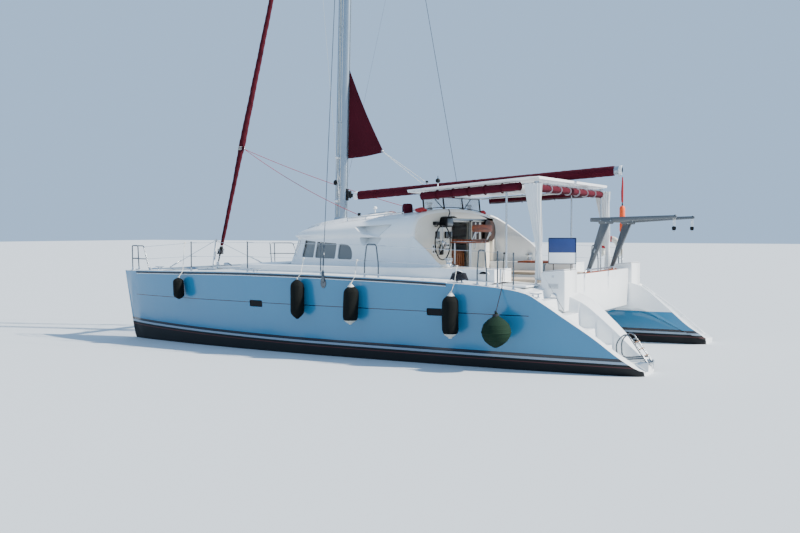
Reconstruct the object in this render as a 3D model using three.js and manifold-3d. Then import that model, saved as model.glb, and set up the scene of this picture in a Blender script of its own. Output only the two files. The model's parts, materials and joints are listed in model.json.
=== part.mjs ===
// A cruising sailing catamaran of 11.6 m, afloat, with its sails furled.
// Millimetres. +X points to the bows, +Y to port, +Z up.
// The origin is on the centreline amidships, at the waterline.
import * as THREE from "three";
import { mergeVertices } from "three/addons/utils/BufferGeometryUtils.js";
import Module from "manifold-3d";

const wasm = await Module();
wasm.setup();

// Driving dimensions
const GAP = 0.3; // left between pieces that touch
const CLEAR = 6; // left round a piece that moves
const BRIDGE_HALF = 1750; // half-width between the hulls above the bridgedeck
const BRIDGE_FRONT = 2880;
const FLOOR = 1000; // saloon and cockpit sole
const DECK_TOP = 1660; // top of the raised deck under the coachroof
const WALL = 70; // coachroof wall
const BULKHEAD = { aft: -1060, front: -1000 };
const BEAM_X = 5250; // forward crossbeam
const BEAM_Z = 1420;
const HULL_Y = 2470; // middle of a hull
const RUDDER_X = -5000;
const DRIVE_X = -3450;
const SHAFT_Z = -820;

const MAST = { foot: 2630, top: 17200, x: 1760, rake: 0.0249, long: 150, wide: 100 };
const mastX = (z) => MAST.x - MAST.rake * (z - MAST.foot);
const BOOM = { front: 1410, aft: -4600, z: 3124, rise: 0.064, high: 82, wide: 62 };
const boomZ = (x) => BOOM.z + BOOM.rise * (BOOM.front - x);
const GOOSENECK = { x: 1520, z: 3150, pin: 28, radius: 30 };

// Vectors, meshes and solids
const v = (x, y, z) => new THREE.Vector3(x, y, z);

function closedMesh(points, triangles) {
  let volume = 0;
  for (const [a, b, c] of triangles) volume += points[a].dot(points[b].clone().cross(points[c]));
  const outward = volume < 0 ? triangles.map(([a, b, c]) => [a, c, b]) : triangles;
  const geometry = new THREE.BufferGeometry();
  const numbers = points.flatMap((p) => p.toArray());
  geometry.setAttribute("position", new THREE.Float32BufferAttribute(numbers, 3));
  geometry.setIndex(outward.flat());
  return geometry;
}

function solid(geometry) {
  const bare = geometry.index ? geometry.toNonIndexed() : geometry.clone();
  bare.deleteAttribute("normal");
  bare.deleteAttribute("uv");
  const merged = mergeVertices(bare, 1e-3);
  return new wasm.Manifold(
    new wasm.Mesh({
      numProp: 3,
      vertProperties: merged.attributes.position.array,
      triVerts: new Uint32Array(merged.index.array),
    }),
  );
}

function geometryOf(body) {
  const mesh = body.getMesh();
  const geometry = new THREE.BufferGeometry();
  geometry.setAttribute("position", new THREE.BufferAttribute(mesh.vertProperties, 3));
  geometry.setIndex(new THREE.BufferAttribute(mesh.triVerts, 1));
  return geometry;
}

const moved = (body, x, y, z) => solid(geometryOf(body).translate(x, y, z));
const join = (...bodies) => bodies.reduce((a, b) => a.add(b));
const cut = (body, ...tools) => tools.reduce((a, b) => a.subtract(b), body);

// The same piece on the other side: y changes sign and each face is turned round.
function mirrored(body) {
  const geometry = geometryOf(body);
  const position = geometry.attributes.position;
  for (let i = 0; i < position.count; i++) position.setY(i, -position.getY(i));
  const index = geometry.index;
  for (let i = 0; i < index.count; i += 3) {
    const second = index.getX(i + 1);
    index.setX(i + 1, index.getX(i + 2));
    index.setX(i + 2, second);
  }
  return solid(geometry);
}

// A skin through rings of equally many points, closed by a fan at both ends.
function loft(rings) {
  const count = rings[0].length;
  const points = rings.flat();
  const triangles = [];
  for (let r = 0; r + 1 < rings.length; r++)
    for (let i = 0; i < count; i++) {
      const j = (i + 1) % count;
      const low = r * count;
      const high = low + count;
      triangles.push([low + i, low + j, high + j], [low + i, high + j, high + i]);
    }
  const ends = [
    [0, true],
    [rings.length - 1, false],
  ];
  for (const [r, first] of ends) {
    const middle = rings[r].reduce((sum, p) => sum.add(p), v(0, 0, 0)).divideScalar(count);
    const m = points.push(middle) - 1;
    for (let i = 0; i < count; i++) {
      const a = r * count + i;
      const b = r * count + ((i + 1) % count);
      triangles.push(first ? [b, a, m] : [a, b, m]);
    }
  }
  return solid(closedMesh(points, triangles));
}

function box(x, y, z) {
  const size = [x, y, z].map(([low, high]) => high - low);
  const middle = [x, y, z].map(([low, high]) => (low + high) / 2);
  return solid(new THREE.BoxGeometry(...size).translate(...middle));
}

function extrude(outline, depth) {
  const shape = new THREE.Shape(outline.map(([a, b]) => new THREE.Vector2(a, b)));
  return new THREE.ExtrudeGeometry(shape, { depth, bevelEnabled: false });
}

// Outlines in x and z pushed across the boat, in y and z pushed along it, and in x and y pushed up.
function acrossBoat(outline, low, high) {
  const turn = new THREE.Matrix4().makeBasis(v(1, 0, 0), v(0, 0, 1), v(0, -1, 0));
  return solid(extrude(outline, high - low).applyMatrix4(turn).translate(0, high, 0));
}
function alongBoat(outline, low, high) {
  const turn = new THREE.Matrix4().makeBasis(v(0, 1, 0), v(0, 0, 1), v(1, 0, 0));
  return solid(extrude(outline, high - low).applyMatrix4(turn).translate(low, 0, 0));
}
const upward = (outline, low, high) => solid(extrude(outline, high - low).translate(0, 0, low));

// A round bar bent along straight stretches, with its rings on the mitre planes.
function tube(path, radius, sides = 8) {
  let side = v(0.31, 0.87, 0.39);
  const rings = path.map((point, i) => {
    const before = i > 0 ? point.clone().sub(path[i - 1]).normalize() : null;
    const after = i + 1 < path.length ? path[i + 1].clone().sub(point).normalize() : null;
    const along = v(0, 0, 0).add(before ?? after).add(after ?? before).normalize();
    side = side.clone().addScaledVector(along, -side.dot(along)).normalize();
    const other = along.clone().cross(side);
    return Array.from({ length: sides }, (_, k) => {
      const turn = (2 * Math.PI * k) / sides;
      return point
        .clone()
        .addScaledVector(side, radius * Math.cos(turn))
        .addScaledVector(other, radius * Math.sin(turn));
    });
  });
  return loft(rings);
}

// An ellipse in the level plane: a is its half-length along x, b its half-width along y.
function levelEllipse(x, y, z, a, b, count = 16) {
  return Array.from({ length: count }, (_, k) => {
    const turn = (2 * Math.PI * k) / count;
    return v(x + a * Math.cos(turn), y + b * Math.sin(turn), z);
  });
}

// An ellipse square to x: b is its half-width, c its half-height.
function uprightEllipse(x, y, z, b, c, count = 12) {
  return Array.from({ length: count }, (_, k) => {
    const turn = (2 * Math.PI * k) / count;
    return v(x, y + b * Math.cos(turn), z + c * Math.sin(turn));
  });
}

// Finishes
const finish = (color, roughness, metalness = 0) =>
  new THREE.MeshStandardMaterial({ color, roughness, metalness });
const FINISH = {
  topsides: finish(0x86b3cc, 0.25),
  gelcoat: finish(0xeef1f2, 0.3),
  antifouling: finish(0x0c0d10, 0.8),
  bronze: finish(0xa9875a, 0.4, 1),
  engine: finish(0x5b6168, 0.6),
  tinted: finish(0x2a2f33, 0.1),
  steel: finish(0xc9cdd0, 0.25, 1),
  spar: finish(0xdfe2e3, 0.4, 0.6),
  canvas: finish(0x611530, 0.9),
  curtain: finish(0xd5dbe0, 0.85),
  teak: finish(0x9a4f27, 0.6),
  net: finish(0xdadcdc, 0.9),
  fender: finish(0x161d1e, 0.9),
};

const boat = new THREE.Group();
function add(name, body, material) {
  const mesh = new THREE.Mesh(geometryOf(body), material);
  mesh.name = name;
  boat.add(mesh);
}
function addPair(name, body, material) {
  add("port_" + name, body, material);
  add("starboard_" + name, mirrored(body), material);
}

// Port hull. Each row is a section square to x:
// x, keel z, lower level z, its inner and outer y, deck inner and outer y, deck inner and outer z.
const HULL = [
  [5815, 1340, 1400, 2485, 2515, 2470, 2530, 1470, 1470],
  [5700, 780, 1000, 2480, 2520, 2430, 2570, 1472, 1472],
  [5525, 0, 350, 2470, 2530, 2370, 2640, 1476, 1476],
  [5200, -270, 60, 2400, 2600, 2270, 2745, 1482, 1482],
  [4600, -400, 0, 2290, 2710, 2120, 2880, 1492, 1492],
  [3800, -480, 0, 2170, 2830, 1980, 3010, 1505, 1505],
  [2960, -530, 0, 2060, 2930, 1880, 3110, 1518, 1518],
  [2900, -532, 0, 2055, 2935, 1750, 3115, 1519, 1519],
  [2000, -560, 0, 1960, 3010, 1750, 3190, 1527, 1527],
  [600, -575, 0, 1890, 3085, 1750, 3255, 1520, 1520],
  [-900, -555, 0, 1870, 3105, 1750, 3262, 1492, 1492],
  [-2300, -490, 0, 1880, 3095, 1750, 3260, 1452, 1452],
  [-3500, -390, 0, 1910, 3060, 1750, 3235, 1400, 1375],
  [-3900, -345, 0, 1930, 3040, 1750, 3215, 1345, 1300],
  [-4200, -305, 0, 1950, 3020, 1750, 3200, 1290, 1140],
  [-4500, -260, 0, 1970, 2995, 1765, 3165, 1190, 945],
  [-5000, -180, 0, 2015, 2945, 1830, 3080, 795, 612],
  [-5450, -100, 0, 2065, 2885, 1930, 2985, 385, 270],
  [-5700, -50, 0, 2110, 2830, 2030, 2880, 200, 110],
  [-5775, -15, 20, 2160, 2780, 2120, 2810, 130, 80],
];
const CROWN = 15; // camber of the deck
const KNUCKLE = { low: 620, high: 700 }; // step of the inner side up to the bridgedeck

function hullRing([x, keel, low, lowIn, lowOut, deckIn, deckOut, zIn, zOut]) {
  const middle = (lowIn + lowOut) / 2;
  const bilge = (edge, turn) =>
    v(x, middle + (edge - middle) * Math.cos(turn) ** 0.8, low + (keel - low) * Math.sin(turn) ** 0.9);
  const side = (from, to, part, z) => v(x, from + (to - from) * part, z);
  const knuckleLow = Math.min(KNUCKLE.low, low + 0.5 * (zIn - low));
  const knuckleHigh = Math.min(KNUCKLE.high, low + 0.62 * (zIn - low));
  const tunnel = x <= BRIDGE_FRONT + 20;
  return [
    v(x, deckOut, zOut),
    side(lowOut, deckOut, 0.62, low + 0.5 * (zOut - low)),
    v(x, lowOut, low),
    bilge(lowOut, Math.PI / 6),
    bilge(lowOut, Math.PI / 3),
    v(x, middle, keel),
    bilge(lowIn, Math.PI / 3),
    bilge(lowIn, Math.PI / 6),
    v(x, lowIn, low),
    side(lowIn, deckIn, tunnel ? 0 : 0.3, knuckleLow),
    side(lowIn, deckIn, tunnel ? 1 : 0.55, knuckleHigh),
    v(x, deckIn, zIn),
    v(x, (deckIn + deckOut) / 2, (zIn + zOut) / 2 + CROWN),
  ];
}

// Steps of the stern scoop: the air above them, as x and z, and its width in plan.
const TREADS = [
  [-3950, 1180],
  [-4200, 930],
  [-4500, 680],
  [-4800, 420],
  [-5100, 160],
];
const SKY = 2400; // above the hulls
const SKY_TOP = 3300; // above the coachroof
const STERN = -5900;
function scoopAir() {
  const outline = [[TREADS[0][0], SKY]];
  TREADS.forEach(([x, z], i) => {
    const next = i + 1 < TREADS.length ? TREADS[i + 1][0] : STERN;
    outline.push([x, z], [next, z]);
  });
  outline.push([STERN, SKY]);
  const plan = [
    [-3900, 2300],
    [-3900, 3080],
    [-4600, 3030],
    [-5200, 2905],
    [-5700, 2740],
    [STERN, 2700],
    [STERN, 2280],
    [-5200, 2200],
    [-4600, 2180],
  ];
  return acrossBoat(outline, 2100, 3200).intersect(upward(plan, -100, SKY));
}

// Hatches: lid corners in x and y, rebate floor, lid thickness, and the hollow below.
const HATCH = {
  engine: { x: [-3790, -3110], y: [2200, 2890], floor: 1375, thick: 30, pit: [-3740, -3160, 2240, 2840, 60] },
  bow: { x: [4050, 4550], y: [2280, 2720], floor: 1462, thick: 30, pit: [4100, 4500, 2330, 2670, 700] },
};
function rebate({ x, y, floor, pit }) {
  const edge = box([x[0] - CLEAR, x[1] + CLEAR], [y[0] - CLEAR, y[1] + CLEAR], [floor, SKY]);
  return join(edge, box([pit[0], pit[1]], [pit[2], pit[3]], [pit[4], SKY]));
}
const lid = ({ x, y, floor, thick }) => box(x, y, [floor + CLEAR, floor + CLEAR + thick]);

// Ladder brackets at the stern, with the ladder's pin between them.
const LADDER = { x: -5800, z: 205, y: [2400, 2700], radius: 12.5, rungs: 3, height: 520, lean: 0.6 };
const bracket = (y) => box([-5830, -5560], [y - 22, y + 22], [60, 235]);

const QUARTER = [
  [-3880, 1150],
  [-4320, 950],
  [-4320, 1670],
  [-3880, 1625],
];
const RUDDER_STOCK = 26;
const BORE_TOP = 60;
const portHull = cut(
  join(
    cut(loft(HULL.map(hullRing)), scoopAir()),
    acrossBoat(QUARTER, 1790, 2450),
    bracket(LADDER.y[0] - 40),
    bracket(LADDER.y[1] + 40),
  ),
  rebate(HATCH.engine),
  rebate(HATCH.bow),
  tube([v(RUDDER_X, HULL_Y, -600), v(RUDDER_X, HULL_Y, BORE_TOP)], RUDDER_STOCK + 3, 12),
);
const starboardHull = cut(
  join(cut(loft(HULL.map(hullRing)), scoopAir()), acrossBoat(QUARTER, 1790, 2450)),
  rebate(HATCH.engine),
  rebate(HATCH.bow),
  tube([v(RUDDER_X, HULL_Y, -600), v(RUDDER_X, HULL_Y, BORE_TOP)], RUDDER_STOCK + 3, 12),
);
add("port_hull", portHull, FINISH.topsides);
add("starboard_hull", mirrored(starboardHull), FINISH.topsides);
addPair("engine_hatch", lid(HATCH.engine), FINISH.gelcoat);
addPair("bow_hatch", lid(HATCH.bow), FINISH.gelcoat);
const ENGINE = { x: [-3700, -3200], y: [2300, 2780], top: 640 };
addPair("engine", box(ENGINE.x, ENGINE.y, [HATCH.engine.pit[4] + GAP, ENGINE.top]), FINISH.engine);

// Below the hulls
const hullAbove = moved(starboardHull, 0, 0, -GAP);
// A blade of lens section. Rows: z, nose x, chord, thickness.
function blade(rows) {
  const ring = ([z, nose, chord, thick]) => {
    const upper = [0, 0.06, 0.25, 0.55, 1];
    const half = [0, 0.32, 0.5, 0.38, 0.02];
    const left = upper.map((part, i) => v(nose - part * chord, HULL_Y + half[i] * thick, z));
    const right = upper
      .slice(1)
      .map((part, i) => v(nose - part * chord, HULL_Y - half[i + 1] * thick, z))
      .reverse();
    return [...left, ...right];
  };
  return loft(rows.map(ring));
}
addPair(
  "keel",
  cut(
    blade([
      [-1150, 950, 1700, 150],
      [-1080, 1000, 1800, 200],
      [-500, 1250, 2300, 260],
    ]),
    hullAbove,
  ),
  FINISH.antifouling,
);
addPair(
  "rudder",
  join(
    blade([
      [-1000, RUDDER_X + 110, 340, 45],
      [-620, RUDDER_X + 130, 420, 60],
      [-240, RUDDER_X + 140, 460, 66],
    ]),
    tube([v(RUDDER_X, HULL_Y, -400), v(RUDDER_X, HULL_Y, BORE_TOP - 10)], RUDDER_STOCK, 12),
  ),
  FINISH.antifouling,
);
// Rows of the gearbox: x and radius.
const GEARBOX = [
  [-3620, 30],
  [-3560, 62],
  [-3440, 78],
  [-3300, 70],
  [-3200, 20],
];
addPair(
  "saildrive",
  join(
    cut(
      blade([
        [SHAFT_Z, DRIVE_X + 130, 260, 90],
        [-600, DRIVE_X + 140, 280, 100],
        [-300, DRIVE_X + 190, 380, 150],
      ]),
      hullAbove,
    ),
    loft(GEARBOX.map(([x, r]) => uprightEllipse(x, HULL_Y, SHAFT_Z, r, r))),
  ),
  FINISH.antifouling,
);
// Turning parts: blade size, pitch in radians and middle radius, then the hub's radius and its two ends.
const PROP = { x: -3672, thick: 14, wide: 90, long: 190, pitch: 0.5, middle: 115 };
const HUB = { radius: 36, front: -3626, aft: -3740 };
function propellerBlade(turn) {
  const plate = new THREE.BoxGeometry(PROP.thick, PROP.wide, PROP.long).rotateZ(PROP.pitch);
  return solid(plate.translate(0, 0, PROP.middle).rotateX(turn).translate(PROP.x, HULL_Y, SHAFT_Z));
}
addPair(
  "propeller",
  join(
    tube([v(HUB.front, HULL_Y, SHAFT_Z), v(HUB.aft, HULL_Y, SHAFT_Z)], HUB.radius, 12),
    ...[0, 1, 2].map((k) => propellerBlade((2 * Math.PI * k) / 3)),
  ),
  FINISH.bronze,
);

// Bridgedeck: sole, front wall, cockpit seats and the aft bench in one moulding
const BRIDGE_Y = BRIDGE_HALF - GAP;
const SOLE = [
  [-4250, 800],
  [-3900, 660],
  [1600, 680],
  [2500, 780],
  [BRIDGE_FRONT, FLOOR],
  [-4250, FLOOR],
];
const SEAT_TOP = 1400;
const AFT_BEAM_TOP = 1560;
const AFT_SEAT = [
  [-4250, 900],
  [-3700, 900],
  [-3700, 1380],
  [-4120, 1380],
  [-4150, AFT_BEAM_TOP],
  [-4250, AFT_BEAM_TOP],
];
const SIDE_SEAT = { x: [-3720, -1500], y: [1150, BRIDGE_Y], z: [900, SEAT_TOP] };
const sideSeat = box(SIDE_SEAT.x, SIDE_SEAT.y, SIDE_SEAT.z);
add(
  "bridgedeck",
  join(
    acrossBoat(SOLE, -BRIDGE_Y, BRIDGE_Y),
    box([BRIDGE_FRONT - 80, BRIDGE_FRONT], [-BRIDGE_Y, BRIDGE_Y], [FLOOR - 50, 1500 - GAP]),
    acrossBoat(AFT_SEAT, -BRIDGE_Y, BRIDGE_Y),
    sideSeat,
    mirrored(sideSeat),
  ),
  FINISH.gelcoat,
);

// Raised deck under the coachroof, standing on the hulls and on the bridgedeck's front wall
const RAISED_FRONT = 2890;
const COAMING_AFT = -3050;
const RAISED = [
  [COAMING_AFT, 2530],
  [-2200, 2560],
  [-1000, 2680],
  [1000, 2690],
  [2100, 2640],
  [2650, 2450],
  [RAISED_FRONT, 2050],
];
const raisedPlan = [...RAISED, ...RAISED.map(([x, y]) => [x, -y]).reverse()];
const hullsBelow = join(moved(starboardHull, 0, 0, GAP), mirrored(moved(starboardHull, 0, 0, GAP)));
const SALOON_FRONT = 2300;
add(
  "raised_deck",
  cut(
    upward(raisedPlan, 1350, DECK_TOP),
    box([SALOON_FRONT, 3000], [-BRIDGE_HALF - GAP, BRIDGE_HALF + GAP], [1300, 1500]),
    box([COAMING_AFT - 50, SALOON_FRONT], [-BRIDGE_HALF - 5, BRIDGE_HALF + 5], [1300, 1700]),
    hullsBelow,
  ),
  FINISH.gelcoat,
);

// Coachroof. Rows from the foot to the crown: nose x, half-width, z at the nose, z at the aft end.
const ROOF = [
  [2500, 2150, DECK_TOP + GAP, DECK_TOP + GAP],
  [2370, 2020, 2160, 2230],
  [2440, 2035, 2230, 2310],
  [2250, 1930, 2320, 2520],
  [1850, 1700, 2420, 2800],
  [1350, 1300, 2520, 2870],
  [900, 700, 2585, 2930],
];
const NOSE = 1550; // length of the elliptical nose in plan
const ROOF_AFT = -2250;
const INSIDE_AFT = ROOF_AFT - 400;
const NOSE_STEPS = 14;
function roofRing([nose, half, zNose, zAft], inset, aft) {
  const tip = nose - inset;
  const width = half - inset;
  const length = Math.min(NOSE, nose + 900);
  const heights = (x) => zNose + ((zAft - zNose) * (nose - x)) / (nose - ROOF_AFT);
  const points = [[aft, width]];
  for (let k = 0; k <= NOSE_STEPS; k++) {
    const turn = Math.PI / 2 - (Math.PI * k) / NOSE_STEPS;
    points.push([tip - length + length * Math.cos(turn), width * Math.sin(turn)]);
  }
  points.push([aft, -width]);
  return points.map(([x, y]) => v(x, y, heights(x)));
}
function roofLoft(inset, aft) {
  const rows = ROOF.map(([nose, half, zNose, zAft], i) =>
    i === 0 && inset > 0 ? [nose, half, zNose - 300, zAft - 300] : [nose, half, zNose - inset, zAft - inset],
  );
  return loft(rows.map((row) => roofRing(row, inset, aft)));
}
// Aft of the arch only the sides go on, as wings that slope down: z at the arch, then x and z at the end.
const ARCH_X = -1150;
const WING = { port: [2220, -1850, 1690], starboard: [2700, -2110, 1980] };
const aboveWing = ([top, end, endTop], low, high) =>
  acrossBoat(
    [
      [ARCH_X, SKY_TOP],
      [ARCH_X, top],
      [end, endTop],
      [end, DECK_TOP - 160],
      [ROOF_AFT - 350, DECK_TOP - 160],
      [ROOF_AFT - 350, SKY_TOP],
    ],
    low,
    high,
  );
const aboveWings = join(aboveWing(WING.port, 0, 2500), aboveWing(WING.starboard, -2500, 0));
// Side windows slope down aft: z of both edges at x = 0, and what they rise for each millimetre forward.
const WINDOW = { low: 1774, high: 2055, lowRise: 0.028, highRise: 0.064 };
const lowAt = (x) => WINDOW.low + WINDOW.lowRise * x;
const highAt = (x) => WINDOW.high + WINDOW.highRise * x;
const PANE = { low: 1815, high: 2145 }; // front windows
// Side windows by their ends in x, the last with a round upper corner, and front windows by y.
const SIDE_WINDOWS = [
  [585, 1035],
  [1095, 1390],
];
const FRONT_WINDOWS = [
  [60, 720],
  [810, 1270],
  [1360, 1720],
];
const ROUND_WINDOW = [
  [505, lowAt(505)],
  [505, highAt(505)],
  [330, highAt(330) - 6],
  [230, highAt(230) - 55],
  [165, highAt(165) - 160],
  [140, lowAt(140)],
];
function windowHoles(sign) {
  const across = (outline) => acrossBoat(outline, sign > 0 ? 1000 : -2600, sign > 0 ? 2600 : -1000);
  const pane = (x0, x1) => [
    [x0, lowAt(x0)],
    [x1, lowAt(x1)],
    [x1, highAt(x1)],
    [x0, highAt(x0)],
  ];
  const ends = ([y0, y1]) => (sign > 0 ? [y0, y1] : [-y1, -y0]);
  return join(
    across(ROUND_WINDOW),
    ...SIDE_WINDOWS.map(([x0, x1]) => across(pane(x0, x1))),
    ...FRONT_WINDOWS.map((y) => box([1500, 2700], ends(y), [PANE.low, PANE.high])),
  );
}
const roofSkin = roofLoft(0, ROOF_AFT);
add(
  "coachroof",
  cut(roofSkin, roofLoft(WALL, INSIDE_AFT), aboveWings, windowHoles(1), windowHoles(-1)),
  FINISH.gelcoat,
);
add(
  "saloon_windows",
  cut(
    roofLoft(WALL + 1, INSIDE_AFT).intersect(box([100, 2600], [-2400, 2400], [PANE.low - 70, PANE.high + 30])),
    roofLoft(WALL + 9, INSIDE_AFT),
  ),
  FINISH.tinted,
);

// Aft bulkhead of the saloon with its doorway and window
const DOORWAY = { y: [-720, 220], top: 2530 };
const DOOR = { width: 970, closed: -735, travel: 1005, thick: 30 };
const STARBOARD_WINDOW = [
  [-900, 2080],
  [-900, 2520],
  [-1600, 2520],
  [-1720, 2460],
  [-1760, 2350],
  [-1740, 2180],
  [-1640, 2090],
];
const bulkheadSlab = [BULKHEAD.aft, BULKHEAD.front];
const starboardWindow = alongBoat(STARBOARD_WINDOW, BULKHEAD.aft - 50, BULKHEAD.front + 50);
add(
  "saloon_bulkhead",
  cut(
    join(
      roofLoft(WALL + 0.5, INSIDE_AFT).intersect(box(bulkheadSlab, [-2400, 2400], [DECK_TOP + GAP, 3000])),
      box(bulkheadSlab, [-BRIDGE_Y, BRIDGE_Y], [FLOOR + GAP, DECK_TOP + 20]),
    ),
    box([-1200, -900], DOORWAY.y, [FLOOR + 60, DOORWAY.top]),
    starboardWindow,
  ),
  FINISH.gelcoat,
);
const doorX = [BULKHEAD.aft - CLEAR - DOOR.thick, BULKHEAD.aft - CLEAR];
const doorY = DOOR.closed - DOOR.travel;
const DOOR_CORNER = { across: 180, down: 130 }; // the outer top corner follows the coachroof's shoulder
add(
  "saloon_door",
  alongBoat(
    [
      [doorY, FLOOR + 30],
      [doorY + DOOR.width, FLOOR + 30],
      [doorY + DOOR.width, DOORWAY.top + 30],
      [doorY + DOOR_CORNER.across, DOORWAY.top + 30],
      [doorY, DOORWAY.top + 30 - DOOR_CORNER.down],
    ],
    ...doorX,
  ),
  FINISH.tinted,
);

// Helm
const WHEEL = { x: -1290, y: 1030, z: 2110, radius: 340, rim: 14, spoke: 7, hub: 45, spokes: 5 };
const wheelRim = solid(new THREE.TorusGeometry(WHEEL.radius, WHEEL.rim, 8, 28).rotateY(Math.PI / 2));
function spoke(_, k) {
  const turn = Math.PI / 2 + (2 * Math.PI * k) / WHEEL.spokes;
  const tip = v(0, WHEEL.radius * Math.cos(turn), WHEEL.radius * Math.sin(turn));
  return tube([v(0, 0, 0), tip], WHEEL.spoke, 6);
}
add(
  "helm_wheel",
  moved(
    join(
      wheelRim,
      ...Array.from({ length: WHEEL.spokes }, spoke),
      tube([v(-30, 0, 0), v(BULKHEAD.aft - CLEAR - WHEEL.x, 0, 0)], WHEEL.hub, 12),
    ),
    WHEEL.x,
    WHEEL.y,
    WHEEL.z,
  ),
  FINISH.steel,
);
const HELM_SEAT = { x: [-2110, -1700], y: [700, 1460], z: 2160, thick: 40, tube: 14 };
const SEAT_BACK = { x: [-2215, -2190], y: [650, 1500], z: [2320, 2460], foot: -2090, head: -2200 };
const SEAT_LEGS = { x: [-2080, -1740], outer: 1420, inner: 740 };
const seatLeg = (x, y, foot) => tube([v(x, y, foot + GAP), v(x, y, HELM_SEAT.z)], HELM_SEAT.tube);
const seatPost = (y) => tube([v(SEAT_BACK.foot, y, HELM_SEAT.z), v(SEAT_BACK.head, y, 2400)], HELM_SEAT.tube);
add(
  "helm_seat",
  join(
    box(HELM_SEAT.x, HELM_SEAT.y, [HELM_SEAT.z - HELM_SEAT.thick / 2, HELM_SEAT.z + HELM_SEAT.thick / 2]),
    box(SEAT_BACK.x, SEAT_BACK.y, SEAT_BACK.z),
    seatPost(HELM_SEAT.y[0] + 30),
    seatPost(HELM_SEAT.y[1] - 40),
    ...SEAT_LEGS.x.flatMap((x) => [seatLeg(x, SEAT_LEGS.outer, SEAT_TOP), seatLeg(x, SEAT_LEGS.inner, FLOOR)]),
  ),
  FINISH.teak,
);
const TABLE = { x: [-3250, -2350], y: [-900, -250], z: [1690, 1725], stem: 45 };
const tableMiddle = [(TABLE.x[0] + TABLE.x[1]) / 2, (TABLE.y[0] + TABLE.y[1]) / 2];
add(
  "cockpit_table",
  join(
    box(TABLE.x, TABLE.y, TABLE.z),
    tube([v(...tableMiddle, FLOOR + GAP), v(...tableMiddle, TABLE.z[0] + 10)], TABLE.stem, 12),
  ),
  FINISH.teak,
);

// Mast with its spreaders and diamond stays
const SPREADER = { z: 8200, tip: 1500, sweep: 280, lift: 60, radius: 32 };
const DIAMOND = { low: 3050, high: 14500 };
const STAY_RADIUS = 7;
// Rows: z and the share of the full section.
const MAST_ROWS = [
  [2400, 1],
  [12000, 1],
  [15500, 0.92],
  [MAST.top, 0.75],
];
const mastRing = ([z, part]) => levelEllipse(mastX(z), 0, z, MAST.long * part, MAST.wide * part);
function spreaderSide(sign) {
  const root = v(mastX(SPREADER.z), 0, SPREADER.z);
  const tip = v(mastX(SPREADER.z) - SPREADER.sweep, sign * SPREADER.tip, SPREADER.z + SPREADER.lift);
  const low = v(mastX(DIAMOND.low), sign * (MAST.wide - 20), DIAMOND.low);
  const high = v(mastX(DIAMOND.high), sign * (MAST.wide - 30), DIAMOND.high);
  return join(tube([root, tip], SPREADER.radius, 8), tube([low, tip, high], STAY_RADIUS, 6));
}
add(
  "mast",
  join(
    cut(
      loft(MAST_ROWS.map(mastRing)),
      moved(roofSkin, 0, 0, GAP),
    ),
    spreaderSide(1),
    spreaderSide(-1),
  ),
  FINISH.spar,
);
const HOUNDS = 16000;
const around = (middle, size) => [middle - size / 2, middle + size / 2];
const CHAINPLATE = { x: 80, y: 3276, z: [1180, 1510], wide: 100, thick: 20 };
addPair(
  "shroud",
  join(
    tube(
      [v(CHAINPLATE.x, CHAINPLATE.y, CHAINPLATE.z[1] - 20), v(mastX(HOUNDS) - 60, MAST.wide + 12, HOUNDS)],
      STAY_RADIUS,
      6,
    ),
    box(around(CHAINPLATE.x, CHAINPLATE.wide), around(CHAINPLATE.y, CHAINPLATE.thick), CHAINPLATE.z),
  ),
  FINISH.steel,
);

// Forestay, furling drum and the furled genoa
const STAY = { low: v(BEAM_X + 50, 0, 1530), high: v(1600, 0, 15400) };
const onStay = (z) => STAY.low.clone().lerp(STAY.high, (z - STAY.low.z) / (STAY.high.z - STAY.low.z));
// Rows of both: z and radius.
const DRUM = [
  [1620, 16],
  [1790, 16],
  [1795, 85],
  [1900, 85],
  [1905, 40],
  [1975, 40],
];
const GENOA = [
  [1980, 40],
  [2150, 44],
  [3600, 52],
  [4370, 79],
  [5500, 66],
  [7600, 54],
  [12000, 45],
  [14400, 30],
  [14450, 8],
  [STAY.high.z, 8],
];
const stayRing = ([z, r]) => levelEllipse(onStay(z).x, 0, z, r, r, 12);
add("furling_drum", loft(DRUM.map(stayRing)), FINISH.steel);
add("furled_genoa", loft(GENOA.map(stayRing)), FINISH.canvas);

// Boom with its cover, and the clew of the sail that is furled into the mast
const boomRing = (x, part) => uprightEllipse(x, 0, boomZ(x), BOOM.wide * part, BOOM.high * part);
add(
  "boom",
  join(
    loft([boomRing(BOOM.front, 1), boomRing(BOOM.aft, 1)]),
    tube(
      [v(GOOSENECK.x + GOOSENECK.pin, 0, GOOSENECK.z), v(BOOM.front - 40, 0, boomZ(BOOM.front))],
      GOOSENECK.radius,
      10,
    ),
  ),
  FINISH.spar,
);
// Its cover is a sleeve: where it ends, and its outside and inside as shares of the boom's section.
const COVER = { front: BOOM.front - 110, aft: BOOM.aft + 150, outside: 1.13, inside: 1.02 };
add(
  "boom_cover",
  cut(
    loft([boomRing(COVER.front, COVER.outside), boomRing(COVER.aft, COVER.outside)]),
    loft([boomRing(BOOM.front, COVER.inside), boomRing(BOOM.aft, COVER.inside)]),
  ),
  FINISH.canvas,
);
const luff = (z) => mastX(z) - MAST.long - 8; // where the sail leaves the mast
add(
  "mainsail_clew",
  acrossBoat(
    [
      [luff(3950), 3950],
      [luff(5900), 5900],
      [720, 4150],
      [640, 4040],
    ],
    -9,
    9,
  ),
  FINISH.canvas,
);

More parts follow.
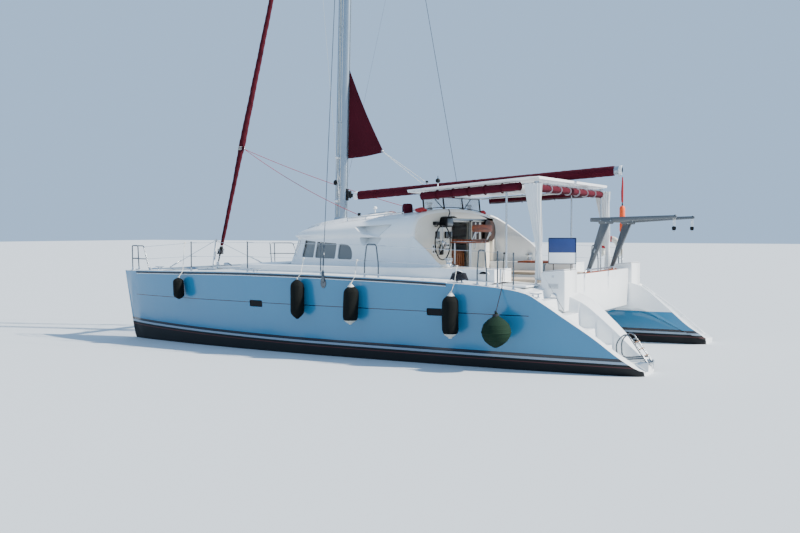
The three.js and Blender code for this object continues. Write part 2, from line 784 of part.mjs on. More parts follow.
// Foredeck
const BEAM_RADIUS = 90;
const beamEnds = cut(
  tube([v(BEAM_X, -2350, BEAM_Z), v(BEAM_X, 2350, BEAM_Z)], BEAM_RADIUS, 12),
  join(moved(starboardHull, 0, -GAP, 0), mirrored(moved(starboardHull, 0, -GAP, 0))),
);
const STRIKER = { foot: v(BEAM_X + 190, 0, BEAM_Z + 30), head: v(5350, 0, 2120), radius: 26, stay: 9 };
const stayFoot = (sign) => v(BEAM_X + 20, sign * 1700, BEAM_Z + 60);
add(
  "forward_crossbeam",
  join(
    beamEnds,
    tube([v(BEAM_X + 60, 0, BEAM_Z), STRIKER.foot, STRIKER.head], STRIKER.radius, 8),
    tube([stayFoot(1), STRIKER.head, stayFoot(-1)], STRIKER.stay, 6),
  ),
  FINISH.spar,
);
const WALKWAY = { half: 190, z: [1370, 1500] };
add(
  "centre_walkway",
  box([RAISED_FRONT + GAP, BEAM_X - BEAM_RADIUS - GAP], [-WALKWAY.half, WALKWAY.half], WALKWAY.z),
  FINISH.gelcoat,
);
addPair(
  "trampoline",
  upward(
    [
      [2940, 205],
      [5140, 205],
      [5140, 2200],
      [4600, 2090],
      [3800, 1950],
      [2980, 1850],
    ],
    1400,
    1414,
  ),
  FINISH.net,
);

// Hard top over the cockpit. Rows: x, half-width, z of the edge.
const TOP_ROWS = [
  [-790, 1630, 3140],
  [-1250, 1760, 3168],
  [-2500, 1990, 3240],
  [-3500, 2140, 3298],
  [-3700, 2080, 3308],
];
const TOP_CROWN = 14;
// The rounded edge: its width, and how far the top and the underside lie above and below it; then the
// depth of the underside's middle.
const TOP_EDGE = { wide: 60, rise: 9, drop: 50 };
const TOP_HOLLOW = 40;
const topRing = ([x, half, z]) => [
  v(x, half, z),
  v(x, half - TOP_EDGE.wide, z + TOP_EDGE.rise),
  v(x, 0, z + TOP_CROWN),
  v(x, TOP_EDGE.wide - half, z + TOP_EDGE.rise),
  v(x, -half, z),
  v(x, TOP_EDGE.wide - half, z - TOP_EDGE.drop),
  v(x, 0, z - TOP_HOLLOW),
  v(x, half - TOP_EDGE.wide, z - TOP_EDGE.drop),
];
add("hard_top", loft(TOP_ROWS.map(topRing)), FINISH.gelcoat);
const [TOP_FRONT, TOP_AFT] = [TOP_ROWS[0], TOP_ROWS[TOP_ROWS.length - 1]];
const topHeight = (x) =>
  TOP_FRONT[2] + ((TOP_FRONT[0] - x) * (TOP_AFT[2] - TOP_FRONT[2])) / (TOP_FRONT[0] - TOP_AFT[0]);
const RAIL_DROP = 100; // from the top's edge to the middle of the tubes under it
const under = (x) => topHeight(x) - RAIL_DROP;
const FRAME = { front: -1000, aft: -3600, middle: -2980, foot: 1250, rail: 16, post: 20 };
const RAIL_Y = { front: 1490, aft: 1930 };
const railY = (x) =>
  RAIL_Y.front + ((FRAME.front - x) * (RAIL_Y.aft - RAIL_Y.front)) / (FRAME.front - FRAME.aft);
const frameCorner = (x, sign) => v(x, sign * railY(x), under(x));
const frameRail = (sign) => tube([frameCorner(FRAME.front, sign), frameCorner(FRAME.aft, sign)], FRAME.rail);
const frameBar = (x) => tube([frameCorner(x, -1), frameCorner(x, 1)], FRAME.rail);
const framePost = (x, sign) => {
  const foot = x > COAMING_AFT ? DECK_TOP + GAP : FRAME.foot;
  return tube([v(x, sign * railY(x), foot), frameCorner(x, sign)], FRAME.post);
};
const STRUTS = [-1350, -450, 450, 1350];
const frontStrut = (y) =>
  tube([v(FRAME.front - 40, y, 2650), v(FRAME.front, y, under(FRAME.front))], FRAME.post);
add(
  "hard_top_frame",
  cut(
    join(
      frameRail(1),
      frameRail(-1),
      frameBar(FRAME.front),
      frameBar(FRAME.aft),
      ...[FRAME.middle, FRAME.aft].flatMap((x) => [framePost(x, 1), framePost(x, -1)]),
      ...STRUTS.map(frontStrut),
    ),
    join(moved(roofSkin, 0, 0, GAP), hullsBelow),
  ),
  FINISH.steel,
);
const ROLL = { front: -1150, aft: -3300, out: 115, down: 45, radius: 78 };
const rollEnd = (x) => v(x, railY(x) + ROLL.out, under(x) - ROLL.down);
addPair("canvas_roll", tube([rollEnd(ROLL.front), rollEnd(ROLL.aft)], ROLL.radius, 12), FINISH.canvas);
const AFT_ROLL = { half: 1850, radius: 70 };
const aftRollEnd = (y) => v(FRAME.aft, y, under(FRAME.aft) - FRAME.rail - AFT_ROLL.radius - 4);
add(
  "aft_canvas_roll",
  tube([aftRollEnd(AFT_ROLL.half), aftRollEnd(-AFT_ROLL.half)], AFT_ROLL.radius, 12),
  FINISH.canvas,
);
// Rows of a gathered curtain: z, x of the middle, half-length, half-width.
const CURTAIN = [
  [3190, -3590, 190, 62],
  [2900, -3610, 150, 62],
  [2200, -3690, 80, 58],
  [1800, -3710, 60, 55],
  [1480, -3700, 75, 55],
];
addPair(
  "curtain",
  loft(CURTAIN.map(([z, x, a, b]) => levelEllipse(x, 2075, z, a, b, 12))),
  FINISH.curtain,
);

// Stern: davits and the folded swim ladder
const DAVIT = {
  y: 750,
  half: 30,
  outline: [
    [-4130, 1500],
    [-4210, 1500],
    [-4610, 2500],
    [-5800, 2575],
    [-5800, 2630],
    [-4220, 2590],
    [-4220, 2510],
    [-4420, 2500],
  ],
};
addPair(
  "davit",
  cut(
    acrossBoat(DAVIT.outline, DAVIT.y - DAVIT.half, DAVIT.y + DAVIT.half),
    box([-4400, -4000], [DAVIT.y - 50, DAVIT.y + 50], [1400, AFT_BEAM_TOP + GAP]),
  ),
  FINISH.steel,
);
const ladderPoint = (along, y) =>
  v(LADDER.x + along * Math.sin(LADDER.lean), y, LADDER.z + along * Math.cos(LADDER.lean));
const rung = (along) => tube([ladderPoint(along, LADDER.y[0]), ladderPoint(along, LADDER.y[1])], 12, 6);
add(
  "swim_ladder",
  join(
    tube([v(LADDER.x, LADDER.y[0] - 15, LADDER.z), v(LADDER.x, LADDER.y[1] + 15, LADDER.z)], 14, 8),
    tube(
      [
        ladderPoint(0, LADDER.y[0]),
        ladderPoint(LADDER.height - 60, LADDER.y[0]),
        ladderPoint(LADDER.height, LADDER.y[0] + 60),
        ladderPoint(LADDER.height, LADDER.y[1] - 60),
        ladderPoint(LADDER.height - 60, LADDER.y[1]),
        ladderPoint(0, LADDER.y[1]),
      ],
      LADDER.radius,
      8,
    ),
    ...Array.from({ length: LADDER.rungs }, (_, k) => rung((LADDER.height * (k + 1)) / (LADDER.rungs + 1))),
  ),
  FINISH.steel,
);

// Pulpit, stanchions and lifelines of one side. Rows: x, y of the foot, z of the deck.
const STANCHIONS = [
  [3530, 2960, 1509],
  [1960, 3110, 1527],
  [190, 3180, 1513],
  [-770, 3185, 1494],
  [-1060, 3185, 1489],
  [-3000, 3160, 1410],
  [-3170, 3155, 1402],
  [-3370, 3150, 1392],
];
const LAST_POST = [-3650, 3130, 1370];
const RAIL_HIGH = 600;
const RAIL_LOW = 310;
const POST = 13;
// Pulpit legs: x and y of the foot, then of the head.
const PULPIT = [
  [4840, 2790, 5040, 2760],
  [5520, 2600, 5520, 2600],
];
const PULPIT_FOOT = 1440;
const PULPIT_TOP = 2020;
const PULPIT_MIDDLE = 1740;
const WIRE = 5;
const pulpitX = (z) => {
  const [footX, , headX] = PULPIT[0];
  return footX + ((headX - footX) * (z - PULPIT_FOOT)) / (PULPIT_TOP - PULPIT_FOOT);
};
function rails() {
  const [lastX, lastY, lastZ] = LAST_POST;
  const posts = STANCHIONS.map(([x, y, z]) => tube([v(x, y, z - 40), v(x, y, z + RAIL_HIGH + 12)], POST));
  const legs = PULPIT.map(([x, y, headX, headY]) =>
    tube([v(x, y, PULPIT_FOOT), v(headX, headY, PULPIT_TOP)], POST),
  );
  const bar = (x, z) => tube([v(x, 2770, z), v(5540, 2592, z), v(5600, 2470, z), v(5540, 2420, z)], POST);
  const wire = (height, pulpitZ) => {
    const along = STANCHIONS.map(([x, y, z]) => v(x, y, z + height));
    return tube([v(pulpitX(pulpitZ), 2765, pulpitZ), ...along, v(lastX - 50, lastY, lastZ + height)], WIRE, 6);
  };
  const last = tube([v(lastX, lastY, lastZ - 70), v(lastX, lastY, lastZ + RAIL_HIGH + 12)], POST);
  return cut(
    join(
      ...posts,
      ...legs,
      last,
      bar(pulpitX(PULPIT_TOP) - 10, PULPIT_TOP),
      bar(pulpitX(PULPIT_MIDDLE) - 10, PULPIT_MIDDLE),
      wire(RAIL_HIGH, PULPIT_TOP),
      wire(RAIL_LOW, PULPIT_MIDDLE),
    ),
    moved(starboardHull, 0, 0, GAP),
  );
}
addPair("rails", rails(), FINISH.steel);

// Fenders along the port side. Rows: x, y of the middle, top z, bottom z, radius.
const FENDERS = [
  [3700, 3155, 1383, 945, 110],
  [585, 3390, 1437, 698, 130],
  [-610, 3405, 1354, 652, 140],
  [-2620, 3407, 1259, 509, 143],
];
// Shapes: share of the height from the top down, and share of the radius.
const FENDER_SHAPE = [
  [0, 0.25],
  [0.04, 0.55],
  [0.14, 0.95],
  [0.25, 1],
  [0.8, 1],
  [0.88, 0.85],
  [0.97, 0.35],
  [1, 0.2],
];
const turned = (shape, x, y, top, bottom, radius, count) =>
  loft(shape.map(([part, r]) => levelEllipse(x, y, top + (bottom - top) * part, radius * r, radius * r, count)));
FENDERS.forEach(([x, y, top, bottom, radius], i) => {
  add("fender_" + (i + 1), turned(FENDER_SHAPE, x, y, top, bottom, radius, 12), FINISH.fender);
});
const BALL = { x: -3490, y: 3500, top: 992, bottom: 410, radius: 247 };
const BALL_SHAPE = [
  [0, 0.12],
  [0.1, 0.2],
  [0.2, 0.55],
  [0.35, 0.88],
  [0.56, 1],
  [0.75, 0.84],
  [0.92, 0.45],
  [1, 0.1],
];
add("fender_5", turned(BALL_SHAPE, BALL.x, BALL.y, BALL.top, BALL.bottom, BALL.radius, 14), FINISH.fender);

export default boat;
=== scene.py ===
# %% [markdown]
# A cruising catamaran lies afloat with its sails furled, its fenders out and its curtains tied back.
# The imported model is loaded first, because it fixes where every piece is and how large it is.
# All lengths are metres, +X points to the bows, +Y to port, and z = 0 is the water.

# %% The fixed frame
import json
import math

import bmesh
import bpy
import numpy as np
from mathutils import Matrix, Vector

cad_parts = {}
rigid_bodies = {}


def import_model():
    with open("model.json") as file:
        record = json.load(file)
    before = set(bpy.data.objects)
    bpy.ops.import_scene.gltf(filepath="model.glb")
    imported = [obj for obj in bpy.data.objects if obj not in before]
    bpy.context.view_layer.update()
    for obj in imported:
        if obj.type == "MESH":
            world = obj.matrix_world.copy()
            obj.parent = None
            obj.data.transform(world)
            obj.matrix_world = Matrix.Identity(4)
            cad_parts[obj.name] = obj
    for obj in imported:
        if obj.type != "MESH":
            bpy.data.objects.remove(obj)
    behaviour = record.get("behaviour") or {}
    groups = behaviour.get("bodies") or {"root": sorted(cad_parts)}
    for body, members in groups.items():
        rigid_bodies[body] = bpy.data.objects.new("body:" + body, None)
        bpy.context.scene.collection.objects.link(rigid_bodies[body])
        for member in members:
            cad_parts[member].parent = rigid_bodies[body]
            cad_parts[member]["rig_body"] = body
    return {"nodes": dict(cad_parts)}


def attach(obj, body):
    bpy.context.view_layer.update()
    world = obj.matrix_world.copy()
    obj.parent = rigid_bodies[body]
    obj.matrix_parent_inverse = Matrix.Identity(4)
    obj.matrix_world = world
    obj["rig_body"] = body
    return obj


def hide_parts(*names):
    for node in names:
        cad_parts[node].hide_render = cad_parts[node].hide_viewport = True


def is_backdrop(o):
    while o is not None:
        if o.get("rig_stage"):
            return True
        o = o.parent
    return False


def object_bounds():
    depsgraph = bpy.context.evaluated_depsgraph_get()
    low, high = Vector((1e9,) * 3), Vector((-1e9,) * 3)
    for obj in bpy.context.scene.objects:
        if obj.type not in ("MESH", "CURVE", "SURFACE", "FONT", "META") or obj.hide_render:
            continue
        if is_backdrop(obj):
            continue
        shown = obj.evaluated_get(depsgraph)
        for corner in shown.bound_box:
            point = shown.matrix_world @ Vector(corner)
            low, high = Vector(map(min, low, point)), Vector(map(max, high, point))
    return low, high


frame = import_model()
cad_low, cad_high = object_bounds()
print("frame from", [round(c, 3) for c in cad_low], "to", [round(c, 3) for c in cad_high])

# %% [markdown]
# The photograph was taken from a quay on the port quarter, with the eye 2.35 m above the water.
# The lens and the heading come from fitting a pinhole camera to the hull's known length and beam.
# A sun from astern to starboard leaves the port topsides in open shade, as they are in the picture.

# %% Camera, light and floor
EYE = (-9.649, 17.909, 2.351)
HEADING = (math.radians(87.82), 0.0, math.radians(-151.06))
LENS, FAR_END = 42.53, 500
SUN_STRENGTH, SUN_TURN, SUN_TINT, SUN_WIDTH = 10.5, (0, 55, 196), (1.0, 0.94, 0.85), math.radians(2)
SKY_STRENGTH, SKY_TINT = 1.0, (0.47, 0.69, 1.0, 1)
camera = bpy.data.objects.new("camera", bpy.data.cameras.new("camera"))
bpy.context.scene.collection.objects.link(camera)
camera.location, camera.rotation_euler = EYE, HEADING
camera.data.lens, camera.data.clip_end = LENS, FAR_END
bpy.context.scene.camera = camera


def lamp(name, kind, strength, turn, colour, **more):
    """A light of that kind, turned by Euler degrees; a sun's place has no meaning."""
    made = bpy.data.objects.new(name, bpy.data.lights.new(name, kind))
    made.data.energy, made.data.color = strength, colour
    made.rotation_euler = [math.radians(t) for t in turn]
    for key, value in more.items():
        setattr(made.data, key, value)
    bpy.context.scene.collection.objects.link(made)
    return made


lamp("sun", "SUN", SUN_STRENGTH, SUN_TURN, SUN_TINT, angle=SUN_WIDTH)
world = bpy.data.worlds.new("sky")
bpy.context.scene.world = world
world.use_nodes = True
world.node_tree.nodes["Background"].inputs["Color"].default_value = SKY_TINT
world.node_tree.nodes["Background"].inputs["Strength"].default_value = SKY_STRENGTH
print("camera", [round(c, 2) for c in EYE], "and two lights")

# %% [markdown]
# A finish is a small web of shader nodes, and webs are easier to read as sums than as boxes and wires.
# So one class stands for a wire and adds a Math node for each operator used on it,
# and one method of the finish makes any other node from its settings and the values of its sockets.

# %% Shader sums
class Wire:
    """One output in a finish's web. An expression on it adds Math nodes."""

    def __init__(self, tree, socket):
        self.tree, self.socket = tree, socket

    def sum(self, operation, *inputs):
        node = self.tree.nodes.new("ShaderNodeMath")
        node.operation = operation
        for slot, value in zip(node.inputs, inputs):
            if isinstance(value, Wire):
                self.tree.links.new(value.socket, slot)
            else:
                slot.default_value = value
        return Wire(self.tree, node.outputs[0])

    def __add__(self, other):
        return self.sum("ADD", self, other)

    def __sub__(self, other):
        return self.sum("SUBTRACT", self, other)

    def __mul__(self, other):
        return self.sum("MULTIPLY", self, other)

    def __truediv__(self, other):
        return self.sum("DIVIDE", self, other)

    def __gt__(self, other):
        return self.sum("GREATER_THAN", self, other)

    def __lt__(self, other):
        return self.sum("LESS_THAN", self, other)

    def __abs__(self):
        return self.sum("ABSOLUTE", self)

    def sine(self):
        return self.sum("SINE", self)

    def within(self, low, high):
        """1 where the value lies between low and high, and 0 elsewhere."""
        return (self > low) * (self < high)


class Finish:
    """A named surface finish: a Principled shader with constants, and the web that varies it."""

    def __init__(self, name, slot, **constants):
        self.material = bpy.data.materials.new(name)
        self.material.use_nodes = True
        self.tree, self.slot = self.material.node_tree, slot
        self.shader = self.tree.nodes["Principled BSDF"]
        for key, value in constants.items():
            self.socket(key).default_value = (*value, 1) if isinstance(value, tuple) else value

    def socket(self, key):
        return self.shader.inputs[key.replace("_", " ")]

    def node(self, kind, inputs=(), output=0, **settings):
        """Any node: its settings first, then its sockets by name or number, and one output's wire."""
        made = self.tree.nodes.new("ShaderNode" + kind)
        for key, value in settings.items():
            if key == "stops":
                self.ramp_stops(made, value)
            else:
                setattr(made, key, value)
        for key, value in dict(inputs).items():
            if isinstance(value, Wire):
                self.tree.links.new(value.socket, made.inputs[key])
            else:
                made.inputs[key].default_value = value
        return Wire(self.tree, made.outputs[output])

    def ramp_stops(self, ramp, stops):
        """Colour stops as (place, grey or colour) pairs."""
        elements = ramp.color_ramp.elements
        while len(elements) < len(stops):
            elements.new(1.0)
        for element, (place, colour) in zip(elements, stops):
            element.position = place
            element.color = (*colour, 1) if isinstance(colour, tuple) else (colour,) * 3 + (1,)

    def place(self):
        return self.node("TexCoord", output="Object")

    def axes(self, vector=None):
        """The three parts of a vector, by default the place on the boat in metres."""
        split = self.tree.nodes.new("ShaderNodeSeparateXYZ")
        self.tree.links.new((vector or self.place()).socket, split.inputs[0])
        return [Wire(self.tree, output) for output in split.outputs]

    def cloth(self):
        """Metres along and across a piece, from its own map."""
        return self.node("UVMap", uv_map="cloth")

    def noise(self, scale, detail=3.0, stretch=(1, 1, 1), vector=None):
        """Soft noise from 0 to 1 with so many grains to the metre, stretched along an axis."""
        mapped = self.node("Mapping", {"Vector": vector or self.place(), "Scale": stretch})
        return self.node("TexNoise", {"Vector": mapped, "Scale": scale, "Detail": detail})

    def ramp(self, value, *stops):
        return self.node("ValToRGB", {"Fac": value}, stops=stops)

    def mix(self, factor, first, second):
        """Colour first where factor is 0, second where it is 1."""
        pick = lambda c: c if isinstance(c, Wire) else (*c, 1)
        return self.node(
            "Mix",
            {0: factor, 6: pick(first), 7: pick(second)},
            output=2,
            data_type="RGBA",
        )

    def bump(self, height, distance, strength=1.0):
        self.set(Normal=self.node("Bump", {"Height": height, "Distance": distance, "Strength": strength}))

    def set(self, **wires):
        for key, wire in wires.items():
            self.tree.links.new(wire.socket, self.socket(key))
        return self


print("finishes are written as sums")

# %% [markdown]
# Every new surface is a grid of points worked out by a formula, or a profile carried along a path.
# A Skin keeps the points, the faces and, for each face corner, how many metres it lies along and across.
# Skins are added together, mirrored to the other side, and made into one named piece that rides on a body.

# %% Skins and pieces
class Skin:
    """Points, faces and the (along, across) metres of each face corner."""

    def __init__(self, points, faces, cloth=None):
        self.points = np.asarray(points, float).reshape(-1, 3)
        self.faces = faces
        corners = sum(len(face) for face in faces)
        self.cloth = np.zeros((corners, 2)) if cloth is None else cloth

    def __add__(self, other):
        start = len(self.points)
        faces = self.faces + [[i + start for i in face] for face in other.faces]
        points = np.vstack([self.points, other.points])
        return Skin(points, faces, np.vstack([self.cloth, other.cloth]))

    __radd__ = lambda self, other: self if other == 0 else other + self

    def reshaped(self, change):
        """The same skin with its points passed through a function."""
        return Skin(change(self.points), self.faces, self.cloth)

    def mirrored(self):
        return self.reshaped(lambda p: p * [1, -1, 1])

    def moved(self, x=0.0, y=0.0, z=0.0):
        return self.reshaped(lambda p: p + [x, y, z])

    def turned(self, axis, degrees, about=(0, 0, 0)):
        """Turned round an axis through a point, by Rodrigues' formula."""
        n = np.array(axis, float) / np.linalg.norm(axis)
        c, s = math.cos(math.radians(degrees)), math.sin(math.radians(degrees))

        def turn(p):
            q = p - np.array(about)
            return about + q * c + np.cross(n, q) * s + (q @ n)[:, None] * n * (1 - c)

        return self.reshaped(turn)


def metres(points, axis):
    """Running length along one axis of a grid of points, as the mean over its lines."""
    steps = np.linalg.norm(np.diff(points, axis=axis), axis=-1).mean(axis=1 - axis)
    return np.concatenate([[0], np.cumsum(steps)])


def angles(count):
    """So many even angles round a circle, from 0."""
    return np.linspace(0, 2 * np.pi, count, endpoint=False)


def grid(points, ring=False, ends=False):
    """Quads over rows of points; ring joins the last column to the first, and ends closes both rows."""
    points = np.asarray(points, float)
    rows, columns = points.shape[:2]
    index = np.arange(rows * columns).reshape(rows, columns)
    full = points
    if ring:
        index = np.hstack([index, index[:, :1]])
        full = np.concatenate([points, points[:, :1]], axis=1)
    pick = lambda a: np.stack([a[:-1, :-1], a[:-1, 1:], a[1:, 1:], a[1:, :-1]], axis=2)
    along, across = np.meshgrid(metres(full, 0), metres(full, 1), indexing="ij")
    cloth = pick(np.stack([along, across], axis=-1)).reshape(-1, 2)
    faces = pick(index).reshape(-1, 4).tolist()
    if ends:
        faces += [index[0, :columns].tolist(), index[-1, :columns].tolist()]
        cloth = np.vstack([cloth, np.zeros((2 * columns, 2))])
    return Skin(points.reshape(-1, 3), faces, cloth)


NOTHING = Skin(np.zeros((0, 3)), [])
DOUBLES = 2e-5


def joined(mesh):
    """Merges a mesh's doubled points and turns its faces outwards."""
    soft = bmesh.new()
    soft.from_mesh(mesh)
    bmesh.ops.remove_doubles(soft, verts=soft.verts, dist=DOUBLES)
    bmesh.ops.recalc_face_normals(soft, faces=soft.faces)
    soft.to_mesh(mesh)
    soft.free()


def piece(name, parts, body="root", replaces=(), crease=32, finish=None, modifiers=(), cuts=None):
    """One object from (finish, skin) pairs, or from one skin and its finish: doubled points merged, faces
    turned outwards and shading smooth up to the crease angle."""
    pairs = parts if isinstance(parts, list) else [(finish, parts)]
    finishes = list(dict.fromkeys(f for f, _ in pairs))
    whole = sum(skin for _, skin in pairs)
    mesh = bpy.data.meshes.new(name)
    mesh.from_pydata(whole.points.tolist(), [], whole.faces)
    kinds = np.concatenate([np.full(len(s.faces), finishes.index(f)) for f, s in pairs])
    mesh.polygons.foreach_set("material_index", kinds.astype(np.int32))
    mesh.uv_layers.new(name="cloth").data.foreach_set("uv", whole.cloth.astype(np.float32).ravel())
    for f in finishes:
        mesh.materials.append(f.material)
    joined(mesh)
    made = bpy.data.objects.new(name, mesh)
    bpy.context.scene.collection.objects.link(made)
    for kind, settings in modifiers:
        modifier = made.modifiers.new(kind.lower(), kind)
        for key, value in settings.items():
            setattr(modifier, key, value)
    if cuts is not None:
        carve(made, cuts)
    made.data.shade_smooth()
    made.data.set_sharp_from_angle(angle=math.radians(crease))
    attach(made, body)
    if replaces:
        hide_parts(*([replaces] if isinstance(replaces, str) else replaces))
    print(f"{name}: {len(made.data.polygons)} faces")
    return made


def carve(made, tool):
    """Takes a tool's closed skin out of a piece, after the piece's other modifiers, and keeps the result."""
    mesh = bpy.data.meshes.new("tool")
    mesh.from_pydata(tool.points.tolist(), [], tool.faces)
    cutter = bpy.data.objects.new("tool", mesh)
    bpy.context.scene.collection.objects.link(cutter)
    joined(mesh)
    modifier = made.modifiers.new("carve", "BOOLEAN")
    modifier.operation, modifier.solver, modifier.object = "DIFFERENCE", "EXACT", cutter
    modifier.use_self = True
    settle(made)
    bpy.data.objects.remove(cutter)


def settle(made):
    """Replaces a piece's mesh by what its modifiers make of it."""
    shown = made.evaluated_get(bpy.context.evaluated_depsgraph_get())
    mesh = bpy.data.meshes.new_from_object(shown)
    made.modifiers.clear()
    made.data = mesh


def through(x, table):
    """Columns of a table at x by smooth cubic pieces that never overshoot (Fritsch and Carlson's slopes).
    The table's first column is the place, and the others are the values."""
    table = np.array(sorted(map(tuple, table)), float)
    k, y = table[:, 0], table[:, 1:]
    x = np.clip(np.asarray(x, float), k[0], k[-1])
    h = np.diff(k)[:, None]
    d = np.diff(y, axis=0) / h
    m = np.zeros_like(y)
    same = d[:-1] * d[1:] > 0
    w1, w2 = 2 * h[1:] + h[:-1], h[1:] + 2 * h[:-1]
    with np.errstate(divide="ignore", invalid="ignore"):
        m[1:-1] = np.where(same, (w1 + w2) / (w1 / d[:-1] + w2 / d[1:]), 0)
    m[0], m[-1] = d[0], d[-1]
    i = np.clip(np.searchsorted(k, x, side="right") - 1, 0, len(k) - 2)
    t = ((x - k[i]) / h[i, 0])[..., None]
    hi = h[i]
    return (
        (2 * t**3 - 3 * t**2 + 1) * y[i]
        + (t**3 - 2 * t**2 + t) * hi * m[i]
        + (3 * t**2 - 2 * t**3) * y[i + 1]
        + (t**3 - t**2) * hi * m[i + 1]
    )


def rise(x, low, high):
    """0 below low, 1 above high, and a smooth S between them."""
    t = np.clip((np.asarray(x, float) - low) / (high - low), 0, 1)
    return t * t * (3 - 2 * t)


def bent(points, radius, steps=6):
    """A line through corner points with each corner rounded by a quadratic arc of about that radius."""
    p = np.asarray(points, float)
    line = [p[:1]]
    t = np.linspace(0, 1, steps)[:, None]
    for a, b, c in zip(p[:-2], p[1:-1], p[2:]):
        back, on = a - b, c - b
        reach = min(radius, 0.45 * np.linalg.norm(back), 0.45 * np.linalg.norm(on))
        start = b + back / np.linalg.norm(back) * reach
        end = b + on / np.linalg.norm(on) * reach
        line.append((1 - t) ** 2 * start + 2 * t * (1 - t) * b + t**2 * end)
    line.append(p[-1:])
    return np.vstack(line)


def carried(line, profile, sizes=1.0, twist=0.0, up=(0.31, 0.87, 0.39), ends=True):
    """A closed profile of (side, up) points carried along a line.
    Each ring lies square to the line. Its side direction is the last one's, with the new tangent's share
    taken off."""
    line = np.asarray(line, float)
    steps = np.diff(line, axis=0)
    steps /= np.linalg.norm(steps, axis=1)[:, None]
    tangent = np.vstack([steps[:1], steps[:-1] + steps[1:], steps[-1:]])
    tangent /= np.linalg.norm(tangent, axis=1)[:, None]
    sides = []
    side = np.array(up, float)
    for t in tangent:
        side = side - (side @ t) * t
        side = side / np.linalg.norm(side)
        sides.append(side)
    side = np.array(sides)
    other = np.cross(tangent, side)
    sizes = np.broadcast_to(sizes, len(line))[:, None, None]
    turn = np.broadcast_to(twist, len(line))[:, None]
    p = np.asarray(profile, float)
    a = p[:, 0] * np.cos(turn) - p[:, 1] * np.sin(turn)
    b = p[:, 0] * np.sin(turn) + p[:, 1] * np.cos(turn)
    rings = line[:, None] + sizes * (a[..., None] * side[:, None] + b[..., None] * other[:, None])
    return grid(rings, ring=True, ends=ends)


def circle(radius, sides=12):
    """A closed outline of that many even corners."""
    return radius * np.stack([np.cos(angles(sides)), np.sin(angles(sides))], axis=1)


def tube(points, radius, sides=10, bend=0.0, steps=6):
    """A round bar along corner points, its corners rounded to bend."""
    line = bent(points, bend, steps) if bend else np.asarray(points, float)
    return carried(line, circle(radius, sides))


def lathe(profile, centre=(0, 0, 0), axis="z", sides=24):
    """(radius, height) rows turned round an axis through centre; a row of radius 0 closes the end."""
    rows = np.asarray(profile, float)
    turn = angles(sides)
    r, h = rows[:, 0, None], rows[:, 1, None]
    flat = np.stack([r * np.cos(turn), r * np.sin(turn), np.broadcast_to(h, (len(rows), sides))], -1)
    order = {"z": [0, 1, 2], "x": [2, 0, 1], "y": [1, 2, 0]}[axis]
    return grid(flat[..., order] + np.array(centre), ring=True)


def disc(radius, low, high):
    """The rows of a plain disc or pin, for the lathe."""
    return [(0, low), (radius, low), (radius, high), (0, high)]


def rounded(corners, radius, steps=5):
    """A closed outline of (a, b) corners, each replaced by an arc of at most that radius."""
    p = np.asarray(corners, float)
    line = []
    for a, b, c in zip(np.roll(p, 1, axis=0), p, np.roll(p, -1, axis=0)):
        back, on = a - b, c - b
        reach = min(radius, 0.45 * np.linalg.norm(back), 0.45 * np.linalg.norm(on))
        start = b + back / np.linalg.norm(back) * reach
        end = b + on / np.linalg.norm(on) * reach
        t = np.linspace(0, 1, steps)[:, None]
        line.append((1 - t) ** 2 * start + 2 * t * (1 - t) * b + t**2 * end)
    return np.vstack(line)


def rectangle(a0, a1, b0, b1, radius=0.02, steps=5):
    return rounded([(a0, b0), (a1, b0), (a1, b1), (a0, b1)], radius, steps)


def slab(outline, low, high, edge=0.006, axis="z", steps=3, crown=0.0):
    """A plate between two levels whose edges are rounded: each ring is the outline pulled in by
    edge times (1 - cosine) and set edge times the sine away from the flat faces; crown lifts its middle."""
    p = np.asarray(outline, float)
    ahead, behind = np.roll(p, -1, axis=0) - p, p - np.roll(p, 1, axis=0)
    normal = lambda d: np.stack([d[:, 1], -d[:, 0]], 1) / np.maximum(
        np.linalg.norm(d, axis=1), 1e-9
    )[:, None]
    out = normal(ahead) + normal(behind)
    out /= np.maximum(np.linalg.norm(out, axis=1), 1e-9)[:, None]
    area = 0.5 * np.sum(p[:, 0] * np.roll(p[:, 1], -1) - p[:, 1] * np.roll(p[:, 0], -1))
    out *= np.sign(area)
    turn = np.linspace(-np.pi / 2, np.pi / 2, 2 * steps)
    edge = min(edge, 0.49 * (high - low))
    inset = edge * (1 - np.cos(turn))
    level = np.where(turn < 0, low + edge, high - edge) + edge * np.sin(turn)
    rings = p[None] - inset[:, None, None] * out[None]
    flat = np.concatenate([rings, np.broadcast_to(level[:, None, None], rings.shape[:2] + (1,))], -1)
    if crown:
        middle = p.mean(axis=0)
        shrink = np.linspace(1, 0, 7)[1:-1, None, None]
        dome = (rings[-1] - middle)[None] * shrink + middle
        lift = high + crown * (1 - shrink**2) * np.ones(dome.shape[:2] + (1,))
        flat = np.concatenate([flat, np.concatenate([dome, lift], -1)])
    order = {"z": [0, 1, 2], "y": [0, 2, 1], "x": [2, 0, 1]}[axis]
    return grid(flat[..., order], ring=True, ends=True)


def box(x, y, z, corner=0.02, edge=0.006, axis="z", crown=0.0):
    """A rounded block between two corners, its plate lying square to one axis."""
    pick = {"z": (x, y, z), "y": (x, z, y), "x": (y, z, x)}[axis]
    return slab(rectangle(*pick[0], *pick[1], corner), *pick[2], edge, axis, crown=crown)


print("surfaces, tubes, lathes and plates are ready")
# %% [markdown]
# Gelcoat is a thick coloured resin, so it shines softly and never quite evenly: it chalks in patches and
# rain leaves faint runs. Each moulded part takes the same finish with its own colour, and the hull adds
# its painted stripes by height above the water, because that is how they are masked and sprayed.

# %% Gelcoat and paint
def tone(red, green, blue):
    """A colour as seen on a screen, 0 to 255, as the linear parts that a shader mixes."""
    return tuple(((c / 255 + 0.055) / 1.055) ** 2.4 for c in (red, green, blue))


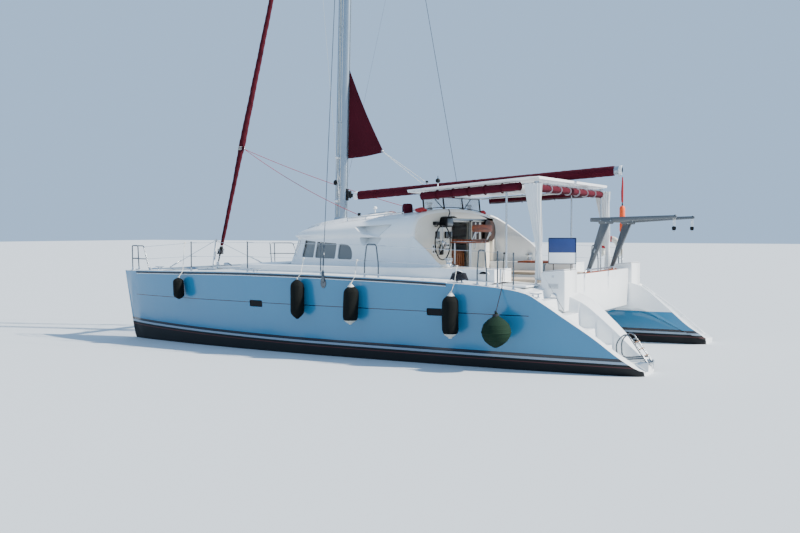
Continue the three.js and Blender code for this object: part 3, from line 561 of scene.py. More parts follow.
def gelcoat(name, slot, bright, dull, rough=0.22, coat=0.35):
    """A moulding's colour mottled between two tones, with faint rain runs and an uneven shine."""
    made = Finish(name, slot, Coat_Weight=coat, Coat_Roughness=0.12)
    patches = made.noise(0.9, 4)
    runs = made.noise(5.0, 2, stretch=(1, 1, 0.08))
    made.set(Base_Color=made.mix(patches * 0.6 + runs * 0.4, bright, dull))
    made.set(Roughness=patches * 0.14 + (rough - 0.05))
    made.bump(made.noise(26, 2), 0.0006, 0.4)
    return made


WHITE, SHADED_WHITE = tone(243, 245, 246), tone(222, 228, 231)
SKY_BLUE, CHALK_BLUE = tone(40, 120, 160), tone(48, 128, 166)
NAVY, STRIPE_WHITE, STRIPE_RED = tone(6, 13, 32), tone(138, 156, 174), tone(84, 42, 44)
BOTTOM_BLACK = tone(6, 7, 10)
white = gelcoat("white gelcoat", "gelcoat", WHITE, SHADED_WHITE)
cream = gelcoat("cream gelcoat", "gelcoat", tone(238, 234, 222), tone(222, 217, 204))

STRIPE_TOP, STRIPE_BOW_LIFT, STRIPE_TRIM, HALF_LENGTH = 0.318, 0.115, 0.0055, 5.8
PINSTRIPE = {"z": 0.945, "width": 0.014, "from": -3.95, "to": 5.35}
WHITE_INSIDE = {"y": 2.25, "z": 0.665, "x": 2.92}  # the hull's inner side is white above its knuckle
topsides = gelcoat("topsides gelcoat", "hull", SKY_BLUE, CHALK_BLUE, rough=0.2, coat=0.4)
x, y, z = topsides.axes()
forward = (x / HALF_LENGTH).sum("MAXIMUM", x / HALF_LENGTH, 0.0)
down = forward * forward * STRIPE_BOW_LIFT + x * STRIPE_TRIM + STRIPE_TOP - z
pin = abs(z - PINSTRIPE["z"] - x * 0.004) < PINSTRIPE["width"] / 2
paint = Wire(topsides.tree, topsides.socket("Base_Color").links[0].from_socket)
paint = topsides.mix(pin * x.within(PINSTRIPE["from"], PINSTRIPE["to"]), paint, NAVY)
paint = topsides.mix(
    (abs(y) < WHITE_INSIDE["y"]) * (z > WHITE_INSIDE["z"]) * (x < WHITE_INSIDE["x"]), paint, WHITE
)
for depth, colour in (
    (0.0, NAVY), (0.054, STRIPE_WHITE), (0.096, BOTTOM_BLACK), (0.136, STRIPE_RED),
    (0.152, BOTTOM_BLACK)
):
    paint = topsides.mix(down > depth, paint, colour)
topsides.set(Base_Color=paint)
topsides.set(
    Roughness=topsides.noise(0.9, 4) * 0.14 + (down > 0.096) * 0.5 + 0.15,
    Coat_Weight=(down < 0.096) * 0.4
)

antifouling = Finish("antifouling", "antifouling", Roughness=0.8, Specular_IOR_Level=0.2)
slime = antifouling.noise(3.0, 5)
antifouling.set(Base_Color=antifouling.ramp(slime, (0.3, tone(6, 7, 9)), (0.7, tone(20, 22, 23))))
antifouling.bump(antifouling.noise(60, 3), 0.002, 0.5)

# %% [markdown]
# Decks are moulded with a grid of small raised diamonds so that wet shoes hold. Two sine waves crossing
# at right angles give the same grid at its real size of about 9 mm, as a bump under a duller white.

# %% Deck, plastics and glass
nonskid = Finish("nonskid deck", "gelcoat", Roughness=0.62)
x, y, _ = nonskid.axes()
DIAMOND = 350.0
diamonds = ((x + y) * DIAMOND).sine() * ((x - y) * DIAMOND).sine()
worn = nonskid.noise(1.3, 4)
nonskid.set(Base_Color=nonskid.mix(worn * 0.8, tone(214, 219, 222), tone(192, 198, 202)))
nonskid.bump(diamonds, 0.0015, 0.5)


def plain(name, slot, bright, dull, rough, grain=30.0, metal=0.0, depth=0.0006, **more):
    """A finish mottled between two tones with a fine bump: paints, plastics, leathers and metals."""
    made = Finish(name, slot, Metallic=metal, **more)
    speckle = made.noise(grain, 4)
    made.set(Base_Color=made.mix(speckle, bright, dull), Roughness=speckle * 0.12 + (rough - 0.06))
    made.bump(speckle, depth, 0.35)
    return made


def tubed(name, slot, bright, dull, rough, run=0.04):
    """Polished or anodised metal, with a fine grain drawn out along the boat's upright."""
    made = Finish(name, slot, Metallic=1.0)
    grain = made.noise(90, 3, stretch=(1, 1, run))
    clouds = made.noise(2.5, 3)
    made.set(Base_Color=made.mix(clouds, bright, dull), Roughness=grain * 0.16 + (rough - 0.08))
    made.bump(grain, 0.0003, 0.3)
    return made


steel = tubed("stainless tube", "stainless", tone(214, 217, 220), tone(184, 189, 194), 0.2)
spar = tubed("anodised spar", "spar_alloy", tone(160, 174, 186), tone(142, 157, 170), 0.34)
spar.socket("Metallic").default_value = 0.8
# A darker copy of the stainless tube: its colour paints in the shade seen on the rails, shrouds and ladder
steel_painted_shade = tubed("stainless with painted shade", "stainless", tone(104, 110, 116), tone(78, 84, 90), 0.26)
alloy = tubed("grey davit alloy", "stainless", tone(116, 118, 120), tone(96, 99, 102), 0.36)
bronze = plain("bronze", "bronze", tone(176, 140, 92), tone(120, 92, 62), 0.36, metal=1.0)
enamel = plain("engine enamel", "engine_paint", tone(150, 157, 160), tone(128, 134, 138), 0.42)
black_plastic = plain(
    "black plastic", "tinted_glass", tone(10, 11, 12), tone(22, 23, 25), 0.5, Specular_IOR_Level=0.2
)
rubber = plain("rubbing strip", "hull", tone(38, 40, 46), tone(58, 60, 66), 0.6)
grey_plastic = plain("grey plastic", "gelcoat", tone(150, 156, 160), tone(132, 138, 142), 0.5)
orange = plain("orange foam", "canvas", tone(246, 92, 22), tone(222, 74, 16), 0.55)
tinted = Finish("tinted acrylic", "tinted_glass", Alpha=0.8, Coat_Weight=0.6, Specular_IOR_Level=0.7)
haze = tinted.noise(2.0, 3)
tinted.set(
    Base_Color=tinted.mix(haze, tone(104, 107, 108), tone(130, 131, 128)), Roughness=haze * 0.06 + 0.05
)
black_glass = plain(
    "black window", "tinted_glass", tone(6, 10, 18), tone(10, 14, 22), 0.3, grain=3.0,
    Specular_IOR_Level=0.12
)
smoked = plain(
    "smoked door pane", "tinted_glass", tone(44, 30, 26), tone(58, 42, 36), 0.3, grain=3.0,
    Specular_IOR_Level=0.2
)
clear = Finish("clear vinyl", "tinted_glass", Alpha=0.34)
cloud = clear.noise(3.0, 3)
clear.set(
    Base_Color=clear.mix(cloud, tone(170, 190, 205), tone(205, 216, 224)), Roughness=cloud * 0.1 + 0.06
)
dials = Finish("dial glass", "tinted_glass", Coat_Weight=0.8)
dials.set(Base_Color=dials.mix(dials.noise(9, 2), tone(12, 14, 16), tone(32, 37, 42)))

# %% [markdown]
# Varnished teak shows long dark grain lines, so a broad and a fine noise are both stretched along the
# slats and mixed through a ramp of two browns. The slats run across the boat, and the grain with them.

# %% Wood
def timber(name, light, dark, slot="teak", rough=0.45, along=(1, 0.12, 1)):
    made = Finish(name, slot, Coat_Weight=0.05, Specular_IOR_Level=0.25)
    figure = made.noise(22, 6, stretch=along)
    lines = made.noise(130, 3, stretch=along)
    made.set(Base_Color=made.ramp(figure * 0.7 + lines * 0.3, (0.36, dark), (0.62, light)))
    made.set(Roughness=lines * 0.2 + (rough - 0.1))
    made.bump(lines, 0.0012, 0.5)
    return made


teak = timber("varnished teak", tone(150, 70, 20), tone(84, 34, 8))
joinery = timber("saloon joinery", tone(150, 92, 56), tone(96, 54, 32), along=(1, 1, 0.12))
sole_boards = timber("sole boards", tone(140, 104, 70), tone(92, 62, 38), along=(0.12, 1, 1))

# %% [markdown]
# Woven cloth is a checker of threads passing over and under. On the piece's own map, in metres, the
# product of two sine waves makes that checker, and large soft noise adds fading and water stains.

# %% Cloth, rope and net
def woven(name, slot, bright, dull, threads=900.0, rough=0.85, depth=0.0007, fade=1.6, sheen=0.25):
    made = Finish(name, slot, Sheen_Weight=sheen, Sheen_Roughness=0.5)
    u, v, _ = made.axes(made.cloth())
    weave = (u * threads).sine() * (v * threads).sine()
    stains = made.noise(fade, 5)
    made.set(Base_Color=made.mix(stains * 0.85 + weave * 0.08, bright, dull))
    made.set(Roughness=stains * 0.1 + (rough - 0.05))
    made.bump(weave + made.noise(40, 3) * 0.6, depth, 0.6)
    return made


burgundy = woven("burgundy canvas", "canvas", tone(82, 8, 30), tone(54, 4, 20), rough=0.93, sheen=0.0)
burgundy_sail = woven(
    "burgundy sail strip", "canvas", tone(76, 6, 26), tone(50, 3, 17), rough=0.9, sheen=0.0
)
lining = woven("grey lining", "canvas", tone(186, 184, 190), tone(150, 138, 148))
curtain_cloth = woven(
    "white curtain", "curtain_cloth", tone(236, 238, 238), tone(208, 214, 218), threads=700
)
upholstery = woven(
    "beige upholstery", "curtain_cloth", tone(186, 170, 150), tone(160, 142, 122), threads=700
)
sock = woven(
    "fender sock", "fender_cover", tone(5, 8, 9), tone(14, 18, 14), threads=420, depth=0.003, sheen=0.0
)
green_sock = woven(
    "ball fender sock", "fender_cover", tone(16, 46, 30), tone(7, 24, 16), threads=380, depth=0.003,
    sheen=0.0
)
for dark_cloth in (burgundy, burgundy_sail, sock, green_sock):
    dark_cloth.socket("Specular_IOR_Level").default_value = 0.2
fender_white = plain("white vinyl", "fender_cover", tone(222, 222, 212), tone(192, 190, 178), 0.42)


def laid(name, slot, bright, dull, turns=260.0):
    """Rope: strands wind round it, so the pattern runs along and across the map together."""
    made = Finish(name, slot, Roughness=0.9)
    u, v, _ = made.axes(made.cloth())
    strand = (u * turns + v * turns).sine()
    made.set(Base_Color=made.mix(strand * 0.35 + made.noise(30, 3) * 0.5, bright, dull))
    made.bump(strand, 0.002, 0.6)
    return made


white_rope = laid("white rope", "net", tone(226, 226, 220), tone(188, 186, 176))
black_rope = laid("black rope", "fender_cover", tone(40, 42, 50), tone(20, 21, 26))
red_rope = laid("red rope", "canvas", tone(176, 40, 48), tone(110, 26, 36))
net_cord = laid("net cord", "net", tone(222, 224, 224), tone(190, 194, 196))
print(len(bpy.data.materials), "finishes")
# %% [markdown]
# The boat floats, so the pale floor lies at its waterline and hides what is under water, as the sea does.

# %% Floor at the waterline
FLOOR_REACH = 160.0
floor_mesh = bpy.data.meshes.new("floor")
corners = [(a * FLOOR_REACH, b * FLOOR_REACH, 0) for a, b in ((-1, -1), (1, -1), (1, 1), (-1, 1))]
floor_mesh.from_pydata(corners, [], [(0, 1, 2, 3)])
floor = bpy.data.objects.new("floor", floor_mesh)
bpy.context.scene.collection.objects.link(floor)
floor_finish = Finish("pale floor", None, Base_Color=tone(196, 204, 210), Roughness=0.9)
floor_mesh.materials.append(floor_finish.material)
floor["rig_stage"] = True
print("floor laid at z = 0")

# %% [markdown]
# A hull is drawn by naval architects as a row of cross-sections. Here each section is one line of the
# table, smooth curves run through its columns, and every column of points along the boat is a fair line.
# Boxes and subdivision would never give that sheer and that knuckle; sections give both at their real size.

# %% Lines of a hull
# x, keel z, turn of the bilge z, its inner and outer y, deck inner and outer y, deck inner and outer z
SECTIONS = [
    (5.800, 1.300, 1.360, 2.480, 2.520, 2.462, 2.538, 1.470, 1.470),
    (5.700, 0.780, 1.000, 2.480, 2.520, 2.430, 2.570, 1.472, 1.472),
    (5.525, 0.000, 0.350, 2.470, 2.530, 2.370, 2.640, 1.476, 1.476),
    (5.200, -0.270, 0.060, 2.400, 2.600, 2.270, 2.745, 1.482, 1.482),
    (4.600, -0.400, 0.000, 2.290, 2.710, 2.120, 2.880, 1.492, 1.492),
    (3.800, -0.480, 0.000, 2.170, 2.830, 1.980, 3.010, 1.505, 1.505),
    (2.960, -0.530, 0.000, 2.060, 2.930, 1.880, 3.110, 1.518, 1.518),
    (2.900, -0.532, 0.000, 2.055, 2.935, 1.752, 3.115, 1.519, 1.519),
    (2.000, -0.560, 0.000, 1.960, 3.010, 1.752, 3.190, 1.527, 1.527),
    (0.600, -0.575, 0.000, 1.890, 3.085, 1.752, 3.255, 1.520, 1.520),
    (-0.900, -0.555, 0.000, 1.870, 3.105, 1.752, 3.262, 1.492, 1.492),
    (-2.300, -0.490, 0.000, 1.880, 3.095, 1.752, 3.260, 1.452, 1.452),
    (-3.500, -0.390, 0.000, 1.910, 3.060, 1.752, 3.235, 1.400, 1.375),
    (-3.900, -0.345, 0.000, 1.930, 3.040, 1.752, 3.215, 1.345, 1.300),
    (-4.200, -0.305, 0.000, 1.950, 3.020, 1.752, 3.200, 1.290, 1.140),
    (-4.500, -0.260, 0.000, 1.970, 2.995, 1.765, 3.165, 1.190, 0.945),
    (-5.000, -0.180, 0.000, 2.015, 2.945, 1.830, 3.080, 0.795, 0.612),
    (-5.450, -0.100, 0.000, 2.065, 2.885, 1.930, 2.985, 0.385, 0.270),
    (-5.700, -0.050, 0.000, 2.110, 2.830, 2.030, 2.880, 0.200, 0.110),
    (-5.775, -0.015, 0.020, 2.160, 2.780, 2.120, 2.810, 0.130, 0.080),
]
CAMBER = 0.015
KNUCKLE = (0.62, 0.72)
BRIDGE_FRONT = 2.90
FLARE = 1.4
ABOVE_STEPS = 1.60
STATION_STEP = 0.055
# Stern steps: where each one's riser stands, and the level of its tread
STEPS = [(-3.95, 1.180), (-4.20, 0.930), (-4.50, 0.680), (-4.80, 0.420), (-5.10, 0.160)]
NOSING = 0.022
WALL_WIDTH = 0.055
# x, inner and outer y of the scoop between its side decks
SCOOP = [
    (-3.90, 2.30, 3.08), (-4.60, 2.18, 3.03), (-5.20, 2.20, 2.905), (-5.70, 2.27, 2.74),
    (-5.90, 2.30, 2.70)
]


def lines_at(x):
    return through(x, SECTIONS)


def deck_z(x, y):
    """Height of the side deck: straight from its inner to its outer edge, with a little camber."""
    row = lines_at(x)
    t = np.clip((y - row[..., 4]) / (row[..., 5] - row[..., 4]), 0, 1)
    return row[..., 6] + (row[..., 7] - row[..., 6]) * t + CAMBER * 4 * t * (1 - t)


def tread_z(x):
    """Level of the stern steps: each riser is an S as wide as its rounded nosing."""
    level = np.full(np.shape(x), ABOVE_STEPS)
    above = ABOVE_STEPS
    for riser, tread in STEPS:
        level = level + (tread - above) * rise(-np.asarray(x), -riser - NOSING, -riser + NOSING)
        above = tread
    return level


def hull_stations():
    """Places along the hull: even, and crowded at the risers, the bow and the stern."""
    even = np.arange(-5.775, 5.8001, STATION_STEP)
    risers = np.array([r + d for r, _ in STEPS for d in np.linspace(-1.5, 1.5, 9) * NOSING])
    ends = np.array([5.78, 5.79, -5.76, 2.90, 2.915, 2.93, 2.945, 2.96])
    return np.unique(np.round(np.concatenate([even, risers, ends, [5.8]]), 4))[::-1]


def hull_side(x, outer, count=26):
    """The side below the deck edge: y goes from the deck's to the bilge's by the depth to the power FLARE.
    Inside, aft of the bridgedeck's front, it steps in over the knuckle instead."""
    _, low, low_in, low_out, deck_in, deck_out, z_in, z_out = lines_at(x).T[..., None]
    s = np.linspace(0, 1, count)
    low_y, top_y, top = (low_out, deck_out, z_out) if outer else (low_in, deck_in, z_in)
    z = top + (low - top) * s
    y = top_y + (low_y - top_y) * s**FLARE
    if not outer:
        knuckle = np.minimum(KNUCKLE[0], low + 0.5 * (top - low)), np.minimum(
            KNUCKLE[1], low + 0.62 * (top - low)
        )
        stepped = top_y + (low_y - top_y) * (1 - rise(z, *knuckle))
        aft = 1 - rise(x, BRIDGE_FRONT, BRIDGE_FRONT + 0.06)[:, None]
        y = y * (1 - aft) + stepped * aft
    return np.stack([np.broadcast_to(x[:, None], y.shape), y, z], -1)


def hull_bottom(x, count=25):
    """The bottom from the outer bilge round the keel to the inner one, a quarter superellipse each way."""
    keel, low, low_in, low_out, *_ = lines_at(x).T[..., None]
    turn = np.linspace(0, np.pi, count)
    middle = (low_in + low_out) / 2
    half = np.where(turn < np.pi / 2, low_out - middle, middle - low_in)
    y = middle + half * np.sign(np.cos(turn)) * np.abs(np.cos(turn)) ** 0.8
    z = low + (keel - low) * np.sin(turn) ** 0.9
    return np.stack([np.broadcast_to(x[:, None], y.shape), y, z], -1)


def hull_top(x):
    """The deck from its inner to its outer edge. The scoop is the deck lowered to the steps' treads,
    times one S across each of its two walls, where the columns crowd together."""
    deck_in, deck_out = lines_at(x).T[4:6, :, None]
    inner, outer = through(np.clip(x, -5.9, -3.9), SCOOP).T[..., None]
    inner = np.maximum(inner, deck_in + 0.03)
    outer = np.minimum(outer, deck_out - 0.03)
    t = lambda count: np.linspace(0, 1, count)[None, 1:]
    wall = WALL_WIDTH * (1 - np.cos(np.pi * t(15))) / 2
    stretch = outer - inner - 2 * WALL_WIDTH
    y = np.concatenate([
        deck_in, deck_in + (inner - deck_in) * t(9), inner + wall,
        inner + WALL_WIDTH + stretch * t(12), outer - WALL_WIDTH + wall, outer + (deck_out - outer) * t(5),
    ], axis=1)
    xs = np.broadcast_to(x[:, None], y.shape)
    rim = deck_z(xs, y)
    depth = np.maximum(rim - tread_z(xs), 0)
    inside = rise(y, inner, inner + WALL_WIDTH) * rise(-y, -outer, -outer + WALL_WIDTH)
    return np.stack([xs, y, rim - depth * inside], -1)


x = hull_stations()
side_out, bottom, side_in, top = hull_side(x, True), hull_bottom(x), hull_side(
    x, False
)[:, ::-1], hull_top(x)
print(
    "hull:", len(x), "stations of",
    side_out.shape[1] + bottom.shape[1] + side_in.shape[1] + top.shape[1], "points"
)


# %% [markdown]
# The two engine hatches and the two bow lockers really open, so their wells are carved out of the deck:
# a rebate for the lid to lie in, and a deeper hole inside it. The hull windows are set 16 mm into the side.

# %% Port and starboard hulls
ENGINE_HATCH = {
    "x": (-3.79, -3.11), "y": (2.20, 2.89), "rebate": 1.375, "pit": (-3.74, -3.16, 2.24, 2.84, 0.06)
}
BOW_HATCH = {"x": (4.05, 4.55), "y": (2.28, 2.72), "rebate": 1.462, "pit": (4.10, 4.50, 2.33, 2.67, 0.70)}
LID_GAP = 0.006
HULL_WINDOWS = [(1.56, 1.88, 0.865, 0.995), (-2.62, -2.06, 0.865, 0.995)]
WINDOW_DEPTH = 0.016


def well(hatch):
    """The hole under a lid: its rebate and the pit below, up into the air."""
    (x0, x1), (y0, y1), pit = hatch["x"], hatch["y"], hatch["pit"]
    edge = slab(
        rectangle(x0 - LID_GAP, x1 + LID_GAP, y0 - LID_GAP, y1 + LID_GAP, 0.014), hatch["rebate"], 1.9,
        0.004
    )
    return edge + slab(rectangle(*pit[:4], 0.04), pit[4], 1.88, 0.004)


def side_y(x, z):
    """How far out the topsides are at a place on them."""
    row = lines_at(x)
    s = np.maximum(row[..., 7] - z, 0) / (row[..., 7] - row[..., 1])
    return row[..., 5] + (row[..., 3] - row[..., 5]) * s**FLARE


def on_side(outline, shares, out):
    """Copies of an outline shrunk towards its middle by shares, on the topsides and each that far out."""
    outline = np.asarray(outline, float)
    middle = outline.mean(0)
    shrunk = [middle + (outline - middle) * share for share in shares]
    return np.array(
        [np.stack([o[:, 0], side_y(o[:, 0], o[:, 1]) + d, o[:, 1]], 1) for o, d in zip(shrunk, out)]
    )


def window_tool(x0, x1, z0, z1):
    """A closed skin that carves a hull window's seat: its floor follows the topsides at one depth."""
    shares = [0.001, 0.5, 0.85, 1.0, 1.0, 0.5, 0.001]
    return grid(
        on_side(rectangle(x0, x1, z0, z1, 0.03), shares, [-WINDOW_DEPTH] * 4 + [0.08] * 3), ring=True
    )


closed = np.concatenate([side_out, bottom[:, 1:], side_in[:, 1:], top[:, 1:-1]], axis=1)
tip = lambda ring, out, share: (ring - ring.mean(0)) * [1, share, share] + ring.mean(0) + [out, 0, 0]
stern = [tip(closed[-1], -d, s) for d, s in ((0.008, 0.93), (0.013, 0.72), (0.017, 0.38), (0.018, 0.0))]
bow = [tip(closed[0], d, s) for d, s in ((0.013, 0.0), (0.011, 0.45), (0.006, 0.85))]
rings = np.concatenate([bow, closed, stern])
white_from = side_out.shape[1] + bottom.shape[1] + side_in.shape[1] - 3
hull_skin = grid(rings, ring=True)
columns = rings.shape[1]
column = np.arange(len(hull_skin.faces)) % columns
nose_rows = np.arange(len(hull_skin.faces)) // columns >= len(rings) - 1 - len(stern)


def part_of(skin, keep):
    """The faces of a skin that a mask keeps, with all its points."""
    corners = np.repeat(keep, [len(f) for f in skin.faces])
    return Skin(skin.points, [f for f, k in zip(skin.faces, keep) if k], skin.cloth[corners])


decked = (column >= white_from) | nose_rows
seats = sum(window_tool(*w) for w in HULL_WINDOWS)
for sign, side in ((1, "port"), (-1, "starboard")):
    mine = (lambda s: s) if sign > 0 else Skin.mirrored
    parts = [(white, mine(part_of(hull_skin, decked))), (topsides, mine(part_of(hull_skin, ~decked)))]
    tool = mine(well(ENGINE_HATCH) + well(BOW_HATCH) + seats)
    piece(f"{side}_hull_shell", parts, replaces=f"{side}_hull", cuts=tool, crease=38)
# %% [markdown]
# The coachroof is one smooth moulding: upright sides with a small brow over the windows, then a shoulder
# that closes to a flat crown. Seen from above, every level is a pair of straight sides joined by half an
# ellipse, so a table of levels gives the whole shell, and smooth curves run from one level to the next.

# %% Coachroof surface
# nose x, half-width, z at the nose, z at the aft end
LEVELS = [
    (2.50, 2.150, 1.661, 1.661),
    (2.37, 2.020, 2.16, 2.23),
    (2.44, 2.035, 2.23, 2.31),
    (2.34, 2.005, 2.30, 2.46),
    (2.13, 1.880, 2.37, 2.67),
    (1.75, 1.450, 2.47, 2.83),
    (1.25, 0.700, 2.56, 2.905),
    (0.90, 0.000, 2.60, 2.93),
]
LEVEL_TABLE = [(i, *row) for i, row in enumerate(LEVELS)]
NOSE_LENGTH, ROOF_AFT, ARCH_X = 1.55, -2.25, -1.15
SHELL, ARCH_ROUND = 0.030, 0.085


def roof_levels(count_low, count_high):
    """Rows of the level table made smooth: upright wall, brow, then the shoulder and crown."""
    t = np.concatenate([np.linspace(0, 1, count_low, endpoint=False), np.linspace(1, 2, 6, endpoint=False),
                        np.linspace(2, 7, count_high)])
    return through(t, LEVEL_TABLE)


def roof_point(nose, half, z_nose, z_aft, x_out, side):
    """A point of a level from how far it is along: its height falls in a straight line to the nose."""
    z = z_nose + (z_aft - z_nose) * (nose - x_out) / (nose - ROOF_AFT)
    return np.stack([x_out, side * half, z], -1)


def roof_surface(rows, aft, straight=120, nose_count=76):
    """Port side from its aft end to the nose and back along starboard, one row for each level."""
    nose, half, z_nose, z_aft = (c[:, None] for c in rows.T)
    run = np.linspace(0, 1, straight)[None]
    shoulder = nose - NOSE_LENGTH
    x_side = aft + (shoulder - aft) * run
    turn = np.linspace(np.pi / 2, -np.pi / 2, nose_count)[None, 1:-1]
    x_nose = shoulder + NOSE_LENGTH * np.cos(turn)
    x_all = np.concatenate([x_side, x_nose, x_side[:, ::-1]], axis=1)
    side = np.concatenate([np.ones(straight), np.sin(turn[0]), -np.ones(straight)])[None]
    return roof_point(nose, half, z_nose, z_aft, x_all, np.broadcast_to(side, x_all.shape))


def inside_of(points, corners, soft):
    """1 well inside a convex outline of (a, b) corners, 0 outside, S-shaped within soft of its edges."""
    c = np.asarray(corners, float)
    ahead = np.roll(c, -1, axis=0) - c
    turn = np.sign(np.sum(c[:, 0] * np.roll(c[:, 1], -1) - c[:, 1] * np.roll(c[:, 0], -1)))
    normal = np.stack([-ahead[:, 1], ahead[:, 0]], 1) / np.linalg.norm(ahead, axis=1)[:, None] * turn
    reach = np.min(np.einsum("...k,ek->...e", points, normal) - np.sum(c * normal, axis=1), axis=-1)
    return rise(reach, -soft, soft)


# The raised plate round the mast in plan, and the two footholds on each side as x and z
PLATE = [
    (0.04, -1.30), (0.16, -1.46), (1.35, -1.42), (2.00, -1.00), (2.30, 0.0), (2.00, 1.00), (1.35, 1.42),
    (0.16, 1.46), (0.04, 1.30)
]
PLATE_HIGH = 0.055
FOOTHOLDS = [[(0.14, 2.42), (-0.63, 2.45), (-0.38, 2.23), (-0.02, 2.29)],
             [(0.03, 2.195), (-0.43, 2.205), (-0.34, 2.055), (-0.04, 2.08)]]
FOOTHOLD_DEEP = 0.17


def roof_with_details(points):
    """The shell lifted by the raised plate and pressed in at the footholds, deepest along their tops."""
    plate = inside_of(points[..., :2], PLATE, 0.016) * rise(points[..., 2], 2.30, 2.36)
    points = points + plate[..., None] * [0, 0, PLATE_HIGH]
    for hold in FOOTHOLDS:
        low, high = min(z for _, z in hold), max(z for _, z in hold)
        ahead = np.clip((points[..., 0] - hold[1][0]) / (hold[0][0] - hold[1][0]), 0, 1)
        deep = (
            np.clip((points[..., 2] - low) / (high - low), 0, 1) * (0.6 + 0.7 * ahead) * FOOTHOLD_DEEP
            + 0.10 * ahead + 0.012
        )
        press = inside_of(points[..., [0, 2]], hold, 0.012) * deep
        points = points - press[..., None] * np.sign(points[..., 1:2]) * [0, 1, -0.25]
    return points


def arch_edge(points):
    """The aft edge rolled inwards by a quarter round, square to the shell."""
    end, beside = points[:, 0], points[:, 1]
    up = np.gradient(end, axis=0)
    inward = np.cross(beside - end, up)
    inward[:, 0] = 0
    inward /= np.maximum(np.linalg.norm(inward, axis=1), 1e-9)[:, None]
    turn = np.linspace(np.pi / 2, 0, 7, endpoint=False)[:, None, None]
    rolled = end + ARCH_ROUND * (inward * (1 - np.cos(turn)) - np.array([1, 0, 0]) * np.sin(turn))
    return rolled.transpose(1, 0, 2)


rows = roof_levels(28, 46)
shell = roof_surface(rows, ARCH_X + ARCH_ROUND)
edge = arch_edge(shell)
shell = roof_with_details(shell)
shell = np.concatenate([edge, shell, (edge * [1, -1, 1])[:, ::-1]], axis=1)
print("coachroof:", shell.shape[0], "levels of", shell.shape[1], "points")

# %% [markdown]
# Windows are cut through the shell after it has its wall, as they are in the yard, and a band of dark
# acrylic follows the same surface just behind it. The last side window has one large round corner.

# %% Coachroof, windows and wings
SIDE_WINDOWS = [(0.565, 1.058), (1.092, 1.462)]
ROUND_WINDOW = {"front": 0.512, "full": 0.33, "round": 0.235, "aft": 0.165}
FRONT_WINDOWS = [(0.06, 0.72), (0.81, 1.27), (1.36, 1.72)]
FRONT_LOW, FRONT_HIGH = 1.815, 2.145


def sill(x):
    return 1.774 + 0.028 * x


def lintel(x):
    return 2.058 + 0.066 * x


def window_tools(side):
    """Blocks that cut the windows of one side out of the coachroof, on sloping sills and lintels."""
    across = sorted((side * 1.2, side * 2.6))
    cut = lambda corners, radius: slab(rounded(corners, radius), *across, 0.002, "y")
    tools = [
        cut([(a, sill(a)), (b, sill(b)), (b, lintel(b)), (a, lintel(a))], 0.03) for a, b in SIDE_WINDOWS
    ]
    front, full, curve, aft = ROUND_WINDOW.values()
    tools.append(
        cut(
            [
                (front, sill(front)), (front, lintel(front)), (full, lintel(full)),
                (curve, lintel(full) - 0.05), (aft + 0.01, 1.92), (aft, sill(aft))
            ],
            0.05
        )
    )
    for y in FRONT_WINDOWS:
        pane = rectangle(*sorted((side * y[0], side * y[1])), FRONT_LOW, FRONT_HIGH, 0.035)
        tools.append(slab(pane, 1.2, 2.7, 0.002, "x"))
    return sum(tools)


wall = ("SOLIDIFY", {"thickness": SHELL, "offset": -1.0})
piece("coachroof_shell", grid(shell), finish=white, replaces="coachroof", modifiers=[wall],
      cuts=window_tools(1) + window_tools(-1), crease=40)

glass_levels = through(np.linspace(0.16, 0.99, 10), LEVEL_TABLE)
glass_levels[:, :2] -= SHELL + 0.004
pane = ("SOLIDIFY", {"thickness": 0.008, "offset": -1.0})
piece(
    "window_band", grid(roof_surface(glass_levels, 0.10)), finish=tinted, replaces="saloon_windows",
    modifiers=[pane]
)

WING_THICK = 0.05
WING_FRONT = -1.104
WING_TOPS = {
    "port": [(-1.10, 2.257), (-1.16, 2.21), (-1.50, 1.945), (-1.80, 1.712), (-1.86, 1.70)],
    "starboard": [(-1.10, 2.735), (-1.16, 2.695), (-1.60, 2.37), (-2.05, 2.025), (-2.11, 1.95)],
}


def wing(tops):
    """The side carried on aft of the arch: at each place a wall from the raised deck up to a sloping top,
    its outer face on the coachroof's own surface and its top edge half round."""
    last = tops[-1][0]
    x = np.concatenate([np.linspace(WING_FRONT, last + 0.06, 34), last + np.array([0.03, 0.015, 0.005, 0])])
    top = through(x, tops)[:, :1]
    levels = through(np.linspace(0, 5.4, 70), LEVEL_TABLE)
    nose, half, z_nose, z_aft = levels.T
    z_at = z_nose + (z_aft - z_nose) * (nose - x[:, None]) / (nose - ROOF_AFT)
    t = np.linspace(0, 1, 26)[None]
    foot = np.full_like(top, 1.655)
    z = foot + (top - WING_THICK / 2 - foot) * t
    y = np.stack([np.interp(zz, za, half) for zz, za in zip(z, z_at)]) - 0.0015
    turn = np.linspace(0, np.pi, 9)[None, 1:-1]
    cap_y = y[:, -1:] - WING_THICK / 2 * (1 - np.cos(turn))
    cap_z = z[:, -1:] + WING_THICK / 2 * np.sin(turn)
    y = np.concatenate([y, cap_y, y[:, ::-1] - WING_THICK], axis=1)
    z = np.concatenate([z, cap_z, z[:, ::-1]], axis=1)
    return grid(np.stack([np.broadcast_to(x[:, None], y.shape), y, z], -1), ring=True, ends=True)


piece("port_roof_wing", wing(WING_TOPS["port"]), finish=white)
piece("starboard_roof_wing", wing(WING_TOPS["starboard"]).mirrored(), finish=white)

# %% [markdown]
# The saloon's aft face stands flush with the edge of the coachroof. It is made of four plates cut to the
# roof's own section, a little inside it, and they leave an opening where the sliding door hangs and runs.

# %% Aft face of the saloon
FACE_INSET = ARCH_ROUND - 0.006
DOOR_RECESS = {"y": (-1.80, 0.345), "top": 2.605}
FACE_FOOT, SOLE_FOOT = 1.668, 1.01


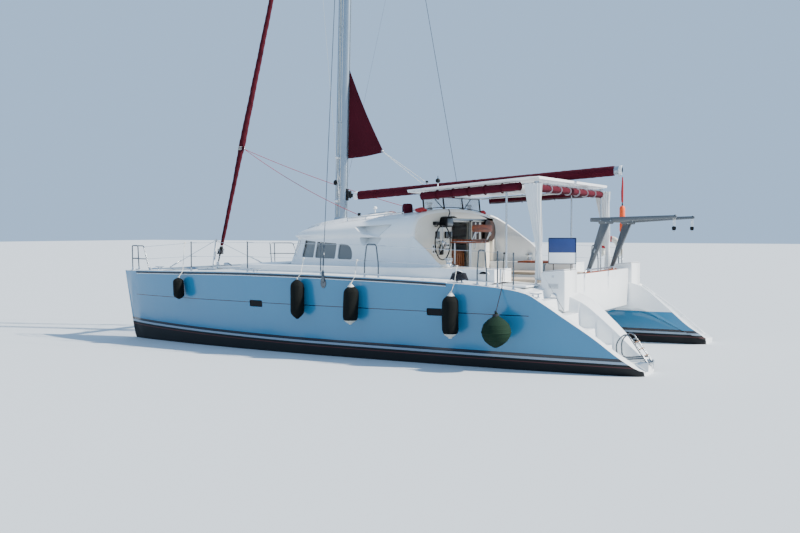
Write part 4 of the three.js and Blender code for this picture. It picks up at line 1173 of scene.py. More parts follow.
def face_plates():
    """The roof's section where it ends, pulled in along its own normals and cut into plates: the band over
    the door, the port and the starboard side, and the foot of the port side."""
    nose, half, z_nose, z_aft = through(np.linspace(0.05, 7, 60), LEVEL_TABLE).T
    z = z_nose + (z_aft - z_nose) * (nose - ARCH_X) / (nose - ROOF_AFT)
    line = np.stack([half, z], 1)
    slope = np.gradient(line, axis=0)
    line = (
        line
        + np.stack([-slope[:, 1], slope[:, 0]], 1) / np.linalg.norm(slope, axis=1)[:, None] * FACE_INSET
    )
    port = line[(line[:, 1] > FACE_FOOT + 0.02) & (line[:, 0] > 0.01)]
    section = np.vstack([port, port[::-1] * [-1, 1]])
    top_at = lambda y: float(np.interp(y, section[::-1, 0], section[::-1, 1]))
    low, high = DOOR_RECESS["y"]
    between = lambda y0, y1: section[(section[:, 0] > y0 + 0.004) & (section[:, 0] < y1 - 0.004)]
    band = np.vstack(
        [
            [(high, top_at(high))], between(low, high),
            [(low, top_at(low)), (low, DOOR_RECESS["top"]), (high, DOOR_RECESS["top"])]
        ]
    )
    left = np.vstack(
        [
            section[section[:, 0] > high + 0.004],
            [(high, top_at(high)), (high, FACE_FOOT), (port[0, 0], FACE_FOOT)]
        ]
    )
    right = np.vstack(
        [
            [(low, top_at(low))], section[section[:, 0] < low - 0.004],
            [(-port[0, 0], FACE_FOOT), (low, FACE_FOOT)]
        ]
    )
    foot = np.array([(high, SOLE_FOOT), (1.74, SOLE_FOOT), (1.74, FACE_FOOT), (high, FACE_FOOT)])
    return [band, left, right, foot]


piece(
    "saloon_aft_face", sum(slab(p, ARCH_X, -1.061, 0.0008, "x", steps=2) for p in face_plates()),
    finish=cream, crease=40
)

# %% [markdown]
# Flat mouldings such as the bridgedeck, the bulkhead and the lids already have their true size in the model.
# What they lack is the small round that a mould always leaves along an edge. So a copy of each is merged,
# its flat faces are joined, and every sharp edge is bevelled.

# %% Mouldings with rounded edges
FLAT_UNDER, BEVEL_FROM, CREASE = math.radians(1.5), math.radians(25), math.radians(30)


def moulded(node, finish, edge=0.012, steps=3):
    """A copy of a flat-faced piece with its sharp edges rounded, standing for the piece itself."""
    mesh = frame["nodes"][node].data.copy()
    mesh.materials.clear()
    mesh.materials.append(finish.material)
    soft = bmesh.new()
    soft.from_mesh(mesh)
    bmesh.ops.remove_doubles(soft, verts=soft.verts, dist=DOUBLES)
    bmesh.ops.dissolve_limit(soft, angle_limit=FLAT_UNDER, verts=soft.verts, edges=soft.edges)
    sharp = [e for e in soft.edges if len(e.link_faces) == 2 and e.calc_face_angle(0) > BEVEL_FROM]
    bmesh.ops.bevel(
        soft, geom=sharp, offset=edge, segments=steps, profile=0.5, affect="EDGES", clamp_overlap=True
    )
    bmesh.ops.recalc_face_normals(soft, faces=soft.faces)
    soft.to_mesh(mesh)
    soft.free()
    for face in mesh.polygons:
        face.material_index = 0
    made = bpy.data.objects.new(f"{node}_moulding", mesh)
    bpy.context.scene.collection.objects.link(made)
    made.data.shade_smooth()
    made.data.set_sharp_from_angle(angle=CREASE)
    body = frame["nodes"][node]["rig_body"]
    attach(made, body)
    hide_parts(node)
    print(f"{made.name}: {len(mesh.polygons)} faces")
    return made


moulded("bridgedeck", white, 0.022)
moulded("raised_deck", white, 0.028)
moulded("saloon_bulkhead", cream, 0.010, 2)
moulded("centre_walkway", white, 0.02)
moulded("hard_top", white, 0.018)
for side in ("port", "starboard"):
    moulded(f"{side}_engine_hatch", white, 0.008)
    moulded(f"{side}_bow_hatch", white, 0.008)
# %% [markdown]
# A rubber strip runs along each gunwale with a fine white line under it, a painted highlight where the sun
# catches the edge below the strip, and a low white toe rail stands on the deck's edge above. All three are
# profiles carried along lines read off the hull's own table.

# %% Gunwale strips and hull windows
STRIP = {"from": 5.30, "to": -2.45, "high": 0.036, "deep": 0.020}


def gunwale_line(x, drop, out):
    """Points on the topsides a given drop below the deck edge and a little way out."""
    z = lines_at(x)[:, 7] - drop
    return np.stack([x, side_y(x, z) + out, z], 1)


def both_sides(name, parts, **more):
    """The same piece on port and, mirrored, on starboard."""
    for side, mine in (("port", lambda s: s), ("starboard", Skin.mirrored)):
        fill = {k: v.replace("SIDE", side) if isinstance(v, str) else v for k, v in more.items()}
        piece(f"{side}_{name}", [(f, mine(s)) for f, s in parts], **fill)


run = np.linspace(STRIP["from"], STRIP["to"], 130)
half_round = circle(1.0, 10) * [STRIP["deep"] / 2, STRIP["high"] / 2]
strip = carried(gunwale_line(run, 0.030, 0.004), half_round, up=(0, 1, 0))
# The fine white line below the strip is a painted highlight, not a band of white gelcoat
painted_highlight_line = carried(gunwale_line(run, 0.056, 0.001), circle(1.0, 6) * [0.003, 0.006], up=(0, 1, 0))
toe = carried(
    gunwale_line(run, -0.004, -0.020),
    rounded([(-0.016, -0.012), (0.016, -0.012), (0.010, 0.014), (-0.010, 0.014)], 0.008, 3),
    up=(0, 1, 0)
)
both_sides("gunwale_strip", [(rubber, strip), (white, painted_highlight_line), (white, toe)])


def hull_pane(x0, x1, z0, z1):
    """Dark acrylic bent to the side: a thin shell on the floor of a window's seat, its front edge eased."""
    shares = [0.001, 0.5, 0.9, 0.975, 0.99, 0.99, 0.001]
    depths = [0.009, 0.009, 0.009, 0.0085, 0.006, -0.002, -0.002]
    return grid(
        on_side(rectangle(x0, x1, z0, z1, 0.03), shares, [d - WINDOW_DEPTH for d in depths]), ring=True
    )


both_sides("hull_windows", [(black_glass, sum(hull_pane(*w) for w in HULL_WINDOWS))])

# %% [markdown]
# Walking surfaces are panels of non-skid a few millimetres proud of the smooth gelcoat, with plain margins
# between them. Each is the deck's own surface lifted by 3 mm between two edges, with its border let down.

# %% Non-skid panels and treads
def deck_panel(x0, x1, inner, outer, lift=0.003):
    """Deck surface between two y edges, raised by lift except along its border."""
    xs, t = np.meshgrid(np.linspace(x0, x1, 40), np.linspace(0, 1, 14), indexing="ij")
    ys = inner(xs) + (outer(xs) - inner(xs)) * t
    edge = np.minimum(
        np.minimum(xs - min(x0, x1), max(x0, x1) - xs), np.minimum(ys - inner(xs), outer(xs) - ys)
    )
    z = deck_z(xs, ys) - 0.004 + (lift + 0.004) * rise(edge, 0, 0.012)
    return grid(np.stack([xs, ys, z], -1))


SIDE_PANELS = [(1.55, 0.62), (0.48, -0.45), (-0.58, -1.50), (-1.62, -2.30), (-2.42, -3.02)]
FORE_PANELS = [(3.96, 3.02), (5.12, 4.66)]
raised_edge = lambda x: through(
    x, [(-3.05, 2.53), (-2.2, 2.56), (-1.0, 2.68), (1.0, 2.69), (2.1, 2.64)]
)[..., 0]
deck_edge = lambda x: lines_at(x)[..., 5]
inner_edge = lambda x: lines_at(x)[..., 4]
side_decks = sum(
    deck_panel(a, b, lambda x: raised_edge(x) + 0.07, lambda x: deck_edge(x) - 0.13)
    for a, b in SIDE_PANELS
)
foredecks = sum(
    deck_panel(a, b, lambda x: inner_edge(x) + 0.07, lambda x: deck_edge(x) - 0.10)
    for a, b in FORE_PANELS
)
treads = []
for (riser, level), (following, _) in zip(STEPS, STEPS[1:] + [(-5.62, 0)]):
    mid = (riser + following) / 2
    inside, outside = through(mid, SCOOP)
    plate = rectangle(following + 0.05, riser - 0.05, inside + 0.11, outside - 0.11, 0.03)
    treads.append(slab(plate, level - 0.004, level + 0.004, 0.003))
both_sides("nonskid", [(nonskid, side_decks + foredecks + sum(treads))])

# %% [markdown]
# Small things tell the size of a boat. Deck hatches of smoked acrylic in alloy rims, cleats with a coil of
# rope, fairleads and the coaming's air intakes are all turned, swept or cut from their profiles.

# %% Deck gear on the hulls
def cleat(x, y, z, size=0.26, turn=0.0):
    """A horn cleat: a bar that thins and rises to its tips, on two short legs over a base plate."""
    s = np.linspace(-1, 1, 21)
    bar = np.stack([size / 2 * s, 0 * s, 0.058 + 0.016 * s**2], 1)
    made = carried(bar, circle(0.013, 10), sizes=np.sqrt(np.clip(1.06 - s**2, 0.03, 1)) * 0.9 + 0.12)
    for a in (-0.045, 0.045):
        made += lathe(
            [(0, 0.004), (0.020, 0.004), (0.014, 0.02), (0.012, 0.055), (0, 0.058)], (a, 0, 0), sides=12
        )
    made += slab(rectangle(-0.075, 0.075, -0.024, 0.024, 0.02), 0, 0.008, 0.003)
    return made.turned((0, 0, 1), turn).moved(x, y, z)


def deck_hatch(x, y, z, long, wide, tilt=(0, 1, 0), degrees=0.0):
    """An opening light: an alloy rim with a round edge and a smoked lens crowned by 6 mm."""
    rim = slab(rectangle(-long / 2, long / 2, -wide / 2, wide / 2, 0.06), -0.01, 0.022, 0.009)
    lens = slab(
        rectangle(-long / 2 + 0.035, long / 2 - 0.035, -wide / 2 + 0.035, wide / 2 - 0.035, 0.045), 0,
        0.026, 0.004, crown=0.006
    )
    knob = lathe(
        [(0, 0.026), (0.016, 0.026), (0.016, 0.034), (0, 0.036)], (long / 2 - 0.07, 0, 0), sides=14
    )
    place = lambda s: s.turned(tilt, degrees).moved(x, y, z)
    return [(spar, place(rim)), (tinted, place(lens)), (black_plastic, place(knob))]


deck_at = lambda x, y: float(deck_z(np.array(x), y))
gear = (
    cleat(4.78, 2.55, deck_at(4.78, 2.55)) + cleat(-2.62, 3.07, deck_at(-2.62, 3.07), 0.30, 3)
    + cleat(1.78, 3.09, deck_at(1.78, 3.09), 0.26, 2)
)
gear += cleat(-4.05, 3.14, deck_at(-4.05, 3.14), 0.22, 5)
for x in (5.45, -2.95):
    y = 2.52 if x > 0 else 3.10
    gear += slab(
        rectangle(x - 0.06, x + 0.06, y - 0.022, y + 0.022, 0.02), deck_at(x, y), deck_at(x, y) + 0.016,
        0.005
    )
both_sides("deck_gear", [(steel, gear)])
both_sides("hull_deck_hatches", deck_hatch(3.35, 2.46, deck_at(3.35, 2.46), 0.50, 0.50))
# Shell-shaped air intakes on the cockpit coaming's outer face; each opening is a black plate of painted shade
# for the dark inside of the intake
shell_turn = np.linspace(0, np.pi, 15)
shell_line = np.stack([0.105 * np.cos(shell_turn), 0.062 * np.sin(shell_turn)], 1)
intake = lambda x: slab(rounded(shell_line + [x, 1.575], 0.01), 2.535, 2.585, 0.018, "y", steps=4)
painted_shade_mouth = lambda x: slab(rounded(shell_line * 0.72 + [x, 1.582], 0.01), 2.58, 2.588, 0.002, "y")
both_sides(
    "coaming_intakes",
    [(white, intake(-2.36) + intake(-2.86)), (black_plastic, painted_shade_mouth(-2.36) + painted_shade_mouth(-2.86))]
)

ROPE_TURNS = 5
turns = np.linspace(0, 2 * np.pi * ROPE_TURNS, 150)
heap = np.stack([-2.62 + 0.17 * np.cos(turns) * (1 - 0.03 * turns / np.pi), 3.07 + 0.055 * np.sin(turns),
                 deck_at(-2.62, 3.07) + 0.05 + 0.012 * turns / np.pi + 0.012 * np.sin(3 * turns)], 1)
piece("port_cleat_rope", carried(heap, circle(0.0115, 8)), finish=black_rope)

# %% [markdown]
# The filler caps and the quarter fitting are small turned parts. The lids get their hinges, a flush lift
# ring and a patch of non-skid, so that they read as hatches.

# %% Lid hardware
def ring_pull(x, y, z):
    """A flush lift ring: a round cup plate with a thin torus lying in it."""
    cup = lathe(
        [(0, 0.001), (0.030, 0.001), (0.034, 0.004), (0.040, 0.004), (0.041, 0), (0, 0)], (x, y, z),
        sides=24
    )
    a = np.linspace(0, 2 * np.pi, 25)[:-1]
    loop = np.stack([x + 0.022 * np.cos(a), y + 0.022 * np.sin(a), np.full(24, z + 0.006)], 1)
    b = np.linspace(0, 2 * np.pi, 9)[:-1]
    out = (loop - [x, y, z + 0.006]) / 0.022
    rings = (
        loop[:, None]
        + 0.003 * (np.cos(b)[None, :, None] * out[:, None] + np.sin(b)[None, :, None] * [0, 0, 1])
    )
    return cup + grid(np.concatenate([rings, rings[:1]]), ring=True)


for hatch, body, lid_top in ((ENGINE_HATCH, "engine_hatch", 1.411), (BOW_HATCH, "bow_hatch", 1.498)):
    (x0, x1), (y0, y1) = hatch["x"], hatch["y"]
    aft_pull = ring_pull(x0 + 0.07, (y0 + y1) / 2, lid_top)
    leaves = sum(
        slab(
            rectangle(x1 - 0.075, x1 - 0.012, y - 0.022, y + 0.022, 0.01), lid_top - 0.002,
            lid_top + 0.004, 0.002
        )
        for y in (y0 + 0.12, y1 - 0.12)
    )
    patch = slab(
        rectangle(x0 + 0.05, x1 - 0.09, y0 + 0.05, y1 - 0.05, 0.04), lid_top - 0.002, lid_top + 0.003,
        0.002
    )
    both_sides(f"{body}_hardware", [(steel, aft_pull + leaves), (nonskid, patch)], body=f"SIDE_{body}_body")
caps = sum(
    lathe(
        [(0, 0), (0.038, 0), (0.038, 0.006), (0.030, 0.009), (0, 0.010)], (x, 2.98, deck_at(x, 2.98)),
        sides=24
    )
    for x in (-1.85, -2.02)
)
both_sides("filler_caps", [(steel, caps)])
quarter = lathe(
    [(0, 0.012), (0.030, 0.014), (0.052, 0.010), (0.060, 0.0), (0.060, -0.02), (0, -0.02)],
    (-4.12, 2.455, 1.22), "y", 28
)
both_sides("quarter_fitting", [(steel, quarter)])
# %% [markdown]
# The crown carries what a crew works with: winches, two banks of rope clutches, bags for the rope tails,
# handrails and three opening lights. Each stands on the roof's height at its place, found from the levels.

# %% Roof gear
def roof_z(x, y):
    """Height of the coachroof's surface at a place, with the raised plate where it lies."""
    nose, half, z_nose, z_aft = through(np.linspace(0.5, 7, 140), LEVEL_TABLE).T
    z = z_nose + (z_aft - z_nose) * (nose - x) / (nose - ROOF_AFT)
    reach = np.where(
        x > nose - NOSE_LENGTH,
        half * np.sqrt(np.clip(1 - ((x - nose + NOSE_LENGTH) / NOSE_LENGTH) ** 2, 0, 1)), half
    )
    place = float(np.interp(-abs(y), -reach, z))
    return place + PLATE_HIGH * float(inside_of(np.array([x, y]), PLATE, 0.016))


def winch(x, y, z, size=1.0):
    """A self-tailing winch: a flared base, a waisted drum with ribs, and two jaws under a cap."""
    profile = [
        (0, 0), (0.078, 0), (0.078, 0.012), (0.066, 0.020), (0.062, 0.034), (0.068, 0.042),
        (0.054, 0.052), (0.045, 0.075), (0.045, 0.095), (0.053, 0.115), (0.064, 0.120), (0.064, 0.128),
        (0.052, 0.134), (0.052, 0.140), (0.066, 0.146), (0.066, 0.154), (0.050, 0.162), (0.020, 0.168),
        (0.018, 0.160), (0, 0.158)
    ]
    arm = tube([(0.04, 0, 0.165), (0.085, 0.004, 0.166), (0.088, 0.006, 0.140)], 0.007, 8, 0.01)
    return (lathe(np.array(profile) * size, sides=32) + arm).moved(x, y, z)


def rope_bag(x, y, z, long, turn=0.0):
    """A sagging bag of red rope tails: a lozenge that bulges towards its middle and dips along its top."""
    s = np.linspace(-1, 1, 25)
    line = np.stack([s * long / 2, 0 * s, 0.035 + 0.012 * np.cos(6 * s) * (1 - s**2)], 1)
    a = angles(20)
    profile = np.stack(
        [
            0.07 * np.sign(np.cos(a)) * abs(np.cos(a)) ** 0.8,
            0.042 * np.sin(a) * (1 + 0.08 * np.cos(5 * a))
        ],
        1
    )
    return carried(
        line, profile, sizes=(1 - s**4) ** 0.5 * 0.96 + 0.04, up=(0, 1, 0)
    ).turned((0, 0, 1), turn).moved(x, y, z)


winches = sum(winch(x, y, roof_z(x, y) - 0.006) for x, y in ((-0.62, -1.25), (-0.95, -0.95), (-0.95, 0.95)))
piece("roof_winches", winches, finish=steel)
COVER = [
    (0.02, 0.205), (0.075, 0.202), (0.098, 0.180), (0.106, 0.13), (0.104, 0.06), (0.112, 0.005),
    (0.106, 0.0), (0.09, 0.01)
]
cover = lathe([(0, 0.208)] + COVER + [(0, 0.012)], sides=36)
folds = lambda p: p * np.stack(
    [1 + 0.035 * np.sin(5 * np.arctan2(p[:, 1], p[:, 0])) * (p[:, 2] < 0.17)] * 2 + [np.ones(len(p))], 1
)
winch_cover = piece(
    "winch_cover", cover.reshaped(folds).moved(-0.62, 1.27, roof_z(-0.62, 1.27) - 0.02), finish=burgundy
)
for name, bag in (("port_rope_bag", rope_bag(-1.03, 1.47, roof_z(-1.03, 1.47) + 0.002, 0.34, 84)),
                  ("starboard_rope_bag", rope_bag(-1.02, -1.50, roof_z(-1.02, -1.50) + 0.002, 0.26, 96))):
    piece(name, bag, finish=red_rope)


def clutch(x, y, z):
    """A rope clutch: a wedge-shaped body with its lever laid flat."""
    side = [(-0.075, 0), (0.075, 0), (0.072, 0.022), (0.030, 0.052), (-0.055, 0.056), (-0.076, 0.030)]
    body = slab(rounded(side, 0.012), -0.017, 0.017, 0.004, "y")
    lever = tube([(0.01, 0, 0.055), (-0.045, 0, 0.066), (-0.095, 0, 0.058)], 0.009, 8, 0.02)
    return [(black_plastic, body.moved(x, y, z)), (steel, lever.moved(x, y, z))]


CLUTCHES = [(-0.42, y) for y in (0.82, 0.87, 0.92, 0.97)] + [(-0.42, y) for y in (-0.82, -0.87, -0.92)]
piece("rope_clutches", [pair for x, y in CLUTCHES for pair in clutch(x, y, roof_z(x, y) - 0.004)])


def led_rope(x0, y0, x1, y1, lift):
    """A line lying along the roof between two places, held a little above it."""
    s = np.linspace(0, 1, 14)[:, None]
    line = np.array([x0, y0]) * (1 - s) + np.array([x1, y1]) * s
    z = [roof_z(*p) + lift for p in line]
    return carried(np.column_stack([line, z]), circle(0.0055, 8))


piece("roof_lines", [
    (red_rope, led_rope(1.50, 0.10, -0.36, 0.82, 0.022) + led_rope(1.52, 0.06, -0.36, 0.92, 0.020)),
    (white_rope, led_rope(1.51, 0.14, -0.36, 0.87, 0.024) + led_rope(1.50, -0.10, -0.36, -0.82, 0.022)),
    (black_rope, led_rope(1.50, -0.14, -0.36, -0.92, 0.022) + led_rope(-0.48, 0.82, -0.93, 0.90, 0.03)),
])


def handrail(x0, x1, y, high=0.055, gap=0.55):
    """A bar that stands off the roof on feet, its ends turned down into it."""
    x = np.linspace(x0, x1, 24)
    z = np.array([roof_z(a, y) for a in x]) + high
    line = np.column_stack([x, np.full(24, y), z])
    down = lambda p: [p[0], p[1], p[2] - high - 0.01]
    bar = tube(np.vstack([down(line[0]), line, down(line[-1])]), 0.0125, 10)
    count = max(int((x0 - x1) / gap), 1)
    feet = sum(lathe([(0.011, -0.01), (0.011, high)], (a, y, roof_z(a, y)), sides=10)
               + lathe([(0, 0.006), (0.024, 0.005), (0.026, -0.01)], (a, y, roof_z(a, y)), sides=16)
               for a in np.linspace(x0, x1, count + 2)[1:-1])
    return bar + feet


both_sides("roof_handrail", [(steel, handrail(0.55, -0.75, 1.66))])
roof_lights = []
for x, y in ((0.35, 0.62), (0.35, -0.62), (-0.25, 0.0)):
    slope = math.degrees(math.atan2(roof_z(x - 0.2, y) - roof_z(x + 0.2, y), 0.4))
    lean = math.degrees(math.atan2(roof_z(x, y + 0.15) - roof_z(x, y - 0.15), 0.3))
    parts = deck_hatch(0, 0, 0.004, 0.46, 0.46, (0, 1, 0), slope)
    roof_lights += [(f, s.turned((1, 0, 0), lean).moved(x, y, roof_z(x, y))) for f, s in parts]
piece("roof_lights", roof_lights)
step_z = roof_z(1.72, 0) - 0.01
MAST_FOOT = (1.765, 0.0)
collar = [
    (0, 0.0), (0.235, 0.0), (0.235, 0.012), (0.20, 0.020), (0.17, 0.030), (0.155, 0.075), (0.13, 0.085),
    (0, 0.085)
]
piece(
    "mast_step",
    (lathe(collar, sides=40).reshaped(lambda p: p * [1.0, 0.72, 1.0])).moved(*MAST_FOOT, step_z),
    finish=spar
)
piece(
    "roof_antenna",
    [
        (
            white,
            lathe(
                [(0, 0.0), (0.030, 0.0), (0.030, 0.01), (0.012, 0.02), (0.011, 0.14), (0, 0.14)],
                (0.70, 0.30, roof_z(0.70, 0.30)), sides=16
            )
        ),
        (
            white,
            lathe(
                [
                    (0, 0.135), (0.038, 0.138), (0.045, 0.155), (0.040, 0.180), (0.022, 0.196),
                    (0, 0.200)
                ],
                (0.70, 0.30, roof_z(0.70, 0.30)), sides=24
            )
        ),
    ]
)
print("roof height at the mast", round(step_z, 3))
# %% [markdown]
# The aft face carries the helm: four dark instruments and a compass, a plotter in its pod above them,
# switches and the engine control. They are small plates with rounded edges, some with a plate of glass.

# %% Instruments on the aft face
FACE = ARCH_X


def panel(y0, y1, z0, z1, deep, corner=0.012, edge=0.006, back=0.004):
    """A plate standing off the aft face by deep, its corners and edges rounded."""
    return slab(rectangle(y0, y1, z0, z1, corner), FACE - deep, FACE + back, edge, "x")


def dial(y, z, radius, deep):
    return lathe(
        [(0, -deep), (radius * 0.9, -deep), (radius, -deep + 0.004), (radius, 0), (0, 0)], (FACE, y, z),
        "x", 28
    )


INSTRUMENTS = [
    (0.935, 1.085, 2.185, 2.335), (0.585, 0.665, 2.19, 2.33), (0.475, 0.565, 2.19, 2.33),
    (0.365, 0.455, 2.19, 2.33)
]
bodies = sum(panel(*i, 0.030) for i in INSTRUMENTS)
glasses = sum(
    panel(y0 + 0.012, y1 - 0.012, z0 + 0.02, z1 - 0.012, 0.033, 0.006, 0.002)
    for y0, y1, z0, z1 in INSTRUMENTS
)
compass = dial(0.80, 2.06, 0.062, 0.05)
dome = lathe(
    [(0, -0.088), (0.022, -0.084), (0.040, -0.072), (0.050, -0.05), (0, -0.05)], (FACE, 0.80, 2.06),
    "x", 28
)
piece("helm_instruments", [(black_plastic, bodies + compass), (dials, glasses + dome)])

SWITCHES = (
    [(y, z) for y in (1.19, 1.10) for z in (1.93, 2.03)]
    + [(y, z) for y in (0.66, 0.585, 0.51) for z in (1.97, 2.05)]
)
switch_plates = panel(1.055, 1.235, 1.885, 2.075, 0.008) + panel(0.47, 0.70, 1.93, 2.09, 0.008)
buttons = sum(dial(y, z, 0.020, 0.020) for y, z in SWITCHES)
piece("helm_switches", [(white, switch_plates), (black_plastic, buttons)])

POD = [(-0.17, -0.07), (0.16, -0.09), (0.19, 0.02), (0.12, 0.13), (-0.10, 0.14), (-0.19, 0.04)]
pod = slab(
    rounded([(y + 0.74, z + 2.50) for y, z in POD], 0.05), FACE - 0.16, FACE + 0.004, 0.03, "x", steps=5
)
screen = slab(rectangle(0.62, 0.87, 2.45, 2.60, 0.015), FACE - 0.166, FACE - 0.14, 0.004, "x")
hood = carried([(FACE - 0.20, 0.60, 2.61), (FACE - 0.205, 0.74, 2.635), (FACE - 0.20, 0.89, 2.61)],
               rectangle(-0.05, 0.05, -0.006, 0.006, 0.005, 3), up=(1, 0, 0))
vhf = slab(rectangle(1.02, 1.20, 2.46, 2.53, 0.015), FACE - 0.07, FACE + 0.004, 0.01, "x")
bracket = tube([(FACE, 1.12, 2.44), (FACE - 0.06, 1.12, 2.43), (FACE - 0.07, 1.12, 2.47)], 0.010, 8, 0.02)
cable = tube(
    [
        (FACE - 0.01, 0.50, 2.78), (FACE - 0.05, 0.52, 2.72), (FACE - 0.06, 0.60, 2.66),
        (FACE - 0.10, 0.68, 2.62)
    ],
    0.013, 8, 0.05
)
piece("plotter_pod", [(black_plastic, pod + hood + vhf + bracket + cable), (dials, screen)])

control = slab(
    rounded([(0.20, 1.86), (0.32, 1.86), (0.33, 2.02), (0.19, 2.02)], 0.03), FACE - 0.05, FACE + 0.004,
    0.012, "x"
)
levers = sum(
    tube(
        [
            (FACE - 0.04, y, 1.94), (FACE - 0.060, y + s * 0.02, 1.97),
            (FACE - 0.085, y + s * 0.02, 2.07)
        ],
        0.007, 8, 0.03
    )
    + lathe(
        [(0, -0.03), (0.014, -0.022), (0.019, 0), (0.014, 0.022), (0, 0.03)],
        (FACE - 0.085, y + s * 0.02, 2.09), sides=16
    )
    for y, s in ((0.205, -1), (0.315, 1))
)
control, levers = (s.moved(y=0.60) for s in (control, levers))
piece("engine_control", [(black_plastic, control), (steel, levers)])

# %% [markdown]
# Behind the face is the doorway with a dark frame, the window with its round outer end, and the saloon.
# Only its first metre shows, so the sole, the galley front with its louvres and a settee are enough.

# %% Doorway, window and saloon
FRAME_X = -1.064
open_frame = []
for y0, y1, z0, z1 in (
    (0.215, 0.335, 1.03, 2.595), (-0.90, -0.715, 1.03, 2.595), (-0.90, 0.335, 2.525, 2.595)
):
    open_frame.append(slab(rectangle(y0, y1, z0, z1, 0.01), FRAME_X - 0.004, FRAME_X + 0.05, 0.004, "x"))
piece("doorway_frame", [(tinted, sum(open_frame))])
ROUND_END = [
    (-1.36, 2.12), (-1.36, 2.575), (-1.60, 2.585), (-1.80, 2.56), (-1.92, 2.46), (-1.955, 2.32),
    (-1.90, 2.19), (-1.78, 2.12)
]
lens = slab(rounded(ROUND_END, 0.09), ARCH_X - 0.006, ARCH_X + 0.02, 0.004, "x")
beyond = part_of(lens, np.array([lens.points[f, 1].max() < -1.0 for f in lens.faces]))
piece("starboard_aft_window", [(smoked, beyond)])
track = slab(rectangle(-1.79, 0.34, 2.578, 2.604, 0.006), -1.10, -1.062, 0.004, "x")
sill_bar = slab(rectangle(-1.74, 0.26, 1.006, 1.028, 0.006), -1.12, -1.055, 0.004, "x")
piece("door_track", track + sill_bar, finish=spar)

DOOR = {"x": (-1.098, -1.0745), "y": (-1.74, -0.77), "z": (1.03, 2.56)}
outline = [(-1.735, 1.034), (-0.775, 1.034), (-0.775, 2.556), (-1.56, 2.556), (-1.735, 2.43)]
leaf = slab(rounded(outline, 0.03), *DOOR["x"], 0.004, "x")
upper = slab(
    rounded(
        [(-1.728, 2.105), (-0.785, 2.105), (-0.785, 2.545), (-1.552, 2.545), (-1.728, 2.425)], 0.03
    ),
    -1.1005, -1.0735, 0.002, "x"
)
bars = sum(
    slab(rectangle(y - half, y + half, 1.10, 2.53, 0.01), -1.104, -1.0730, 0.005, "x")
    for y, half in ((-0.965, 0.030), (-1.20, 0.055))
)
grip = tube(
    [(-1.10, -0.88, 1.95), (-1.135, -0.88, 1.97), (-1.135, -0.88, 2.13), (-1.10, -0.88, 2.15)], 0.009,
    8, 0.02
)
piece(
    "sliding_door_leaf", [(cream, leaf + bars), (smoked, upper), (steel, grip)], body="sliding_door",
    replaces="saloon_door", crease=40
)

sole = slab(rectangle(-1.00, 1.95, -1.72, 1.72, 0.02), 1.001, 1.012, 0.002)
counter = (
    box((-0.92, -0.30), (-0.78, 0.02), (1.012, 1.90), 0.02, 0.008)
    + box((-0.94, -0.28), (-0.80, 0.04), (1.90, 1.93), 0.02, 0.008)
)
louvres = sum(
    slab(
        rectangle(-0.10 - 0.105 * k, -0.035 - 0.105 * k, 1.16, 1.86, 0.006), -0.945, -0.915, 0.004, "x"
    )
    for k in range(7)
)
shelf = (
    box((-0.50, 1.00), (-1.70, -0.90), (1.012, 1.62), 0.03, 0.01)
    + box((-0.4, 1.2), (1.05, 1.70), (1.012, 1.62), 0.03, 0.01)
)
piece("saloon_joinery", [(sole_boards, sole), (joinery, counter + louvres + shelf)])


def cushion(x, y, z, bulge=0.018, seam=0.10):
    """A seat pad: a plate whose top swells towards its middle, with a stitched groove near two edges and
    sides that bulge by a sine."""
    nx, ny, nz = 36, 26, 8
    a, b = np.meshgrid(np.linspace(-1, 1, nx), np.linspace(-1, 1, ny), indexing="ij")
    mid = lambda c: (c[0] + c[1]) / 2
    half = lambda c: (c[1] - c[0]) / 2
    swell = np.sqrt(np.clip((1 - a**4) * (1 - b**4), 0, 1))
    groove = 0.006 * np.exp(-((abs(b) - 1 + seam) / 0.03) ** 2)
    top = np.stack([mid(x) + half(x) * a, mid(y) + half(y) * b, z[1] - bulge + bulge * swell - groove], -1)
    bottom = np.stack([mid(x) + half(x) * a, mid(y) + half(y) * b, z[0] + 0 * a], -1)
    edge = np.concatenate(
        [
            np.stack([i, j], 1)
            for i, j in (
                (np.arange(nx - 1), np.zeros(nx - 1, int)),
                (np.full(ny - 1, nx - 1), np.arange(ny - 1)),
                (np.arange(nx - 1, 0, -1), np.full(nx - 1, ny - 1)),
                (np.zeros(ny - 1, int), np.arange(ny - 1, 0, -1))
            )
        ]
    )
    up, down = top[edge[:, 0], edge[:, 1]], bottom[edge[:, 0], edge[:, 1]]
    t = np.linspace(0, 1, nz)[:, None, None]
    middle = np.array([mid(x), mid(y), 0])
    out = (up - middle) * [1, 1, 0]
    out /= np.linalg.norm(out, axis=1)[:, None]
    wall = down + (up - down) * t + 0.014 * np.sin(np.pi * t) * out
    return grid(top) + grid(bottom) + grid(wall, ring=True)


CUSHIONS = {
    "port_bench_cushion": ((-3.60, -2.20), (1.18, 1.70), (1.402, 1.475)),
    "starboard_bench_cushion": ((-3.60, -1.55), (-1.70, -1.18), (1.402, 1.475)),
    "aft_bench_cushion": ((-4.10, -3.74), (-0.95, 0.95), (1.382, 1.455)),
    "saloon_cushion": ((-0.45, 0.95), (-1.66, -0.95), (1.622, 1.72)),
}
for name, size in CUSHIONS.items():
    piece(name, cushion(*size), finish=upholstery, crease=60)
# %% [markdown]
# The helmsman's wheel is a bound rim on five bent spokes with a hub that is turned from its profile.
# The rim is a ring of round section, a little fuller at each stitch, as a leather cover makes it.

# %% Helm wheel
WHEEL = {"x": -1.29, "y": 1.03, "z": 2.11, "radius": 0.34}
wheel_at = np.array([WHEEL["x"], WHEEL["y"], WHEEL["z"]])


